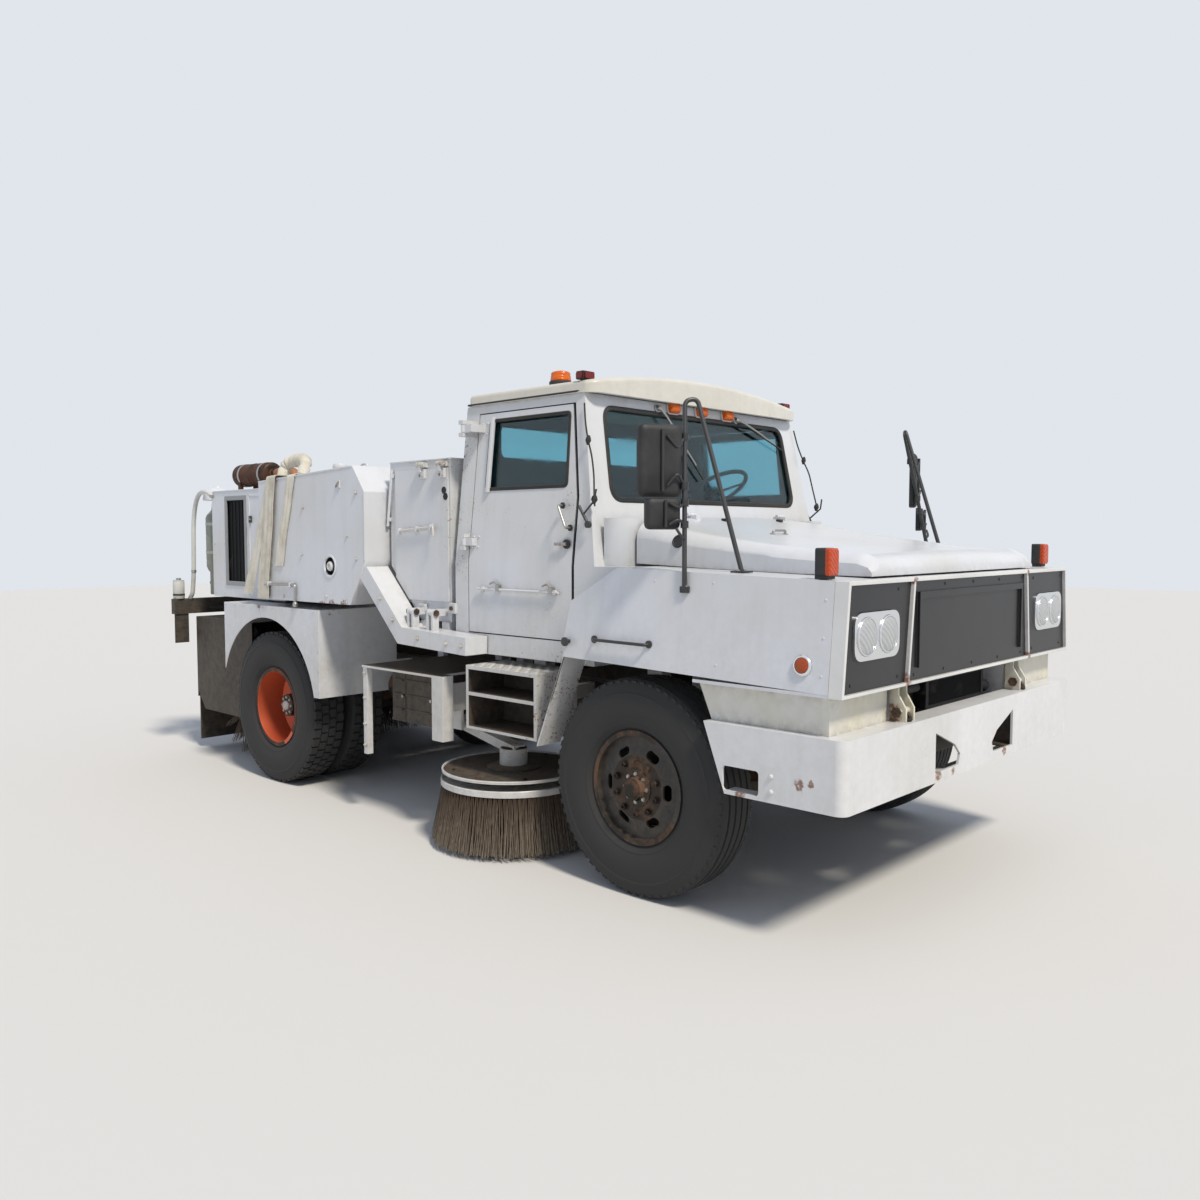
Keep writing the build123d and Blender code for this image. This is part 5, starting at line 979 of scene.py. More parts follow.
def ring(centre: Point, axis: Axis, radius: float, count: int, start: float = 0.0, sign: int = 1,
         outward: bool = False) -> list[Place]:
    """Give evenly spaced places round an axis.

    Args:
        centre: Point on the axis.
        axis: The axis.
        radius: Distance from it.
        count: Number of places.
        start: Share of a step by which they are turned.
        sign: Way along the axis that counts as forward.
        outward: Whether a place faces away from the axis, not along it.

    Returns:
        Point, facing direction and the direction across it, for each place.
    """
    line = axis.point(sign, 0, 0)
    spokes = [axis.spoke(turn) for turn in turns(count, start)]
    return [(Vector(centre) + way * radius, way if outward else line, line if outward else way) for way in spokes]


def both_sides(places: Sequence[Place]) -> list[Place]:
    """Add the mirror image of each place on the vehicle's other side."""
    return [*places, *((MIRROR @ a, MIRROR @ b, MIRROR @ c) for a, b, c in places)]


def stand(at: Sequence[float], way: Vector) -> Matrix:
    """Give the place of a small form that stands at a point, with its Z along a direction."""
    return Matrix.Translation(Vector(at)) @ way.to_track_quat("Z", "Y").to_matrix().to_4x4()


class Stamper:
    """Geometry Nodes tree that sets one small form on every place of a host."""

    def __init__(self) -> None:
        """Build the tree with its named inputs."""
        tree = bpy.data.node_groups.new("stamp_on_places", "GeometryNodeTree")
        face = tree.interface
        for name, kind in (("Places", "Geometry"), ("Stamp", "Object"), ("Size Spread", "Float"),
                           ("Lean Spread", "Vector"), ("Seed", "Int"), ("Finish", "Material")):
            face.new_socket(name, in_out="INPUT", socket_type=f"NodeSocket{kind}")
        face.new_socket("Geometry", in_out="OUTPUT", socket_type="NodeSocketGeometry")
        given = put(tree, "NodeGroupInput").outputs
        stamp = put(tree, "GeometryNodeObjectInfo", {"Object": given["Stamp"]})
        way, across = (put(tree, "GeometryNodeInputNamedAttribute", {"Name": name},
                           data_type="FLOAT_VECTOR").outputs[0] for name in ("facing", "along"))
        turn = put(tree, "FunctionNodeAxesToRotation", {"Primary Axis": way, "Secondary Axis": across},
                   primary_axis="Z", secondary_axis="X")
        least = put(tree, "ShaderNodeVectorMath", {0: given["Lean Spread"], 1: (-1.0, -1.0, -1.0)},
                    operation="MULTIPLY")
        lean = put(tree, "FunctionNodeRandomValue",
                   {0: least.outputs[0], 1: given["Lean Spread"], "Seed": given["Seed"]},
                   data_type="FLOAT_VECTOR")
        tilt = put(tree, "FunctionNodeEulerToRotation", {0: lean.outputs[0]})
        both = put(tree, "FunctionNodeRotateRotation",
                   {"Rotation": turn.outputs[0], "Rotate By": tilt.outputs[0]}, rotation_space="LOCAL")
        smallest = put(tree, "ShaderNodeMath", {0: 1.0, 1: given["Size Spread"]}, operation="SUBTRACT")
        share = put(tree, "FunctionNodeRandomValue",
                    {2: smallest.outputs[0], 3: 1.0, "Seed": given["Seed"]}, data_type="FLOAT")
        set_out = put(tree, "GeometryNodeInstanceOnPoints",
                      {"Points": given["Places"], "Instance": stamp.outputs["Geometry"],
                       "Rotation": both.outputs[0], "Scale": share.outputs[1]})
        real = put(tree, "GeometryNodeRealizeInstances", {0: set_out.outputs[0]})
        covered = put(tree, "GeometryNodeSetMaterial",
                      {"Geometry": real.outputs[0], "Material": given["Finish"]})
        put(tree, "NodeGroupOutput", {0: covered.outputs[0]})
        self.tree = tree
        self.keys = {item.name: item.identifier for item in face.items_tree if item.in_out == "INPUT"}

    def piece(self, name: str, body: str, finish: Finish, stamp: Form, places: Sequence[Place],
              spread: float = 0.0, lean: Point = (0.0, 0.0, 0.0), seed: int = 1, smooth: float = 30.0) -> Piece:
        """Set a stamp on every place and freeze the result to a plain mesh.

        Args:
            name: Name of the piece.
            body: Body that it rides.
            finish: Its finish.
            stamp: The small form, which faces up from its origin.
            places: Where it goes.
            spread: Largest share by which one is smaller than the next.
            lean: Largest random turn about the stamp's own axes.
            seed: Seed of the random turns and sizes.
            smooth: Angle in degrees above which an edge stays sharp.

        Returns:
            The piece.
        """
        model = bpy.data.meshes.new("stamp")
        model.from_pydata([p * MM for p in stamp.points], [], stamp.faces)
        die = bpy.data.objects.new("stamp", model)
        mesh = bpy.data.meshes.new("places")
        mesh.from_pydata([p * MM for p, _, _ in places], [], [])
        for label, column in (("facing", 1), ("along", 2)):
            values = mesh.attributes.new(label, "FLOAT_VECTOR", "POINT")
            values.data.foreach_set("vector", [c for place in places for c in place[column]])
        host = bpy.data.objects.new("host", mesh)
        for item in (die, host):
            bpy.context.scene.collection.objects.link(item)
        modifier = host.modifiers.new("Stamps", "NODES")
        modifier.node_group = self.tree
        for key, value in (("Stamp", die), ("Size Spread", spread), ("Lean Spread", lean), ("Seed", seed),
                           ("Finish", finish.material())):
            modifier[self.keys[key]] = value
        host.update_tag()
        graph = bpy.context.evaluated_depsgraph_get()
        frozen = bpy.data.meshes.new_from_object(host.evaluated_get(graph), depsgraph=graph)
        host.modifiers.remove(modifier)
        for item in (die, host):
            bpy.data.objects.remove(item)
        frozen.materials.clear()
        return finished(frozen, name, body, [finish], smooth=smooth)


def spun(profile: Sequence[Flat], steps: int) -> Form:
    """Make a small turned form that stands on its origin, along Z.

    Args:
        profile: Height and radius of each point of its section.
        steps: Points round it.

    Returns:
        The form.
    """
    form = Form()
    form.turned((0, 0, 0), Axis.Z, profile, steps)
    return form


def hex_bolt(wide: float, high: float, stud: float = 0.0) -> Form:
    """Make a hexagon head on its washer.

    Args:
        wide: Width across the flats.
        high: Height of the head.
        stud: How far the stud's end stands out of it, if it has one.

    Returns:
        The bolt, which faces along Z.
    """
    form = spun(plug(wide * 0.72, 2.0, -0.5), 14)
    corner = wide / math.sqrt(3.0)
    head = [(1.5, 0), (1.5, corner), (high * 0.9, corner), (high, corner * 0.86), (high, 0)]
    form.turned((0, 0, 0), Axis.Z, head, 6)
    if stud:
        end = [(high - 2.0, 0), (high - 2.0, wide * 0.28), (high + stud, wide * 0.26), (high + stud, 0)]
        form.turned((0, 0, 0), Axis.Z, end, 10)
    return form


def dome_bolt(wide: float, high: float) -> Form:
    """Make the low round head of a carriage bolt or rivet.

    Args:
        wide: Its diameter.
        high: Its height.

    Returns:
        The bolt, which faces along Z.
    """
    half = wide / 2
    return spun([(-0.5, 0), (-0.5, half), (high * 0.35, half * 0.95), (high * 0.8, half * 0.6), (high, 0)], 12)


def brick(low: Point, high: Point) -> Form:
    """Make a plain block, to be stamped in rows.

    Args:
        low: Its low corner.
        high: Its high corner.

    Returns:
        The block.
    """
    form = Form()
    form.box(*zip(low, high))
    return form


# The frame's own nodes


BODY_OF = {n: b for b, names in frame["record"]["behaviour"]["bodies"].items() for n in names}


def refined(node: str, finishes: Sequence[Finish], bevel: float = 3.0,
            choose: Callable[[Vector, Vector], int] | None = None) -> Piece:
    """Make a copy of a CAD node with joined faces and rounded edges, which then stands for it.

    Args:
        node: Name of the node.
        finishes: Finishes, in the order that choose numbers them.
        bevel: Width of the rounded edges.
        choose: Gives the finish's number from a face's middle, in millimetres, and its normal.

    Returns:
        The new piece.
    """
    work = bmesh.new()
    work.from_mesh(frame["nodes"][node].data)
    bmesh.ops.remove_doubles(work, verts=work.verts, dist=0.02 * MM)
    bmesh.ops.dissolve_limit(work, angle_limit=math.radians(0.5), verts=work.verts, edges=work.edges)
    work.verts.index_update()
    mesh = bpy.data.meshes.new(node)
    mesh.from_pydata([v.co.copy() for v in work.verts], [], [[v.index for v in f.verts] for f in work.faces])
    work.free()
    mesh.validate()
    if choose:
        for face in mesh.polygons:
            face.material_index = choose(face.center / MM, face.normal)
    piece = finished(mesh, f"{node}_body", BODY_OF[node], finishes, bevel, turn_out=False)
    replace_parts(piece, node)
    return piece


def coated(node: str, finish: Finish) -> None:
    """Give a CAD node that stays its finish.

    Args:
        node: Name of the node.
        finish: The finish.
    """
    piece = frame["nodes"][node]
    piece.data.materials.clear()
    piece.data.materials.append(finish.material())


def touch(node: str, start: Point, way: Point) -> tuple[Vector, Vector]:
    """Find where a line meets a CAD node.

    Args:
        node: Name of the node.
        start: Start of the line, in millimetres.
        way: Its direction.

    Returns:
        The point, in millimetres, and the surface's normal there.
    """
    mesh = frame["nodes"][node].data
    tree = BVHTree.FromPolygons([v.co for v in mesh.vertices], [tuple(p.vertices) for p in mesh.polygons])
    place, normal, _, _ = tree.ray_cast(Vector(start) * MM, Vector(way).normalized())
    if place is None:
        raise ValueError(f"no surface of {node} on the line from {start}")
    return place / MM, normal


@dataclass
class Assembly:
    """Group of fine pieces; its fields are sizes in millimetres."""

    stamper: Stamper

    def build(self) -> None:
        """Build every piece of the group."""
        raise NotImplementedError


# The studio


@dataclass
class Studio:
    """Pale floor, soft light and the camera of the photograph."""

    lens: float = 30.89
    sensor: float = 36.0
    place: Point = (-4734.8, -5062.1, 1708.1)
    yaw: float = 46.69
    pitch: float = 3.637
    roll: float = 0.028
    floor: float = 60000.0
    key_power: float = 2.9
    key_width: float = 9.0  # apparent width in degrees, which softens the shadow's edge
    key_way: Point = (0.15, 0.60, -0.79)
    sky_power: float = 0.52
    wall_power: float = 0.95

    def camera(self) -> None:
        """Stand the camera where the photograph was taken."""
        data = bpy.data.cameras.new("camera")
        data.lens = self.lens
        data.sensor_width = self.sensor
        data.clip_end = 200.0
        camera = bpy.data.objects.new("camera", data)
        camera.location = Vector(self.place) * MM
        camera.rotation_euler = (math.radians(90.0 - self.pitch), math.radians(self.roll),
                                 math.radians(-self.yaw))
        bpy.context.scene.collection.objects.link(camera)
        bpy.context.scene.camera = camera

    def ground(self) -> None:
        """Lay a pale floor that shows the shadow."""
        half = self.floor * MM / 2
        mesh = bpy.data.meshes.new("floor")
        mesh.from_pydata([(-half, -half, 0), (half, -half, 0), (half, half, 0), (-half, half, 0)], [],
                         [(0, 1, 2, 3)])
        floor = bpy.data.objects.new("floor", mesh)
        bpy.context.scene.collection.objects.link(floor)
        made = bpy.data.materials.new("pale_floor")
        made.use_nodes = True
        tree = made.node_tree
        tree.nodes.clear()
        shader = put(tree, "ShaderNodeBsdfPrincipled", {"Base Color": "DAD9D6", "Roughness": 0.85, "IOR": 1.3})
        put(tree, "ShaderNodeOutputMaterial", {"Surface": shader.outputs[0]})
        mesh.materials.append(made)
        floor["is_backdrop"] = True

    def light(self) -> None:
        """Set one soft key lamp ahead of the vehicle and an even sky."""
        data = bpy.data.lights.new("key", "SUN")
        data.energy = self.key_power
        data.angle = math.radians(self.key_width)
        data.color = linear("FFF6E8")[:3]
        key = bpy.data.objects.new("key", data)
        key.rotation_euler = Vector(self.key_way).to_track_quat("-Z", "Y").to_euler()
        bpy.context.scene.collection.objects.link(key)
        world = bpy.data.worlds.new("studio")
        world.use_nodes = True
        tree = world.node_tree
        tree.nodes.clear()
        # what the camera, mirrors and glass see is a brighter wall than what lights the vehicle
        ray = put(tree, "ShaderNodeLightPath").outputs
        seen = put(tree, "ShaderNodeMath", {0: ray["Is Camera Ray"], 1: ray["Is Glossy Ray"]}, operation="ADD")
        seen = put(tree, "ShaderNodeMath", {0: seen.outputs[0], 1: ray["Is Transmission Ray"]},
                   operation="ADD", use_clamp=True)
        sky = put(tree, "ShaderNodeBackground", {"Color": "DDE9FF", "Strength": self.sky_power})
        wall = put(tree, "ShaderNodeBackground", {"Color": "E6EBF2", "Strength": self.wall_power})
        mixed = put(tree, "ShaderNodeMixShader", {0: seen.outputs[0], 1: sky.outputs[0], 2: wall.outputs[0]})
        put(tree, "ShaderNodeOutputWorld", {"Surface": mixed.outputs[0]})
        bpy.context.scene.world = world
        bpy.context.scene.view_settings.view_transform = "Standard"

    def build(self) -> None:
        """Clear the start-up objects and build the studio."""
        for name in ("Cube", "Light", "Camera"):
            if name in bpy.data.objects:
                bpy.data.objects.remove(bpy.data.objects[name])
        self.camera()
        self.ground()
        self.light()


# The vehicle


@dataclass
class Panels:
    """Sheet panels that keep the frame's shape and get rounded edges."""

    white: dict[str, float] = field(default_factory=lambda: {
        "hood": 4.0, "hopper_cradle": 4.0, "water_tanks": 5.0, "rear_fenders": 2.4, "hopper": 3.0,
        "dump_door": 3.0, "front_fenders": 2.6, "engine_pod": 2.6})
    dark: dict[str, float] = field(default_factory=lambda: {
        "frame": 3.0, "broom_housing": 2.0, "rear_bar": 3.0, "broom_arms": 3.0, "conveyor": 2.0})
    plate: Flat = (410.0, 414.0)  # heights just under and over the gutter plate's top
    # the battery box and the step's well below are coated dark as painted shade
    box: tuple[Flat, Flat, Flat] = ((558.0, 1002.0), (-290.0, 232.0), (558.0, 903.0))
    step: tuple[Flat, Flat, Flat] = ((900.0, 1174.0), (-1242.0, -720.0), (666.0, 980.0))
    step_back: float = 925.0
    deck: float = 915.0
    deck_front: float = -442.0
    belt: float = 1550.0  # above it the cab's walls lean in
    wall: float = 12.0
    plates_out: float = 28.0  # grille plates forward, nearly flush with the frame's lip

    @staticmethod
    def within(point: Vector, room: tuple[Flat, Flat, Flat]) -> bool:
        """Tell whether a point lies inside low and high limits along each axis."""
        return all(low < value < high for value, (low, high) in zip(point, room))

    def plate_top(self, middle: Vector, normal: Vector) -> int:
        """Tell the greasy top of the gutter broom's plate from the painted arm.

        Args:
            middle: Middle of a face.
            normal: Normal of the face.

        Returns:
            Number of the finish: 1 on the plate's top, 0 elsewhere.
        """
        return int(normal.z > 0.5 and self.plate[0] < middle.z < self.plate[1])

    def grimy_deck(self, middle: Vector, normal: Vector) -> int:
        """Tell the trodden deck from the white paint, and the battery box and the step's inside, which are coated
        dark as painted shade.

        Args:
            middle: Middle of a face.
            normal: Normal of the face.

        Returns:
            Number of the finish: 1 on the dark faces, 0 elsewhere.
        """
        at = Vector((abs(middle.x), middle.y, middle.z))
        deck_top = at.z > self.deck and at.y > self.deck_front and normal.z > 0.5
        shaded_step_inside = self.within(at, self.step) and (abs(normal.x) < 0.5 or at.x < self.step_back)
        return int(self.within(at, self.box) or deck_top or shaded_step_inside)

    def inside_cab(self, middle: Vector, _normal: Vector) -> int:
        """Tell the cab's lined inner faces from its paint.

        Args:
            middle: Middle of a face.
            _normal: Normal of the face, which isn't needed.

        Returns:
            Number of the finish: 1 inside, 0 elsewhere.
        """
        x, y, z = middle
        rise = max(0.0, z - self.belt) / 880.0
        half, front = 1040.0 - rise * 100.0, -1540.0 + rise * 162.0
        return int(abs(x) < half - self.wall and front + self.wall < y < -462.0 and 1060.0 < z < 2425.0)

    def build(self) -> None:
        """Refine the panels and coat what is mostly hidden."""
        for node, bevel in self.white.items():
            refined(node, [Coat.WHITE], bevel)
        refined("grille_frame", [Coat.NOSE], 3.0)
        refined("bumper", [Coat.BUMPER], 4.0)
        refined("lower_front", [Coat.SILL], 2.4)
        refined("cab_shell", [Coat.WHITE, Coat.TRIM], 4.0, self.inside_cab)
        for side in Side:
            refined(f"door_{side.word}", [Coat.WHITE, Coat.TRIM], 4.0, self.inside_cab)
            coated(f"door_glass_{side.word}", Coat.GLASS)
            coated(f"knuckle_{side.word}", Coat.IRON)
            refined(f"gutter_arm_{side.word}", [Coat.WORK, Coat.CHASSIS], 3.0, self.plate_top)
        refined("cab_roof", [Coat.ROOF], 4.0)
        coated("cab_glass", Coat.GLASS)
        plates = refined("grille_panels", [Coat.GRILLE], 2.0)
        for vertex in plates.data.vertices:
            vertex.co.y -= self.plates_out * MM
        refined("side_decks", [Coat.WORK, Coat.CHASSIS], 3.0, self.grimy_deck)
        for node, bevel in self.dark.items():
            refined(node, [Coat.CHASSIS], bevel)
        for node in ("front_axle", "rear_axle"):
            refined(node, [Coat.IRON], 4.0)
        for node in ("engine", "rear_engine"):
            refined(node, [Coat.ENGINE], 4.0)


@dataclass
class Wheels(Assembly):
    """Tyres with moulded tread, painted rims, and hubs with their nuts."""

    radius: float = 520.0
    front: Flat = (1045.0, -1910.0)  # middle of the wheel across and along the vehicle
    rear: Flat = (1030.0, 1420.0)
    inner: float = 722.0
    disc: float = 876.0
    front_lugs: int = 64
    rear_lugs: int = 50
    # half of a tyre's section: distance from its middle and radius, from the bead up to the shoulder
    wall: tuple[Flat, ...] = ((93, 257), (93, 277), (101, 285), (112, 298), (119, 304), (120.5, 307), (119.5, 311),
                              (124, 323), (130, 342), (134, 368), (134, 396), (132, 420), (129.5, 440), (131, 443),
                              (131, 448), (128.5, 451), (125, 466), (121, 479), (119, 484), (117, 492), (111, 502))
    ribs: tuple[Flat, ...] = ((104, 510), (97, 516), (74, 518.2), (71.5, 507), (62.5, 507), (60, 518.8), (29, 519.6),
                              (26.5, 507.5), (17.5, 507.5), (15, 519.9))
    floor: tuple[Flat, ...] = ((106, 506), (60, 506.5), (20, 507))
    # rows of blocks: offset from the tyre's middle, radius and start
    shoulders: tuple[Point, ...] = ((-106.0, 508.5, 0.0), (106.0, 508.5, 0.0))
    blocks: tuple[Point, ...] = ((-83.0, 519.0, 0.0), (-28.0, 519.3, 0.5), (28.0, 519.3, 0.0), (83.0, 519.0, 0.5))

    def tyre(self, node: str, body: str, middles: Sequence[Point], tread: Sequence[Flat]) -> None:
        """Make the casings that stand for one CAD node.

        Args:
            node: The CAD node.
            body: Body that they ride.
            middles: Middle of each tyre.
            tread: Section of the tread: moulded ribs, or a floor for blocks.
        """
        form = Form()
        half = [*self.wall, *tread]
        for middle in middles:
            form.turned(middle, Axis.X, half + [(-u, r) for u, r in reversed(half)], 96, loop=True)
        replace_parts(form.made(f"{node}_casing", body, [Coat.TYRE], smooth=28.0), node)

    def lugs(self, name: str, body: str, block: Form, middles: Sequence[Point], rows: Sequence[Point], count: int,
             sign: int) -> None:
        """Set tread blocks in rows round the tyres.

        Args:
            name: Name of the piece.
            body: Body that it rides.
            block: One block.
            middles: Middle of each tyre.
            rows: Offset from the middle, radius and start of each row.
            count: Blocks in a row.
            sign: Side of the vehicle.
        """
        places = [place for x, y, z in middles for offset, reach, start in rows
                  for place in ring((x + offset, y, z), Axis.X, reach, count, start, sign, outward=True)]
        self.stamper.piece(name, body, Coat.TYRE, block, places)

    def tyres(self, side: Side) -> None:
        """Make the tyres of one side.

        Args:
            side: The side.
        """
        sign, word = side.value, side.word
        body, middles = f"wheel_front_{word}", [(sign * self.front[0], self.front[1], self.radius)]
        self.tyre(f"front_tyre_{word}", body, middles, self.ribs)
        self.lugs(f"front_tyre_{word}_lugs", body, brick((-9, -13, -24), (9, 13, 0)), middles, self.shoulders,
                  self.front_lugs, sign)
        body, middles = f"wheels_rear_{word}", [(sign * x, self.rear[1], self.radius)
                                                for x in (self.rear[0], self.inner)]
        self.tyre(f"rear_tyres_{word}", body, middles, self.floor)
        self.lugs(f"rear_tyres_{word}_blocks", body, brick((-23, -25, -16), (23, 25, 0)), middles, self.blocks,
                  self.rear_lugs, sign)

    def front_finish(self, middle: Vector, _normal: Vector) -> int:
        """Tell the front wheel's greasy hub from its black rim.

        Args:
            middle: Middle of a face.
            _normal: Normal of the face, which isn't needed.

        Returns:
            Number of the finish: 1 on the hub, 0 on the rim.
        """
        reach = math.hypot(middle.y - self.front[1], middle.z - self.radius)
        return int(reach < 112.0 or (reach < 156.0 and abs(middle.x) > self.front[0] + 80.0))

    def rear_finish(self, middle: Vector, _normal: Vector) -> int:
        """Tell the rear wheel's hub and black disc from its red rim.

        Args:
            middle: Middle of a face.
            _normal: Normal of the face, which isn't needed.

        Returns:
            Number of the finish: 2 on the hub, 1 on the disc, 0 on the rim.
        """
        reach = math.hypot(middle.y - self.rear[1], middle.z - self.radius)
        return 2 if reach < 114.0 else int(reach < 198.0)

    def rims(self, side: Side) -> None:
        """Dress the rims of one side and add hubs, nuts and caps.

        Args:
            side: The side.
        """
        sign, word = side.value, side.word
        refined(f"front_rim_{word}", [Coat.FRONT_RIM, Coat.HUB], 2.0, self.front_finish)
        refined(f"rear_rims_{word}", [Coat.REAR_RIM, Coat.FRONT_RIM, Coat.HUB], 2.0, self.rear_finish)
        nut = hex_bolt(27.0, 20.0, 11.0)
        for body, x, y, spread, small, cap in (
                (f"wheel_front_{word}", self.front[0] + 96.0, self.front[1], 126.0, 66.0, self.front[0] + 102.0),
                (f"wheels_rear_{word}", self.disc + 12.0, self.rear[1], 150.0, 56.0, self.rear[0] + 16.0)):
            self.stamper.piece(f"{body}_nuts", body, Coat.HUB, nut,
                               ring((sign * x, y, self.radius), Axis.X, spread, 10, 0.5, sign), seed=3)
            self.stamper.piece(f"{body}_flange_bolts", body, Coat.STEEL, hex_bolt(15.0, 8.0),
                               ring((sign * cap, y, self.radius), Axis.X, small, 8, 0.0, sign))
        for name, body, finish, (x, y), out, profile in (
                ("rear", "wheels_rear", Coat.STEEL, self.rear, 16.0,
                 [(0, 0), (0, 40), (10, 38), (22, 30), (27, 16), (28, 0)]),
                ("front", "wheel_front", Coat.IRON, self.front, 132.0,
                 [(0, 0), (0, 44), (4, 44), (9, 34), (12, 18), (13, 0)])):
            form = Form()
            form.turned((sign * (x + out), y, self.radius), Axis.X, [(sign * u, r) for u, r in profile], 40)
            form.made(f"{name}_hub_cap_{word}", f"{body}_{word}", [finish])

    def build(self) -> None:
        """Build both sides."""
        for side in Side:
            self.tyres(side)
            self.rims(side)


@dataclass
class Lamps(Assembly):
    """Headlamps, turn signals, markers, roof lamps, beacon and tail lamps."""

    eye: Flat = (935.0, 1300.0)  # middle of a pair of headlamps across and up
    eye_gap: float = 176.0
    eye_hole: float = 80.0
    bezel: Point = (370.0, 194.0, 58.0)
    back: float = -2986.0
    signal: Flat = (1128.0, -2896.0)
    signal_size: Flat = (76.0, 112.0)
    deck: float = 1529.0
    beacon: Point = (-600.0, -860.0, 2566.0)
    tail: Point = (900.0, 3050.0, 1140.0)
    roof: tuple[float, ...] = (-250.0, 0.0, 250.0)

    def headlamps(self) -> None:
        """Make the chrome bezels, their round reflectors and the clear lenses."""
        shell, bowls, lenses = Form(), Form(), Form()
        wide, tall, corner = self.bezel
        middle, level = -self.eye[0], self.eye[1]
        eyes = [middle - self.eye_gap / 2, middle + self.eye_gap / 2]
        holes = [[(x + self.eye_hole * math.cos(t), level + self.eye_hole * math.sin(t)) for t in turns(40)]
                 for x in eyes]
        shell.prism(rounded(rectangle(wide, tall, (middle, level)), corner, 8), self.back - 44.0,
                    self.back - 24.0, Axis.Y, 0, holes)
        shell.prism(rounded(rectangle(wide - 10, tall - 10, (middle, level)), corner, 8), self.back - 24.0,
                    self.back - 1.0, Axis.Y, 1)
        for x in eyes:
            centre = (x, self.back, level)
            shell.turned(centre, Axis.Y, [(-40, 79.5), (-49, 79.5), (-52, 76.5), (-50, 73), (-40, 72.5)], 48,
                         loop=True)
            bowls.turned(centre, Axis.Y, [(-44, 73), (-40, 70), (-33, 56), (-28.5, 38), (-26.5, 16), (-36, 13),
                                          (-40, 9), (-41, 0)], 48)
            bowls.turned(centre, Axis.Y, [(-25.2, 0), (-25.2, 71), (-44, 73.5)], 48)
            lenses.turned(centre, Axis.Y, [(-44, 0), (-44, 60), (-44, 73), (-47, 74), (-50, 70), (-54, 50),
                                           (-56.5, 26), (-57, 0)], 48)
        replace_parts(shell.mirrored().made("headlamp_bezels", CHASSIS, [Coat.CHROME, Coat.MOULDED], 2.5), "lamps")
        bowls.mirrored().made("headlamp_reflectors", CHASSIS, [Coat.REFLECTOR])
        lenses.mirrored().made("headlamp_lenses", CHASSIS, [Coat.CLEAR], smooth=60.0)

    def signals(self) -> None:
        """Make the tall turn signals on the fender decks."""
        body, lens = Form(), Form()
        x, y = -self.signal[0], self.signal[1]
        wide, tall = self.signal_size
        middle = (x, self.deck + 70.0)
        body.prism(rounded(rectangle(wide, tall, middle), 12.0, 4), y - 22.0, y + 24.0, Axis.Y)
        body.prism(rounded(rectangle(58.0, 16.0, (x, self.deck + 9.0)), 4.0, 3), y - 30.0, y + 30.0, Axis.Y)
        lens.skin([[(u, y + depth, v) for u, v in
                    rounded(rectangle(wide - 2 * shrink, tall - 2 * shrink, middle), 12.0, 4)]
                   for depth, shrink in ((-22.0, 1.0), (-39.0, 1.0), (-45.0, 8.0))])
        body.mirrored().made("turn_signal_bodies", CHASSIS, [Coat.MOULDED], 2.0)
        lens.mirrored().made("turn_signal_lenses", CHASSIS, [Coat.ORANGE], 1.5)

    def markers(self) -> None:
        """Make the round side markers, roof lamps, corner lamps and beacon."""
        chrome, orange, amber, red, base = Form(), Form(), Form(), Form(), Form()
        lean = math.atan2(49.0, 488.0)  # slope of the fender's side
        place = stand((-1208.2, -2850.0, 1186.0), Vector((-math.cos(lean), 0, math.sin(lean))))
        chrome.join(spun([(0, 0), (0, 43), (7, 43), (12, 38), (12, 33), (8, 32), (8, 0)], 40), place)
        orange.join(spun([(7, 0), (7, 32), (13, 31), (16, 24), (17.5, 12), (18, 0)], 40), place)
        base.box((-866, -944), (-1372, -1322), (2499, 2541))
        for near, far in ((-1372, -1384), (-1322, -1312)):
            red.prism(rounded(rectangle(66.0, 36.0, (-905.0, 2520.0)), 8.0, 3), near, far, Axis.Y)
        red.prism(rounded(rectangle(40.0, 34.0, (-1347.0, 2520.0)), 8.0, 3), -944, -950, Axis.X)
        base.mirrored()
        for x in self.roof:
            place = stand((x, -1384.0, 2404.0), Vector((0, -0.983, 0.181)))
            small = Form()
            small.prism(rounded(rectangle(96.0, 66.0), 16.0, 4), 0.0, 9.0, Axis.Z)
            base.join(small, place, 1)
            small = Form()
            small.skin([[(u, v, depth) for u, v in rounded(rectangle(wide, tall), 10.0, 4)]
                        for depth, wide, tall in ((8, 82, 54), (24, 82, 54), (36, 70, 44), (41, 48, 26))])
            amber.join(small, place)
        base.turned(self.beacon, Axis.Z, [(-18, 0), (-18, 66), (3, 66), (6, 60), (6, 0)], 48)
        amber.turned(self.beacon, Axis.Z, [(6, 0), (6, 57), (12, 60), (22, 57), (34, 57), (38, 55), (50, 55),
                                           (58, 48), (63, 30), (65, 0)], 48)
        chrome.mirrored().made("marker_rims", CHASSIS, [Coat.CHROME])
        orange.mirrored().made("marker_lenses", CHASSIS, [Coat.MARKER])
        amber.made("amber_lamps", CHASSIS, [Coat.AMBER])
        red.mirrored().made("corner_lamp_lenses", CHASSIS, [Coat.RED], 1.5)
        base.made("lamp_bases", CHASSIS, [Coat.MOULDED, Coat.WHITE], 1.5)

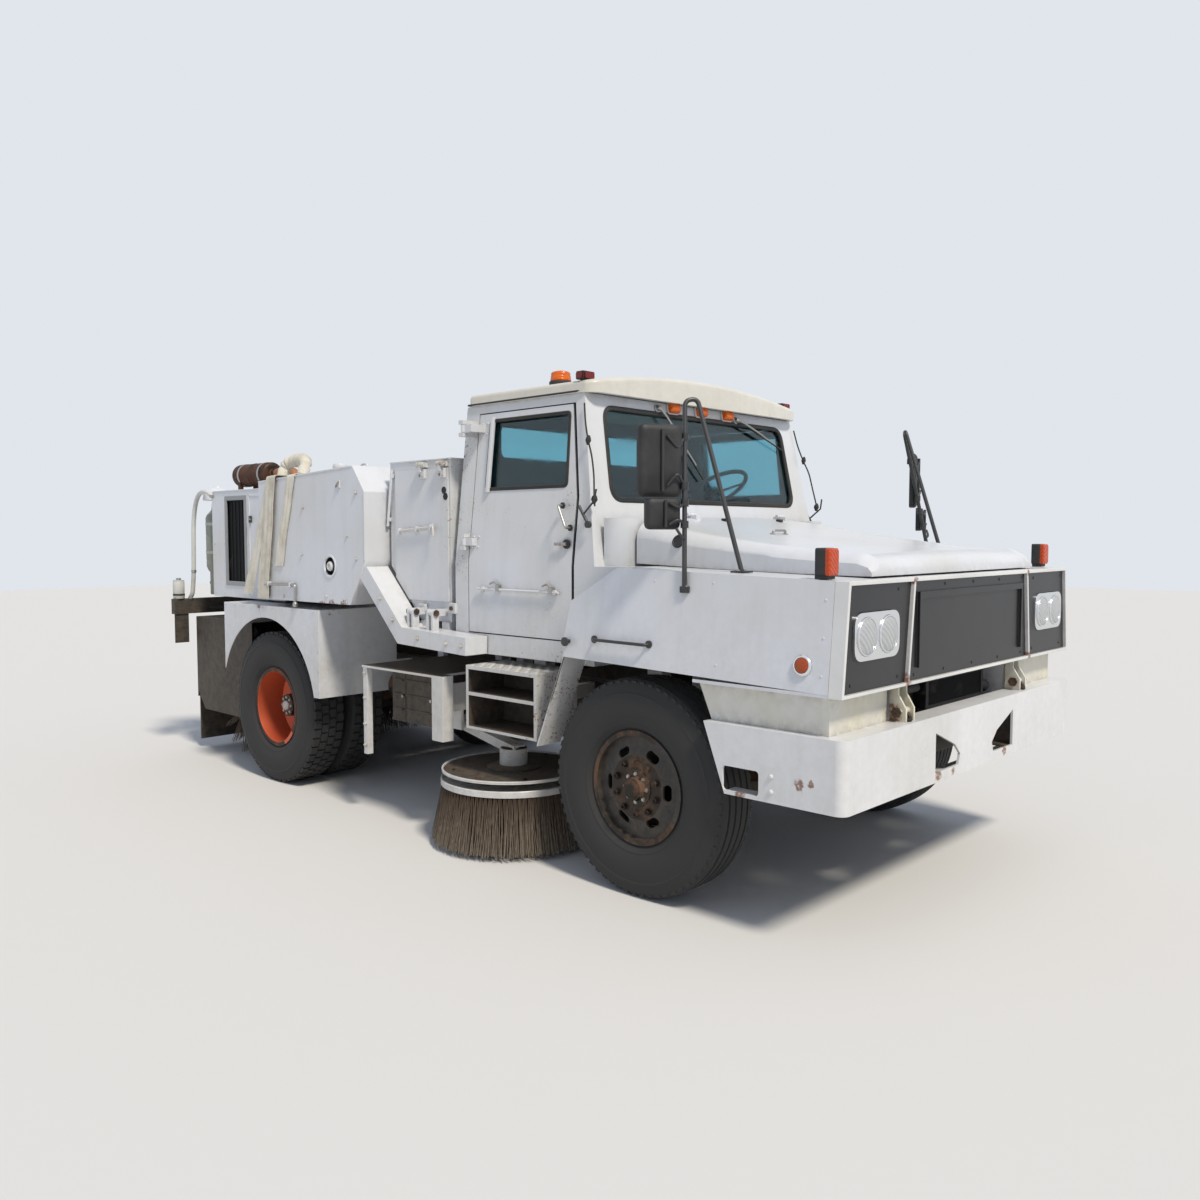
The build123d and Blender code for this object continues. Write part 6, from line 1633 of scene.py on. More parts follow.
    def tails(self) -> None:
        """Make the round tail and reversing lamps on the rear bar."""
        chrome, red, clear = Form(), Form(), Form()
        x, y, z = self.tail
        for offset, lens in ((0.0, red), (-150.0, clear)):
            centre = (-(x + offset), y - 33.0, z)
            chrome.turned(centre, Axis.Y, [(0, 0), (0, 58), (24, 58), (29, 54), (27, 50), (18, 48), (18, 0)], 48)
            lens.turned(centre, Axis.Y, [(16, 0), (16, 49), (25, 47), (30, 34), (32, 0)], 48)
        chrome.mirrored().made("tail_lamp_rims", CHASSIS, [Coat.CHROME])
        red.mirrored().made("tail_lamp_lenses", CHASSIS, [Coat.RED])
        clear.mirrored().made("reverse_lamp_lenses", CHASSIS, [Coat.CLEAR])

    def build(self) -> None:
        """Build every lamp."""
        self.headlamps()
        self.signals()
        self.markers()
        self.tails()


@dataclass
class Mirrors(Assembly):
    """Black tube loops on the fenders, each with a tall and a small mirror head."""

    tube: float = 11.0
    stay: float = 6.5
    turn: float = 24.0
    line: tuple[Point, ...] = ((-1190, -2230, 1470), (-1190, -2230, 1545), (-1052, -2118, 2312),
                               (-1002, -2150, 2322), (-1005, -2404, 1546))
    heads: tuple[Point, ...] = ((2035.0, 210.0, 325.0), (1800.0, 165.0, 140.0))  # height, width and tallness
    # depth of each ring of a head's back and lip, and its share of the full size
    back: tuple[Flat, ...] = ((0, 0.72), (5, 0.9), (14, 0.985), (24, 1.0), (42, 1.0), (43, 0.985), (42, 0.95),
                              (35, 0.94))

    def head(self, wide: float, tall: float) -> Form:
        """Make one head with its back crowned and its glass set into a lip, facing along Z.

        Args:
            wide: Its width.
            tall: Its height.

        Returns:
            The head.
        """
        form = Form()
        form.skin([[(u, v, depth) for u, v in
                    rounded(rectangle(wide * share, tall - (1.0 - share) * wide), 30.0 * share, 6)]
                   for depth, share in self.back])
        glass = rounded(rectangle(wide * 0.95, tall - wide * 0.05), 26.0, 6)
        form.skin([[(u * share, v * share, depth) for u, v in glass]
                   for depth, share in ((36.0, 1.0), (38.0, 1.0), (39.5, 0.5))], 1)
        return form

    def build(self) -> None:
        """Build both mirrors with their posts, clamps and feet."""
        loop, heads = Form(), Form()
        loop.tube(bent(self.line, 60.0, 8), self.tube, 14)
        loop.box((-1040, -970), (-2440, -2368), (1541, 1548))
        loop.box((-1196, -1178), (-2252, -2208), (1452, 1480))
        low, high = Vector(self.line[1]), Vector(self.line[2])
        up = Vector((0, 0, 1))
        face = Vector((math.sin(math.radians(self.turn)), math.cos(math.radians(self.turn)), 0))
        across = Vector((face.y, -face.x, 0))
        for z, wide, tall in self.heads:
            post = low.lerp(high, (z - low.z) / (high.z - low.z))
            centre = Vector((post.x - wide / 2 - 12.0, post.y + 34.0, z))
            place = Matrix((across, up, face)).transposed().to_4x4()
            heads.join(self.head(wide, tall), Matrix.Translation(centre) @ place)
            for step in (-0.34, 0.34):
                level = z + tall * step
                hold = low.lerp(high, (level - low.z) / (high.z - low.z))
                grip = centre + across * (wide * 0.1) - face * 7.0
                loop.tube(bent([hold, (hold + grip) / 2 - face * 16.0, (grip.x, grip.y, level)], 20.0),
                          self.stay, 10)
                loop.turned(hold - up * 16, Axis.Z, plug(18, 32), 20)
            edge = centre - face * 8.0
            loop.tube([edge - up * tall * 0.42, edge + up * tall * 0.42], 8.0, 10)
        # the stay that runs from the small head back to the post
        loop.tube(bent([(-1206, -2196, 1735), (-1195, -2215, 1700), (-1162, -2214, 1684)], 18.0), self.stay, 10)
        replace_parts(loop.mirrored().made("mirror_loops", CHASSIS, [Coat.LOOP], smooth=50.0), "mirrors")
        heads.mirrored().made("mirror_heads", CHASSIS, [Coat.MOULDED, Coat.MIRROR], smooth=50.0)
        feet = ((-1185, -2240, 1480.5), (-1185, -2220, 1480.5), (-1028, -2404, 1548), (-982, -2404, 1548))
        self.stamper.piece("mirror_foot_bolts", CHASSIS, Coat.STEEL, hex_bolt(13.0, 6.0),
                           both_sides(facing(feet, (0, 0, 1), (1, 0, 0))))


@dataclass
class Brooms(Assembly):
    """Gutter brooms with their bristle skirts, and the rear broom's reel."""

    gutter: Flat = (920.0, -800.0)
    ring: float = 405.0
    root: float = 338.0
    # rings of tufts: radius at the root, number, and radius at the tip
    tufts: tuple[tuple[float, int, float], ...] = ((244.0, 46, 300.0), (290.0, 60, 350.0), (334.0, 72, 395.0),
                                                   (366.0, 88, 428.0), (392.0, 96, 452.0))
    strands: int = 7  # in a tuft
    plate: float = 412.0
    reel: Point = (0.0, 2365.0, 381.0)
    reel_half: float = 876.0
    reel_radius: float = 376.0
    reel_root: float = 112.0
    rows: int = 14
    pitch: float = 13.0

    def strand(self, length: float, thick: float, bow: float, sides: int = 4) -> Form:
        """Make one bowed bristle that grows up from its origin and bends towards its X.

        Args:
            length: Its length.
            thick: Its radius at the root.
            bow: How far its tip bends.
            sides: Points round it.

        Returns:
            The bristle.
        """
        form = Form()
        path = [(bow * t * t, 0.0, length * t) for t in (0.0, 0.35, 0.7, 1.0)]
        form.tube(path, [thick, thick, thick * 0.9, thick * 0.6], sides)
        return form

    def skirt(self, x: float, y: float) -> list[Place]:
        """Give the places of a gutter broom's strands, which fan out from their tufts.

        Args:
            x: Middle of the broom across the vehicle.
            y: Its middle along the vehicle.

        Returns:
            The places.
        """
        places = []
        middle = self.strands // 2
        for radius, count, tip in self.tufts:
            for k in range(count):
                for m in range(self.strands):
                    turn = 2 * math.pi * (k + 0.09 * (m - middle)) / count
                    out = Vector((math.cos(turn), math.sin(turn), 0))
                    at = Vector((x, y, self.root)) + out * (radius + 5.0 * math.sin(m * 2.4))
                    flare = (tip - radius) / 320.0 + 0.02 * math.cos(m * 1.7)
                    fan = Vector((-out.y, out.x, 0)) * (0.05 * (m - middle) / 3)
                    places.append((at, (Vector((0, 0, -1)) + out * flare * 0.7 + fan).normalized(), out))
        return places

    def gutter_broom(self, side: Side) -> None:
        """Make one gutter broom's disc, skirt, plate and motor.

        Args:
            side: Side of the vehicle.
        """
        sign, word = side.value, side.word
        x, y = sign * self.gutter[0], self.gutter[1]
        axle = (x, y, 0)
        brush, arm = f"gutter_brush_{word}", f"gutter_lift_{word}"
        form = Form()
        form.turned(axle, Axis.Z, plug(22, 478, 366), 32, 1)
        form.turned(axle, Axis.Z, [(331, 0), (331, self.ring - 6), (334, self.ring), (364, self.ring),
                                   (368, self.ring - 3), (368, self.ring - 9), (350, self.ring - 12),
                                   (352, 60), (367, 58), (367, 0)], 96)
        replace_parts(form.made(f"gutter_disc_{word}", brush, [Coat.WORK, Coat.IRON], smooth=30.0),
                    f"gutter_broom_{word}")
        self.stamper.piece(f"gutter_bristles_{word}", brush, Coat.BRISTLE, self.strand(322.0, 2.5, 16.0),
                           self.skirt(x, y), 0.07, (0.045, 0.03, 0.3), 7 + sign, 60.0)
        bolts = ring((x, y, self.plate), Axis.Z, 330.0, 8, 0.3) + ring((x, y, self.plate), Axis.Z, 112.0, 6)
        self.stamper.piece(f"gutter_plate_bolts_{word}", arm, Coat.HUB, hex_bolt(20.0, 10.0), bolts)
        form = Form()
        form.turned(axle, Axis.Z, [(412, 0), (412, 150), (418, 152), (424, 140), (430, 96), (432, 0)], 48, 1)
        form.turned(axle, Axis.Z, [(408, 398), (414, 401), (420, 399), (420, 391), (412, 389)], 96, loop=True)
        form.made(f"gutter_plate_rims_{word}", arm, [Coat.WORK, Coat.CHASSIS], smooth=35.0)
        form = Form()
        form.turned(axle, Axis.Z, [(519, 0), (519, 70), (526, 70), (530, 60), (530, 34), (546, 30), (548, 0)], 40)
        # two hoses along the arm's inner side, which lift with it and end in the arm
        for step in (-11.0, 11.0):
            near = sign * (890 + 1.5 * step)
            form.tube(bent([(near, y + 44, 512), (near, y + 62, 546), (sign * 917, -660, 551.5 + step),
                            (sign * 917, -512, 580 + step), (sign * 936, -496, 583 + step)], 40.0), 9.0, 10, 1)
        form.made(f"gutter_motor_{word}", arm, [Coat.IRON, Coat.SEAL])

    def rear_broom(self) -> None:
        """Make the reel: its shaft and core, and the bristle rows."""
        form = Form()
        form.turned(self.reel, Axis.X, [(-957, 0), (-957, 24), (-890, 24), (-890, 110), (-884, 118), (884, 118),
                                        (890, 110), (890, 24), (957, 24), (957, 0)], 48)
        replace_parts(form.made("broom_core", "broom_reel", [Coat.IRON]), "main_broom")
        x, y, z = self.reel
        places = []
        for row in range(self.rows):
            for k in range(int(2 * self.reel_half / self.pitch)):
                along = x - self.reel_half + self.pitch * (k + 0.5)
                # the rows twist by a third of a turn over the reel's length
                out = Axis.X.spoke(2 * math.pi * (row / self.rows + 0.33 * along / (2 * self.reel_half)))
                swing = Vector((0, -out.z, out.y))
                places += [(Vector((along, y, z)) + out * self.reel_root + swing * step, out, swing)
                           for step in (-9.0, 9.0)]
        self.stamper.piece("broom_bristles", "broom_reel", Coat.BRISTLE,
                           self.strand(self.reel_radius - 116.0, 3.0, 10.0, 3), places, 0.04, (0.03, 0.05, 0.2),
                           11, 60.0)

    def build(self) -> None:
        """Build the three brooms."""
        for side in Side:
            self.gutter_broom(side)
        self.rear_broom()


@dataclass
class CabTrim(Assembly):
    """Rubber seals, wipers, handles, mouldings and cables of the cab."""

    belt: float = 1550.0
    half: float = 1040.0
    front: float = -1540.0
    lean_in: float = 100.0 / 880.0
    lean_back: float = 162.0 / 880.0
    glass: tuple[Flat, ...] = ((-842, 1886), (-812, 2366), (812, 2366), (842, 1886))
    rear_glass: tuple[Flat, ...] = ((-720, 2150), (-720, 2350), (720, 2350), (720, 2150))
    window: tuple[Flat, ...] = ((-668, 1958), (-668, 2336), (-1286, 2336), (-1302, 1958))
    wipers: tuple[tuple[Point, Point], ...] = (((-380, -1385, 2394), (-64, -1454, 2017)),
                                               ((341, -1386, 2386), (804, -1415, 2228)))
    gasket: tuple[Flat, ...] = ((-13, -7), (13, -7), (13, 2), (9, 6), (3, 7), (0, 5), (-3, 7), (-9, 6), (-13, 2))

    def wall(self, z: float) -> float:
        """Half-width of the cab's side at a height."""
        return self.half - max(0.0, z - self.belt) * self.lean_in

    def face(self, z: float) -> float:
        """Place of the cab's front at a height."""
        return self.front + max(0.0, z - self.belt) * self.lean_back

    def seals(self) -> None:
        """Lay a rubber gasket round each pane."""
        form = Form()
        form.strip([(x, self.face(z), z) for x, z in rounded(self.glass, 75.0, 8)], self.gasket,
                   (0, -1, self.lean_back), loop=True)
        form.strip([(x, -450.0, z) for x, z in rounded(self.rear_glass, 50.0)], self.gasket, (0, 1, 0), loop=True)
        form.made("window_gaskets", CHASSIS, [Coat.SEAL], smooth=50.0)
        form = Form()
        form.strip([(-self.wall(z), y, z) for y, z in rounded(self.window, 22.0, 5)],
                   [(u * 0.75, v * 0.8) for u, v in self.gasket], (-1, 0, self.lean_in), loop=True)
        for side in Side:
            form.on(side).made(f"door_gasket_{side.word}", f"door_body_{side.word}", [Coat.SEAL], smooth=50.0)

    def wiper_set(self) -> None:
        """Hang the wipers from their spindles above the glass."""
        form = Form()
        out = Vector((0, -1, self.lean_back)).normalized()
        for pivot, tip in self.wipers:
            start = Vector((pivot[0], self.face(pivot[2]), pivot[2]))
            run = Vector((tip[0], self.face(tip[2]), tip[2])) - start
            boss = spun([(-8, 0), (-8, 21), (6, 21), (9, 14), (26, 13), (30, 9), (32, 0)], 24)
            form.join(boss, stand(start, out), 1)
            arm = [start + run * share + out * rise for share, rise in ((0, 24), (0.12, 30), (0.5, 27), (0.64, 18))]
            form.tube(arm, [8.0, 7.0, 5.5, 4.5], 10, 1)
            blade = [start + run * share + out * (11.0 + 3.0 * math.sin(math.pi * share))
                     for share in (0.28, 0.45, 0.62, 0.8, 1.0)]
            form.strip(blade, [(-3, -4), (3, -4), (4.5, 4), (-4.5, 4)], out)
            form.strip([p + out * 6.0 for p in blade[1:-1]], [(-5, 0), (5, 0), (4, 5), (-4, 5)], out, 1)
        form.made("wipers", CHASSIS, [Coat.SEAL, Coat.STEEL], smooth=45.0)

    def door_fittings(self) -> None:
        """Fit the bar, its clasps, the window's edge bar, the handle and the hinge bolts of each door."""
        white, dark = Form(), Form()
        x = -self.half - 14.0
        white.tube([(x, -654, 1410), (x, -1300, 1410)], 7.0)
        for y in (-700.0, -1270.0):
            white.box((-self.half, -self.half - 20.0), (y - 9, y + 9), (1398, 1422))
        for y in (-830.0, -1245.0):
            dark.box((-self.half, -self.half - 22.0), (y - 13, y + 13), (1402, 1436), 1)
            dark.tube(bent([(x, y, 1436), (x - 8, y + 26, 1452), (x - 8, y + 58, 1440)], 10.0), 5.5, 10, 1)
        white.strip([(-self.wall(z) - 2.0, -690.0, z) for z in (1940, 2100, 2354)],
                    [(-14, -2), (14, -2), (14, 12), (8, 16), (-8, 16), (-14, 12)], (-1, 0, self.lean_in))
        low, high, grip = Vector((-1041, -1372, 1742)), Vector((-1030, -1308, 1856)), Vector((-34, 0, 0))
        dark.tube(bent([low, low + grip, high + grip, high], 14.0), 7.0, 12, 1)
        for end in (low, high):
            dark.turned(end + Vector((3, 0, 0)), Axis.X, [(0, 0), (0, 17), (-7, 16), (-8, 0)], 20)
        dark.turned((-1035, -1345, 1660), Axis.X, [(0, 0), (0, 24), (-9, 24), (-12, 18), (-13, 0)], 28)
        dark.box((-1040, -1056), (-1352, -1270), (1652, 1668), 1)
        for side in Side:
            body = f"door_body_{side.word}"
            white.on(side).made(f"door_bars_{side.word}", body, [Coat.WHITE], 1.5)
            dark.on(side).made(f"door_handles_{side.word}", body, [Coat.MOULDED, Coat.STEEL], smooth=45.0)
            bolts = [(side.value * self.wall(z), y, z) for y in (-596, -640) for z in (1640, 1696, 2268, 2324)]
            self.stamper.piece(f"door_hinge_bolts_{side.word}", body, Coat.WHITE, dome_bolt(16.0, 6.0),
                               facing(bolts, (side.value, 0, 0), (0, 1, 0)))

    def outside(self) -> None:
        """Run the pillar cable, the drip rails, the cowl strut and the fender fittings."""
        cable, black = Form(), Form()
        run = [(-962, -1398, 2372), (-978, -1420, 2270), (-992, -1452, 2180), (-1004, -1490, 2100),
               (-1012, -1512, 2000), (-1030, -1530, 1900), (-1034, -1538, 1848)]
        cable.tube(bent(run, 40.0), 4.5, 10)
        for (x, y, z), size in (((-994, -1455, 2178), 15.0), ((-1030, -1531, 1880), 17.0)):
            cable.tube([(x, y - 6, z + 26), (x, y - 2, z + 14), (x, y, z), (x, y + 4, z - 22)],
                       [5.0, size * 0.8, size, 5.0])
        # strut from the cowl to the pillar, with its lever
        black.tube([(-1046, -1500, 1764), (-1046, -1440, 1852)], 8.0)
        black.tube([(-1046, -1470, 1808), (-1052, -1548, 1872), (-1046, -1560, 1932)], 5.0, 10)
        black.turned((-1040, -1505, 1758), Axis.X, [(0, 0), (0, 18), (-16, 18), (-18, 0)], 20)
        rail = [(-950, -470, 2438), (-950, -1350, 2438), (-935, -1396, 2438)]
        cable.strip(bent(rail, 30.0), [(-5, -6), (5, -6), (5, 5), (0, 8), (-5, 5)], (-1, 0, 0.1))
        # grab handle and round fitting on the fender
        side = -1208.0
        black.tube(bent([(side + 4, -1700, 1212), (side - 26, -1712, 1212), (side - 26, -2030, 1210),
                         (side + 2, -2040, 1210)], 16.0), 7.5)
        for y in (-1700.0, -2040.0):
            black.turned((side + 8, y, 1211), Axis.X, [(0, 0), (0, 18), (-12, 18), (-14, 10), (-14, 0)], 20)
        black.tube([(-1200, -1529, 1190), (-1232, -1529, 1190)], [11.0, 9.0], 14)
        black.turned((-1228, -1529, 1190), Axis.X, [(0, 0), (0, 18), (-4, 22), (-14, 22), (-18, 14), (-19, 0)], 24)
        cable.mirrored().made("pillar_cables", CHASSIS, [Coat.SEAL], smooth=50.0)
        black.mirrored().made("grab_handles", CHASSIS, [Coat.LOOP], smooth=50.0)

    def build(self) -> None:
        """Build all of the cab's trim."""
        self.seals()
        self.wiper_set()
        self.door_fittings()
        self.outside()


@dataclass
class Cabin(Assembly):
    """Seats, dashboard and steering wheel inside the cab."""

    seat_x: float = 500.0
    floor: float = 1090.0
    wheel: Point = (500.0, -1105.0, 1975.0)
    tilt: float = 32.0
    grip: Flat = (226.0, 13.0)  # radius of the steering wheel and of its grip
    # a cushion's section from its base's middle to its crown: share of its width and of its thickness
    crown: tuple[Flat, ...] = ((0.0, 0.0), (0.5, 0.0), (0.93, 0.0), (0.985, 0.03), (1.0, 0.1), (1.006, 0.45),
                               (1.0, 0.84), (0.985, 0.93), (0.95, 1.02), (0.85, 1.13), (0.7, 1.22), (0.5, 1.28),
                               (0.3, 1.31), (0.0, 1.32))
    seams: Flat = (0.1, 0.84)  # heights of the piping

    def cushion(self, wide: float, deep: float, thick: float, channels: int) -> Form:
        """Make a crowned cushion with boxed sides, piped seams and sewn channels.

        Args:
            wide: Width of the cushion.
            deep: Its length.
            thick: Its thickness at the seams.
            channels: Number of padded rolls across it.

        Returns:
            The cushion, with its base at its origin.
        """
        form = Form()
        rings = []
        for share, height in self.crown:
            points = []
            for turn in turns(96 if share else 1, 0.5):
                # the outline is nearly a rectangle whose sides pull in between its corners
                u, v = (math.copysign(abs(part) ** 0.28, part) for part in (math.cos(turn), math.sin(turn)))
                pull = 1.0 - 0.02 * (1.0 - min(abs(u), abs(v)) ** 2)
                x, y = u * share * wide / 2 * pull, v * share * deep / 2 * pull
                z = height * thick
                if height > 1.0 and share < 0.93:
                    roll = abs(math.sin(math.pi * channels * (y / deep + 0.5)))
                    z -= thick * 0.12 * (1.0 - roll ** 0.5) * min(1.0, (0.93 - share) * 4)
                points.append((x, y, z))
            rings.append(points)
        form.skin(rings)
        for points, (_, height) in zip(rings, self.crown):
            if height in self.seams:
                form.tube([Vector(p) * 1.004 for p in points], 4.0, 6, loop=True)
        return form

    def seats(self) -> None:
        """Upholster both seats and stand them on their boxes."""
        pads, frames = Form(), Form()
        x, floor = -self.seat_x, self.floor
        for size, y, z, lean in (((465, 425, 92, 5), -865, 300, -3.0), ((465, 478, 72, 6), -606, 662, 82.0)):
            pads.join(self.cushion(*size), Matrix.Translation((x, y, floor + z))
                      @ Matrix.Rotation(math.radians(lean), 4, "X"))
        frames.box((x - 168, x + 168), (-1018, -642), (floor + 1, floor + 250))
        frames.box((x - 215, x + 215), (-1060, -660), (floor + 250, floor + 298))
        for post in (x - 190, x + 190):
            frames.tube([(post, -668, floor + 280), (post, -628, floor + 420), (post, -578, floor + 880)], 11.0, 10)
        cover = pads.mirrored().made("seat_pads", CHASSIS, [Coat.VINYL], smooth=60.0)
        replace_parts(cover, "seats")
        frames.mirrored().made("seat_boxes", CHASSIS, [Coat.GRILLE], 4.0)

    def dash(self) -> None:
        """Refine the dashboard and set dials and knobs on it."""
        refined("dashboard", [Coat.TRIM], 6.0)
        bezel, dial = Form(), Form()
        x = self.wheel[0]
        for step, radius in ((-180, 46), (-80, 46), (20, 34), (100, 34), (180, 34)):
            place = Matrix.Translation((x + step, -1296, 1775)) @ Matrix.Rotation(math.radians(-68.0), 4, "X")
            bezel.join(spun([(-12, 0), (-12, radius), (8, radius), (11, radius - 4), (6, radius - 7),
                             (2, radius - 8), (2, 0)], 32), place)
            dial.join(spun([(1, 0), (1, radius - 8), (3, radius - 8), (3.5, 0)], 32), place)
        bezel.made("dial_rims", CHASSIS, [Coat.CHROME], smooth=45.0)
        dial.made("dial_faces", CHASSIS, [Coat.GRILLE])
        knob = spun([(-2, 0), (-2, 5), (14, 5), (15, 12), (24, 13), (28, 9), (29, 0)], 16)
        self.stamper.piece("dash_knobs", CHASSIS, Coat.MOULDED, knob,
                           facing([(x - 420 - 70 * k, -1303, 1768) for k in range(6)], (0, 0.93, 0.37), (1, 0, 0)))

    def steering(self) -> None:
        """Make the wheel's grip, its three spokes and the hub pad."""
        form = Form()
        radius, thick = self.grip
        form.turned((0, 0, 0), Axis.Z, [(thick * math.sin(t), radius + thick * math.cos(t)) for t in turns(12)],
                    72, loop=True)
        for turn in turns(3, 0.75):
            way = Axis.Z.spoke(turn)
            side = Vector((-way.y, way.x, 0))
            form.skin([[way * reach + side * u * wide / 2 + Vector((0, 0, drop + v * 5))
                        for u, v in ((-1, -1), (1, -1), (1, 0.4), (0.4, 1), (-0.4, 1), (-1, 0.4))]
                       for reach, wide, drop in ((30, 26, -8), (110, 17, -6), (190, 13, -2), (222, 18, 0))])
        form.turned((0, 0, 0), Axis.Z, [(-36, 0), (-36, 36), (-14, 38), (4, 44), (14, 40), (20, 26), (21, 0)], 40)
        whole = Form()
        whole.join(form, Matrix.Translation(self.wheel) @ Matrix.Rotation(math.radians(-self.tilt), 4, "X"))
        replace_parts(whole.made("steering_grip", "steering", [Coat.MOULDED], smooth=50.0), "steering_wheel")

    def build(self) -> None:
        """Build the cabin."""
        self.seats()
        self.dash()
        self.steering()


@dataclass
class Front(Assembly):
    """Cooler, tow loops, bolts and the hood's fittings."""

    cooler: tuple[Flat, Flat, Flat] = ((-300, 300), (-2930, -2880), (918, 1036))
    side: float = 1220.0
    hook: Point = (-630.0, -2990.0, 948.0)
    screws: float = -3018.0
    rivets: tuple[Flat, ...] = ((-2935, 1150), (-2935, 1300), (-2935, 1450), (-2420, 1150), (-2050, 1500),
                                (-2380, 1500))

    def core(self) -> None:
        """Fill the gap under the nose with the cooler's fins, tanks and hoses."""
        (low_x, high_x), (low_y, _), (low_z, high_z) = self.cooler
        fins = [(low_x + 6 * k + 3, low_y - 3, (low_z + high_z) / 2) for k in range(100)]
        self.stamper.piece("cooler_fins", CHASSIS, Coat.CORE, brick((-0.8, -56, -4), (0.8, 56, 5)),
                           facing(fins, (0, -1, 0), (1, 0, 0)))
        form = Form()
        for x in (low_x - 14, high_x - 12):
            form.box((x, x + 26), (low_y - 12, -2876), (low_z - 6, high_z + 6))
        for z in (low_z - 10, high_z - 4):
            form.box((low_x, high_x), (low_y - 10, -2878), (z, z + 14))
        for hose in ([(330, -2900, 960), (470, -2890, 940), (560, -2840, 900), (560, -2700, 880)],
                     [(-330, -2900, 1010), (-440, -2895, 1010), (-520, -2840, 990), (-520, -2640, 900)]):
            form.tube(bent(hose, 60.0), 22.0, 14, 1)
        form.made("cooler_frame", CHASSIS, [Coat.CORE, Coat.SEAL], 2.0)

    def fasteners(self) -> None:
        """Set the bolts of the bumper, grille and fenders."""
        bolts = facing([(-self.side, -2712, z) for z in (652, 716)], (-1, 0, 0), (0, 1, 0))
        self.stamper.piece("bumper_bolts", CHASSIS, Coat.BUMPER, dome_bolt(30.0, 12.0), both_sides(bolts), 0.3)
        screws = [(x, self.screws, z) for x in (-1130, -740, 740, 1130) for z in (1112, 1480)]
        screws += [(x, self.screws, z) for x in (-590, -300, 0, 300, 590) for z in (1104, 1488)]
        self.stamper.piece("grille_screws", CHASSIS, Coat.GRILLE, dome_bolt(16.0, 4.0),
                           facing(screws, (0, -1, 0), (1, 0, 0)))
        hits = [touch("front_fenders", (-1400, y, z), (1, 0, 0)) for y, z in self.rivets]
        self.stamper.piece("fender_rivets", CHASSIS, Coat.WHITE, dome_bolt(11.0, 3.0),
                           both_sides([(at, normal, Vector((0, 1, 0))) for at, normal in hits]))

    def hooks(self) -> None:
        """Hang a rusty shackle on each bracket."""
        form = Form()
        x, y, z = self.hook
        bow = [(x + u, y - v, z - w) for u, v, w in ((-22, 0, 0), (-24, 14, 18), (-18, 28, 33), (0, 34, 39),
                                                     (18, 28, 33), (24, 14, 18), (22, 0, 0))]
        form.tube(bent(bow, 14.0, 4), 8.5)
        for step in (-60, 60):
            form.turned((x + step - 5, y, z), Axis.X, plug(24, 10), 6)
        form.mirrored().made("tow_shackles", CHASSIS, [Coat.HUB], smooth=45.0)

    def hood_fittings(self) -> None:
        """Set the catch, the vent and the washer nozzles on the hood."""
        steel, dark = Form(), Form()
        small = Form()
        small.tube(bent([(-50, 0, 0), (-46, 0, 20), (46, 0, 20), (50, 0, 0)], 12.0), 6.0, 10)
        for x in (-50, 50):
            small.turned((x, 0, -1), Axis.Z, [(0, 0), (0, 14), (5, 13), (6, 0)], 16)
        steel.join(small, stand(*touch("hood", (-330, -2150, 2200), (0, 0, -1))))
        dark.join(spun([(-2, 0), (-2, 34), (5, 34), (8, 28), (3, 25), (2, 0)], 32),
                  stand(*touch("hood", (-1300, -1930, 1675), (1, 0, 0))))
        for x in (-260, 260):
            at, _ = touch("hood", (x, -1760, 2200), (0, 0, -1))
            dark.box((x - 12, x + 12), (at.y - 18, at.y + 14), (at.z - 3, at.z + 14))
        steel.made("hood_catch", "hood_lid", [Coat.STEEL], smooth=50.0)
        dark.made("hood_vent", "hood_lid", [Coat.MOULDED], 1.5)

    def build(self) -> None:
        """Build the front's fine pieces."""
        self.core()
        self.fasteners()
        self.hooks()
        self.hood_fittings()


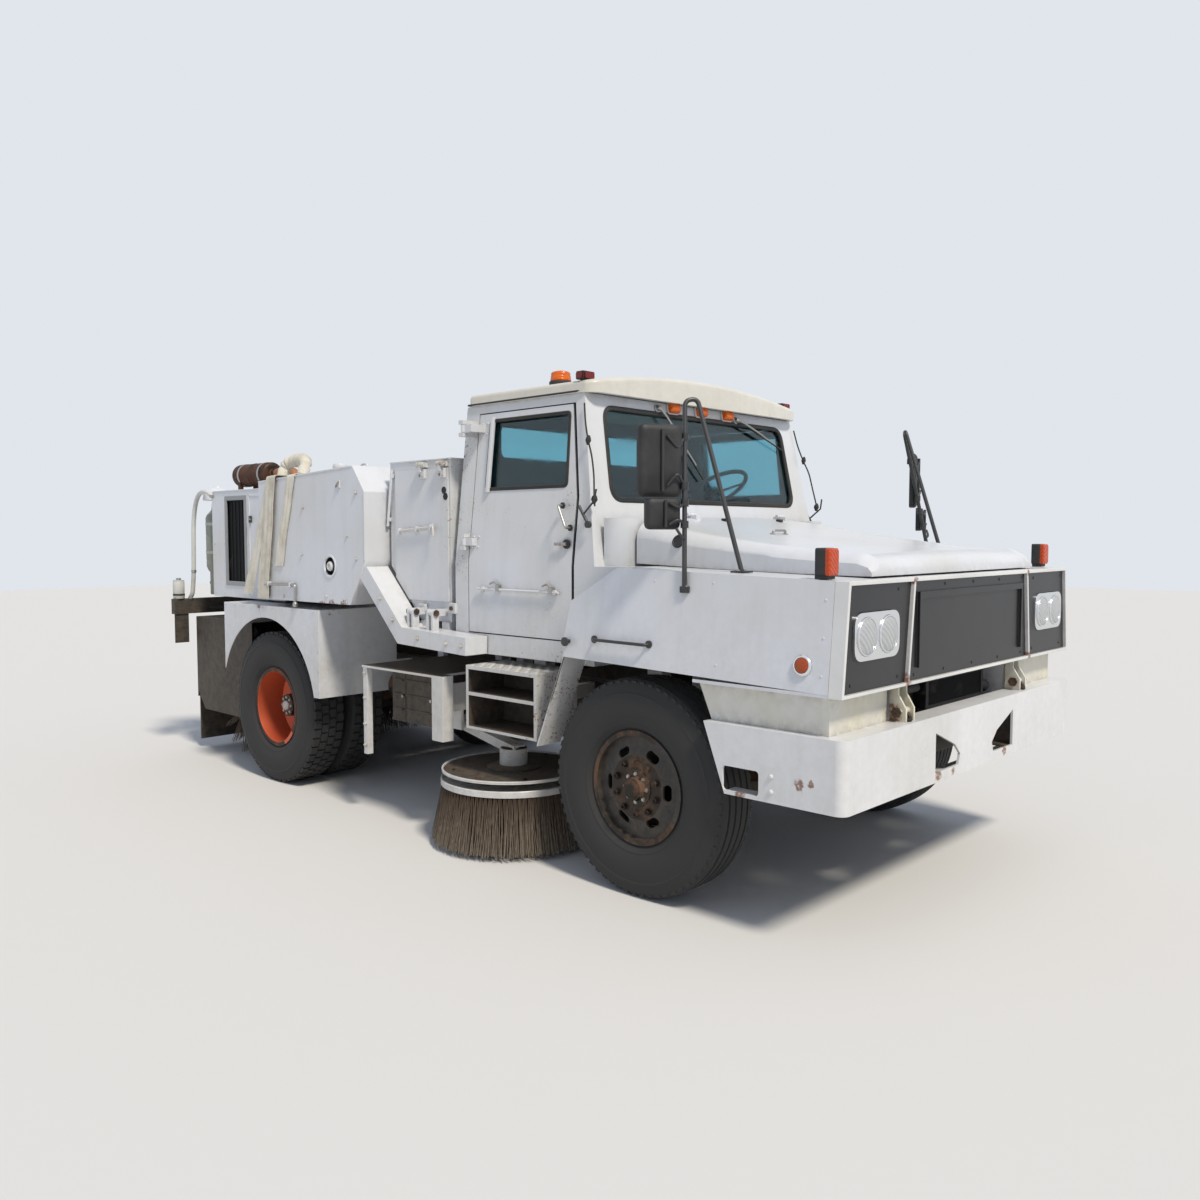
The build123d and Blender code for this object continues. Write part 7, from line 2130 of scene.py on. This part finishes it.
@dataclass
class Hopper(Assembly):
    """Hinge blocks, lip, latch rods and bolts of the tipping hopper."""

    half: float = 1030.0
    door: float = -1040.0
    top: float = 2140.0
    front: float = -400.0
    rear: float = 180.0
    hinges: tuple[float, ...] = (-350.0, -165.0)

    def lip(self) -> None:
        """Fold a rim round the hopper's mouth and weld stiffeners on its walls."""
        form = Form()
        outline = rounded([(-self.half, self.front), (self.half, self.front), (self.half, self.rear),
                           (-self.half, self.rear)], 8.0, 3)
        form.strip([(x, y, self.top) for x, y in outline], [(-6, -3), (3, -3), (3, 5), (-1, 7), (-6, 5)],
                   (0, 0, 1), loop=True)
        for x in (-700, -350, 0, 350, 700):
            form.strip([(x, self.front, 1260), (x, self.front, 2110)], [(-24, 0), (24, 0), (18, 14), (-18, 14)],
                       (0, -1, 0))
        for y, low in ((-290, 1330), (-110, 1330), (70, 1500)):
            form.strip([(self.half, y, low), (self.half, y, 2100)], [(-22, 0), (22, 0), (16, 12), (-16, 12)],
                       (1, 0, 0))
        bar = [(-1046, 142, 2096), (-1046, 148, 2050), (-1046, 186, 1790), (-1046, 191, 1759)]
        form.tube(bent(bar, 10.0), 9.0, 14)
        for y, z in ((146, 2060), (184, 1800)):
            form.box((-1050, -1029), (y - 12, y + 12), (z - 12, z + 12))
        form.made("hopper_ribs", "hopper_bin", [Coat.WHITE], 1.5)
        holes = Form()
        # shallow dark discs stand for two holes in the door: painted shade of their insides
        for y, z in ((-352, 1962), (-366, 1926)):
            holes.turned((self.door, y, z), Axis.X, [(-0.8, 0), (-0.8, 15), (-2.5, 17), (-2.5, 20), (0, 21)], 28)
        holes.made("door_holes", "hopper_door", [Coat.SEAL])

    def fittings(self) -> None:
        """Set the strap hinges, the latch rod with its lugs and handle, and the bolts on the dump door."""
        white, rusty = Form(), Form()
        x = self.door
        for y in self.hinges:
            white.box((x - 20, x + 1), (y - 26, y + 26), (2034, 2088))
            rusty.turned((x - 22, y - 34, 2112), Axis.Y, [(0, 0), (0, 13), (7, 13), (7, 17), (61, 17), (61, 13),
                                                         (68, 13), (68, 0)], 20)
        rusty.tube([(x - 16, 72, 1729), (x - 16, -258, 1752)], 8.0)
        for y, z in ((62.0, 1730.0), (-110.0, 1742.0), (-246.0, 1751.0)):
            white.box((x - 25, x + 1), (y - 7, y + 7), (z - 17, z + 17))
        rusty.tube(bent([(x - 16, -258, 1752), (x - 30, -282, 1754), (x - 34, -292, 1700)], 12.0), 7.0)
        white.made("dump_door_fittings", "hopper_door", [Coat.WHITE], 1.5)
        rusty.made("dump_door_rods", "hopper_door", [Coat.FITTING], smooth=45.0)
        bolts = [(x - 20, y + step, 2050) for y in self.hinges for step in (-14, 14)]
        self.stamper.piece("dump_door_bolts", "hopper_door", Coat.FITTING, hex_bolt(13.0, 6.0, 4.0),
                           facing(bolts, (-1, 0, 0), (0, 1, 0)))

    def cradle(self) -> None:
        """Bolt the cradle down and set the stop blocks and tilt pins on it."""
        form, dark = Form(), Form()
        for y, z in ((-150.0, 1272.0), (-432.0, 1289.0)):
            form.box((-1056, -1036), (y - 30, y + 30), (z - 30, z + 30))
            dark.turned((-1066, y, z), Axis.X, plug(13, 12), 6)
        for y in self.hinges:
            for step in (-38.0, 38.0):
                dark.turned((-1130, y + step - 4, 1262), Axis.Y, plug(20, 8), 6)
        form.made("hopper_stops", "hopper_bin", [Coat.WHITE], 2.0)
        dark.made("tilt_nuts", CHASSIS, [Coat.HUB], 1.0)
        bolts = [(-1200, y, z) for y, z in ((-690, 1102), (-560, 1106), (-300, 1118), (-60, 1210), (60, 1332))]
        self.stamper.piece("cradle_bolts", CHASSIS, Coat.FITTING, hex_bolt(24.0, 12.0, 8.0),
                           both_sides(facing(bolts, (-1, 0, 0), (0, 1, 0))), 0.3, seed=5)

    def build(self) -> None:
        """Build the hopper's fine pieces."""
        self.lip()
        self.fittings()
        self.cradle()


@dataclass
class Tanks(Assembly):
    """Fillers, seams, bolts, pipes, hose and vents on the two water tanks."""

    side: float = -1200.0
    filler: Flat = (595.0, 1511.0)
    bolts: tuple[Flat, ...] = ((902, 1884), (924, 1581), (400, 1700), (430, 1310), (1440, 1300), (1440, 1560),
                               (1440, 1850), (640, 1320), (1160, 1300), (300, 1960), (300, 1560))
    seam: tuple[Flat, ...] = ((-5, -2), (5, -2), (5, 4), (-5, 4))
    # strips of the hose: where its edges lie on the tank's top, where they end (y, z), and its layer
    strips: tuple[tuple[float, float, Flat, Flat, int], ...] = (
        (1250, 1345, (1560, 1300), (1690, 1300), 0), (1215, 1330, (1335, 1275), (1475, 1275), 1),
        (990, 1085, (1160, 1500), (1255, 1500), 0))
    columns: int = 12  # faces across a strip
    hanging: int = 40  # rows of faces down its hanging part
    lying: float = 150.0  # length of a strip that lies on the tank's top

    def fillers(self) -> None:
        """Ring each filler; a dark sleeve and neck in its well are painted shade, and a white disc on the spigot's
        end is a painted glint.
        """
        rim, bright, shade_liner = Form(), Form(), Form()
        x, (y, z) = self.side, self.filler
        # dark sleeve inside the white recess: painted shade in the filler's well
        shade_liner.turned((x, y, z), Axis.X, [(2, 57.8), (69, 57.8), (69, 30.6), (66, 30.6), (66, 56.4), (2, 56.4)], 48,
                    loop=True)
        rim.turned((x, y, z), Axis.X, [(3, 56), (3, 72), (-3, 74), (-6, 71), (-6, 61), (0, 57)], 48, loop=True)
        # dark neck round the spigot, also painted shade
        shade_liner.turned((x + 60, y, z), Axis.X, [(0, 30.5), (0, 36), (-50, 36), (-56, 33), (-56, 30.5)], 40, loop=True)
        # white disc on the spigot's end: a painted glint
        bright.turned((x - 5.5, y, z), Axis.X, [(0, 0), (0, 26), (-4, 25), (-6, 19), (-3, 16), (-3, 0)], 36)
        rim.tube(bent([(x + 8, y - 32, z + 2), (x - 8, y - 20, z + 8), (x - 10, y + 6, z + 4)], 8.0), 3.0, 8, 1)
        rim.mirrored().made("filler_rims", CHASSIS, [Coat.WHITE, Coat.STEEL], smooth=45.0)
        bright.mirrored().made("filler_caps", CHASSIS, [Coat.JUG], smooth=45.0)
        shade_liner.mirrored().made("filler_wells", CHASSIS, [Coat.SEAL], smooth=45.0)

    def fittings(self) -> None:
        """Fit the level pipe, welded seams, lifting eyes, catch and bolts."""
        pipe, white = Form(), Form()
        x = self.side
        pipe.tube(bent([(x - 14, 1381, 1372), (x - 14, 993, 1384), (x - 14, 997, 1262)], 26.0), 9.0, 14)
        for y in (1330, 1050):
            white.box((x, x - 25), (y - 8, y + 8), (1364, 1394))
        pipe.turned((x - 14, 997, 1236), Axis.Z, [(0, 0), (0, 14), (10, 16), (26, 16), (32, 11), (34, 0)], 20)
        for ends in (((1470, 2066), (340, 2122)), ((214, 1962), (214, 1553))):
            white.strip([(x + 1, y, z) for y, z in ends], self.seam, (-1, 0, 0))
        for y, z in ((500, 2120), (1330, 2078)):
            eye = [(-1000, y + u, z + v) for u, v in ((-34, -6), (-30, 34), (30, 32), (34, -8))]
            white.tube(bent(eye, 20.0), 8.0)
        white.box((x, x - 9), (462, 500), (1996, 2044))
        pipe.tube(bent([(x - 9, 470, 2034), (x - 18, 476, 2020), (x - 16, 492, 2000)], 8.0), 4.5, 10)
        pipe.mirrored().made("tank_pipes", CHASSIS, [Coat.STEEL], smooth=45.0)
        white.mirrored().made("tank_seams", CHASSIS, [Coat.WHITE], 1.0)
        out, along = (-1, 0, 0), (0, 1, 0)
        self.stamper.piece("tank_bolts", CHASSIS, Coat.FITTING, hex_bolt(20.0, 9.0, 5.0),
                           both_sides(facing([(x, y, z) for y, z in self.bolts], out, along)), 0.25, seed=7)
        rows = [(x, 800 + 130 * k, 1213) for k in range(10)] + [(x, 754, 700 + 130 * k) for k in range(4)]
        self.stamper.piece("fender_bolts", CHASSIS, Coat.FITTING, dome_bolt(15.0, 4.0),
                           both_sides(facing(rows, out, along)))

    def top(self, y: float) -> float:
        """Height of the tank's sloped top."""
        return 2071.0 + (1474.0 - y) * 0.05

    def strip(self, number: int) -> Form:
        """Shape one flattened strip: over the tank's top, round its edge and down its side.

        Args:
            number: Number of the strip, from 0.

        Returns:
            The strip, with its thickness.
        """
        near, far, low_near, low_far, layer = self.strips[number]
        lift = 12.0 * layer
        edge = self.side - 7.0 - lift
        # how far out each row lies and how far above the tank's top; a hanging row has no height yet
        rows = [(-1092 + 16.0 * k, 9.0 + lift) for k in range(6)]
        rows += [(edge + 20 - 20 * math.sin(turn), 9.0 + lift - 22 * (1 - math.cos(turn)))
                 for turn in (math.pi / 2 * k / 4 for k in range(5))]
        start = len(rows) - 1
        rows += [(edge, None)] * self.hanging
        rings = []
        for i, (out, rise) in enumerate(rows):
            s = max(0.0, (i - start) / self.hanging)
            hangs = rise is None
            outer, inner = [], []
            for u in (j / self.columns for j in range(self.columns + 1)):
                lying = near * (1 - u) + far * u
                y = lying * (1 - s) + (low_near[0] * (1 - u) + low_far[0] * u) * s
                z = (self.top(lying) + (lift - 13.0 if hangs else rise)) * (1 - s) + low_near[1] * s
                # soft folds run down the strip and its edges roll in
                free = math.sin(math.pi * min(1.0, s * 1.15)) ** 0.5 if s < 0.86 else 0.35
                fold = 3.0 * math.sin(5.0 * math.pi * u + 2.4 * s + number) * free if s else 0.0
                crease = math.sin(23.0 * s + 4.0 * u + 2.0 * number) if s else 0.0
                y += 5.0 * math.sin(9.0 * s + number) * min(1.0, 4 * s)
                x = out - fold - crease
                half = Vector((-2.0, 0, 0) if hangs else (0, 0, 2.0))  # half the thickness of the cloth
                outer.append(Vector((x, y, z)) + half)
                inner.append(Vector((x, y, z)) - half)
            rings.append(outer + inner[::-1])
        form = Form()
        form.skin(rings)
        return form

    def hose(self) -> None:
        """Drape the flattened suction hose over the tank's edge, with a round bight, and add the vents."""
        for number, (near, far, low_near, low_far, _) in enumerate(self.strips):
            cloth = self.strip(number).made(f"hose_strip_{number + 1}", CHASSIS, [Coat.CANVAS], smooth=70.0)
            long = self.lying + math.dist((near, self.top(near)), low_near)
            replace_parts(cloth, "hose")
        bight = Form()
        path = bent([(-1120, 1296, 2094), (-1090, 1290, 2190), (-1060, 1160, 2212), (-1085, 1040, 2190),
                     (-1120, 1036, 2102)], 80.0, 8)
        last = len(path) - 1
        bight.tube(path, [34.0 + 5.0 * math.sin(k * 1.9) + 8.0 * math.sin(math.pi * k / last)
                          for k in range(last + 1)], 22)
        bight.made("hose_bight", CHASSIS, [Coat.CANVAS], smooth=70.0)
        vent = Form()
        vent.turned((-1010, 760, self.top(760) - 4), Axis.Z,
                    [(0, 0), (0, 34), (34, 34), (34, 46), (44, 48), (60, 42), (68, 24), (70, 0)], 32)
        vent.mirrored().made("tank_vents", CHASSIS, [Coat.WHITE], smooth=45.0)

    def build(self) -> None:
        """Build the tanks' fine pieces."""
        self.fillers()
        self.fittings()
        self.hose()


@dataclass
class Tail(Assembly):
    """Engine housing's radiators, louvres and latches, exhaust, air cleaner, pipes and bottles."""

    half: float = 1000.0
    radiator_y: Flat = (2040.0, 2330.0)
    radiator_z: Flat = (1345.0, 1980.0)
    fin_pitch: float = 7.5
    rear: float = 2560.0
    muffler: Flat = (-780.0, 2163.0)
    cleaner: Flat = (-880.0, 2700.0)
    moulding: tuple[Flat, ...] = ((-12, -1), (12, -1), (9, 6), (-9, 6))
    thin: tuple[Flat, ...] = ((-9, -1), (9, -1), (7, 5), (-7, 5))

    def radiators(self) -> None:
        """Fill the side openings with finned cores in grey frames."""
        form, core = Form(), Form()
        (front, back), (low, high) = self.radiator_y, self.radiator_z
        outline = [(front, low), (front, high), (back, high), (back, low)]
        for sign in (-1, 1):
            form.strip([(sign * self.half, y, z) for y, z in outline],
                       [(-16, -3), (16, -3), (16, 3), (11, 6), (-16, 6)], (sign, 0, 0), loop=True)
        core.box((-984, -987.5), (front - 18, back + 18), (low - 60, high + 16))
        for k in range(6):
            y = front + 12 + k * (back - front - 24) / 5
            core.box((-987, -992), (y - 4, y + 4), (low + 2, high - 2))
        form.made("radiator_frames", CHASSIS, [Coat.FRAME], 1.0)
        core.mirrored().made("radiator_cores", CHASSIS, [Coat.CORE])
        fins = [(-988.5, (front + back) / 2, low + 6 + self.fin_pitch * k) for k in range(84)]
        self.stamper.piece("radiator_fins", CHASSIS, Coat.CORE, brick((-144, -0.7, -3), (144, 0.7, 3)),
                           both_sides(facing(fins, (-1, 0, 0), (0, 1, 0))))

    def housing(self) -> None:
        """Fit louvre blades, doors, hinges, latches and bolts on the housing."""
        white, dark = Form(), Form()
        rear, x = self.rear, -self.half
        for y in (1540.0, 1980.0):
            white.strip([(x, y, 1290), (x, y, 2000)], self.thin, (-1, 0, 0))
        for z in (1300.0, 1995.0):
            white.strip([(x, 1540, z), (x, 1980, z)], self.thin, (-1, 0, 0))
        for z in (1450.0, 1820.0):
            dark.turned((x - 5, 1533, z - 34), Axis.Z, plug(8, 68), 16)
            dark.box((x, x - 10), (1944, 1974), (z - 24, z + 24), 1)
            dark.tube(bent([(x - 9, 1958, z + 8), (x - 24, 1958, z + 8), (x - 24, 1918, z - 2)], 7.0), 4.5, 10)
        white.mirrored()
        dark.mirrored()
        for x in (-self.half, self.half):
            white.strip([(x, 1530, 2036), (x, 2530, 2036)], [(-6, -2), (5, -2), (5, 5), (-6, 5)], (0, 0, 1))
        for z in (1400.0 + 90.0 * row for row in range(6)):
            blade = [(rear - 3, z + 43), (rear + 2, z + 44), (rear + 20, z + 12), (rear + 16, z + 9),
                     (rear - 3, z + 36)]
            for x in (-450, -150, 150, 450):
                white.prism(blade, x - 146, x + 146, Axis.X)
        for x in (-620, 0, 620):
            white.strip([(x, rear, 1330), (x, rear, 1990)], self.moulding, (0, 1, 0))
        for z in (1345, 1975):
            white.strip([(-640, rear, z), (640, rear, z)], self.moulding, (0, 1, 0))
        for x in (-640, 640):
            for z in (1450, 1860):
                dark.turned((x, rear + 8, z - 30), Axis.Z, plug(9, 60), 16)
        for z in (1500, 1800):
            dark.box((-22, 22), (rear, rear + 9), (z - 34, z + 34), 1)
            dark.tube(bent([(0, rear + 8, z + 18), (0, rear + 26, z + 16), (0, rear + 26, z - 30)], 8.0), 5.0, 10)
        white.made("housing_panels", CHASSIS, [Coat.WHITE], 1.2)
        dark.made("housing_latches", CHASSIS, [Coat.STEEL, Coat.MOULDED], smooth=45.0)
        bolts = [(-self.half, y, z) for y in (2000, 2370, 2520) for z in (1270, 1640, 2010)]
        self.stamper.piece("housing_bolts", CHASSIS, Coat.FITTING, dome_bolt(14.0, 4.0),
                           both_sides(facing(bolts, (-1, 0, 0), (0, 1, 0))))

    def exhaust(self) -> None:
        """Build the banded muffler, its copper-brown pipe and slashed tail pipe."""
        form, pipes = Form(), Form()
        x, z = self.muffler
        form.turned((x, 2020, z), Axis.Y, [(0, 0), (0, 60), (6, 78), (14, 86), (60, 86), (62, 88), (70, 88),
                                           (72, 86), (230, 86), (232, 88), (240, 88), (242, 86), (408, 86),
                                           (410, 88), (418, 88), (420, 86), (466, 86), (474, 78), (480, 60),
                                           (480, 0)], 64)
        for y in (2088.0, 2388.0):
            form.turned((x, y, z), Axis.Y, band(86, 87.9, 24), 64, 1, loop=True)
            for foot in (x - 62, x + 62):
                pipes.box((foot - 16, foot + 16), (y, y + 24), (2034, z - 58), 1)
        pipes.tube(bent([(x, 2024, z), (x, 1700, z), (x, 1700, 2036)], 110.0, 10), 36.0, 28)
        for y in (1830.0, 1960.0):
            pipes.turned((x, y, z), Axis.Y, band(35, 41, 24), 36, 1, loop=True)
        rings = [[(x + radius * math.cos(t), y - slash * radius * math.sin(t), z + radius * math.sin(t))
                  for t in (turns(32) if radius else [0.0])]
                 for y, radius, slash in ((2496, 40, 0), (2540, 40, 0.3), (2550, 40, 0.3), (2550, 36, 0.3),
                                          (2510, 35, 0), (2500, 0, 0))]
        pipes.skin(rings)
        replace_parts(form.made("muffler", CHASSIS, [Coat.MUFFLER, Coat.STEEL], smooth=45.0), "exhaust")
        pipes.made("exhaust_pipes", CHASSIS, [Coat.COPPER, Coat.IRON], smooth=45.0)

    def air_cleaner(self) -> None:
        """Build the canister with its clamp bands and the white bowl on top."""
        green, white, steel = Form(), Form(), Form()
        x, y = self.cleaner
        green.turned((x, y, 0), Axis.Z, [(1241, 0), (1241, 66), (1246, 70), (1416, 70), (1430, 82), (1460, 94),
                                         (1500, 95), (1504, 93), (1512, 93), (1516, 95), (1690, 95), (1694, 93),
                                         (1702, 93), (1706, 95), (1838, 95), (1862, 86), (1890, 60), (1905, 50),
                                         (1960, 45), (1972, 45), (1972, 0)], 72)
        white.turned((x, y, 0), Axis.Z, [(1974, 30), (1974, 106), (1979, 112), (1990, 111), (2026, 109),
                                         (2044, 98), (2062, 76), (2072, 48), (2076, 30), (2080, 26), (2087, 24),
                                         (2088, 16), (2088, 0)], 72)
        for z in (1560.0, 1780.0):
            steel.turned((x, y, z), Axis.Z, band(94, 97, 22), 64, loop=True)
            steel.box((x - 20, x + 20), (y - 108, y - 95), (z + 3, z + 19))
            steel.tube([(x - 26, y - 103, z + 11), (x + 26, y - 103, z + 11)], 4.0, 8)
        steel.tube([(x + 92, y - 20, 1620), (x + 60, 2556, 1620)], 16.0, 14)
        steel.box((x + 40, x + 80), (2556, 2572), (1590, 1650))
        steel.tube(bent([(x, y + 68, 1330), (x, y + 130, 1330), (x + 120, y + 130, 1250), (x + 200, 2590, 1250)],
                        40.0), 26.0, 18, 1)
        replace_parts(green.made("cleaner_canister", CHASSIS, [Coat.CANISTER]), "air_cleaner")
        white.made("cleaner_bowl", CHASSIS, [Coat.WHITE])
        steel.made("cleaner_clamps", CHASSIS, [Coat.STEEL, Coat.SEAL], smooth=45.0)

    def pipes(self) -> None:
        """Run the white hose behind the housing, the wiring and the bottles on the rear bar."""
        white, dark = Form(), Form()
        white.turned((-1080, 2990, 1200), Axis.Z, [(0.5, 0), (0.5, 40), (4, 43.5), (138, 43.5), (147, 40),
                                                   (149, 30), (149, 0)], 40)
        dark.turned((-1080, 2990, 1348), Axis.Z, [(0, 0), (0, 20), (14, 20), (17, 16), (17, 0)], 24, 1)
        dark.turned((-1080, 2990, 1226), Axis.Z, band(43, 45, 14), 40, loop=True)
        dark.tube(bent([(-470, 2600, 1190), (-520, 2760, 1120), (-620, 2900, 1100), (-850, 2950, 1120)], 70.0),
                  9.0, 10)
        white.mirrored()
        dark.mirrored()
        arc = [(-1004, 2540, 2000), (-1012, 2580, 2030), (-1016, 2660, 2046), (-1010, 2760, 2020),
               (-1002, 2840, 1930), (-998, 2880, 1790), (-996, 2892, 1600), (-996, 2900, 1400),
               (-996, 2930, 1240), (-996, 2975, 1202)]
        white.tube(bent(arc, 60.0), 17.0, 18)
        for clip in ((-1004, 2546, 1995), (-996, 2898, 1411)):
            dark.turned(clip, Axis.Z, band(16.5, 20, 18), 28, 1, loop=True)
        white.made("rear_hose_and_bottles", CHASSIS, [Coat.JUG], smooth=50.0)
        dark.made("rear_clips", CHASSIS, [Coat.SEAL, Coat.STEEL], smooth=50.0)

    def build(self) -> None:
        """Build the tail's fine pieces."""
        self.radiators()
        self.housing()
        self.exhaust()
        self.air_cleaner()
        self.pipes()


@dataclass
class Underbody(Assembly):
    """Battery box straps, brake chambers, clips, air lines and bolts under the deck."""

    box: tuple[float, Flat, Flat] = (-1000.0, (-288.0, 230.0), (560.0, 904.0))  # outer side, length and height
    axles: tuple[Flat, ...] = ((-1910.0, 600.0), (1420.0, 560.0))  # place of each axle, height of its chambers
    lines: tuple[float, ...] = (-1600, -1100, -600, -100, 400, 900, 1500)

    def battery_box(self) -> None:
        """Rib the battery box, strap it and add its catches and cables."""
        form, dark = Form(), Form()
        x, (front, back), (low, high) = self.box
        for y in (-170.0, 110.0):
            form.strip([(x, y, low + 2), (x, y, high - 6)], [(-20, -1), (20, -1), (17, 5), (-17, 5)], (-1, 0, 0))
            dark.turned((x - 4, y, 720), Axis.X, plug(11, -12), 6)
        for z in (640.0, 730.0, 820.0):
            form.strip([(x, front + 30, z), (x, back - 30, z)], [(-9, -1), (9, -1), (5, 5), (-5, 5)], (-1, 0, 0))
        dark.tube(bent([(x + 60, back, 860), (x + 40, back + 60, 830), (x + 200, back + 120, 760),
                        (-480, back + 160, 760)], 40.0), 11.0, 12, 1)
        form.mirrored().made("battery_straps", CHASSIS, [Coat.CHASSIS], 1.0)
        dark.mirrored().made("battery_cables", CHASSIS, [Coat.STEEL, Coat.SEAL], smooth=45.0)
        out, along = (-1, 0, 0), (0, 1, 0)
        deck = [(-1196, y, 911) for y in range(-400, 201, 100)]
        self.stamper.piece("deck_bolts", CHASSIS, Coat.FITTING, dome_bolt(9.0, 4.0),
                           both_sides(facing(deck, out, along)))
        post = [(-1192, 242, z) for z in (430, 560, 720, 870)]
        self.stamper.piece("post_bolts", CHASSIS, Coat.FITTING, hex_bolt(20.0, 9.0, 5.0),
                           both_sides(facing(post, out, along)))

    def step(self) -> None:
        """Rivet a treadplate on the cab's step: rows of cleats that lean left and right in turn."""
        cleat = Form()
        cleat.skin([[(-15, 0, -1), (0, -3.2, -1), (15, 0, -1), (0, 3.2, -1)],
                    [(-11, 0, 2), (0, -1.8, 2), (11, 0, 2), (0, 1.8, 2)]])
        places = [(Vector((-1160 + 42 * row, -1230 + 36 * k, 1000)), Vector((0, 0, 1)),
                   Vector((1 if (row + k) % 2 else -1, 1, 0)).normalized()) for row in range(7) for k in range(15)]
        self.stamper.piece("step_tread", CHASSIS, Coat.STEEL, cleat, both_sides(places))

    def running_gear(self) -> None:
        """Add brake chambers, air tanks, clips and air lines by the axles."""
        iron, dark = Form(), Form()
        for y, z in self.axles:
            iron.turned((-560, y + 150, z), Axis.Y,
                        [(-60, 0), (-60, 30), (-50, 56), (-14, 66), (-12, 74), (0, 74), (2, 66), (30, 62),
                         (64, 44), (70, 0)], 36)
            dark.tube(bent([(-560, y + 210, z), (-560, y + 300, z + 40), (-440, y + 320, 700),
                            (-440, y + 460, 720)], 50.0), 8.0, 10, 1)
            iron.tube([(-560, y + 90, z), (-560, y + 20, z - 4)], 12.0)
        for y in self.lines:
            dark.tube([(-474, y, 800), (-474, y + 480, 800)], 7.0, 8, 1)
            dark.box((-468, -484), (y - 9, y + 9), (788, 812))
        iron.turned((-640, 470, 700), Axis.Y, [(-190, 0), (-190, 70), (-170, 105), (-150, 112), (150, 112),
                                               (170, 105), (190, 70), (190, 0)], 40)
        for y in (356, 556):
            iron.turned((-640, y, 700), Axis.Y, band(111, 116, 28), 40, loop=True)
            iron.box((-470, -545), (y, y + 28), (690, 790))
        iron.mirrored().made("brake_chambers", CHASSIS, [Coat.IRON], smooth=45.0)
        dark.mirrored().made("air_lines", CHASSIS, [Coat.STEEL, Coat.SEAL], smooth=45.0)

    def build(self) -> None:
        """Build the fine pieces under the truck."""
        self.battery_box()
        self.step()
        self.running_gear()


def main() -> None:
    """Build the studio and every sub-assembly in order."""
    logging.basicConfig(level=logging.INFO, format="%(name)s: %(message)s")
    Studio().build()
    Panels().build()
    stamper = Stamper()
    for kind in (Wheels, Lamps, Mirrors, Brooms, CabTrim, Cabin, Front, Hopper, Tanks, Tail, Underbody):
        kind(stamper).build()
        LOG.info("built %s", kind.__name__)
    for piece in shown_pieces():
        LOG.info("piece %s", piece.name)


if __name__ == "__main__":
    main()
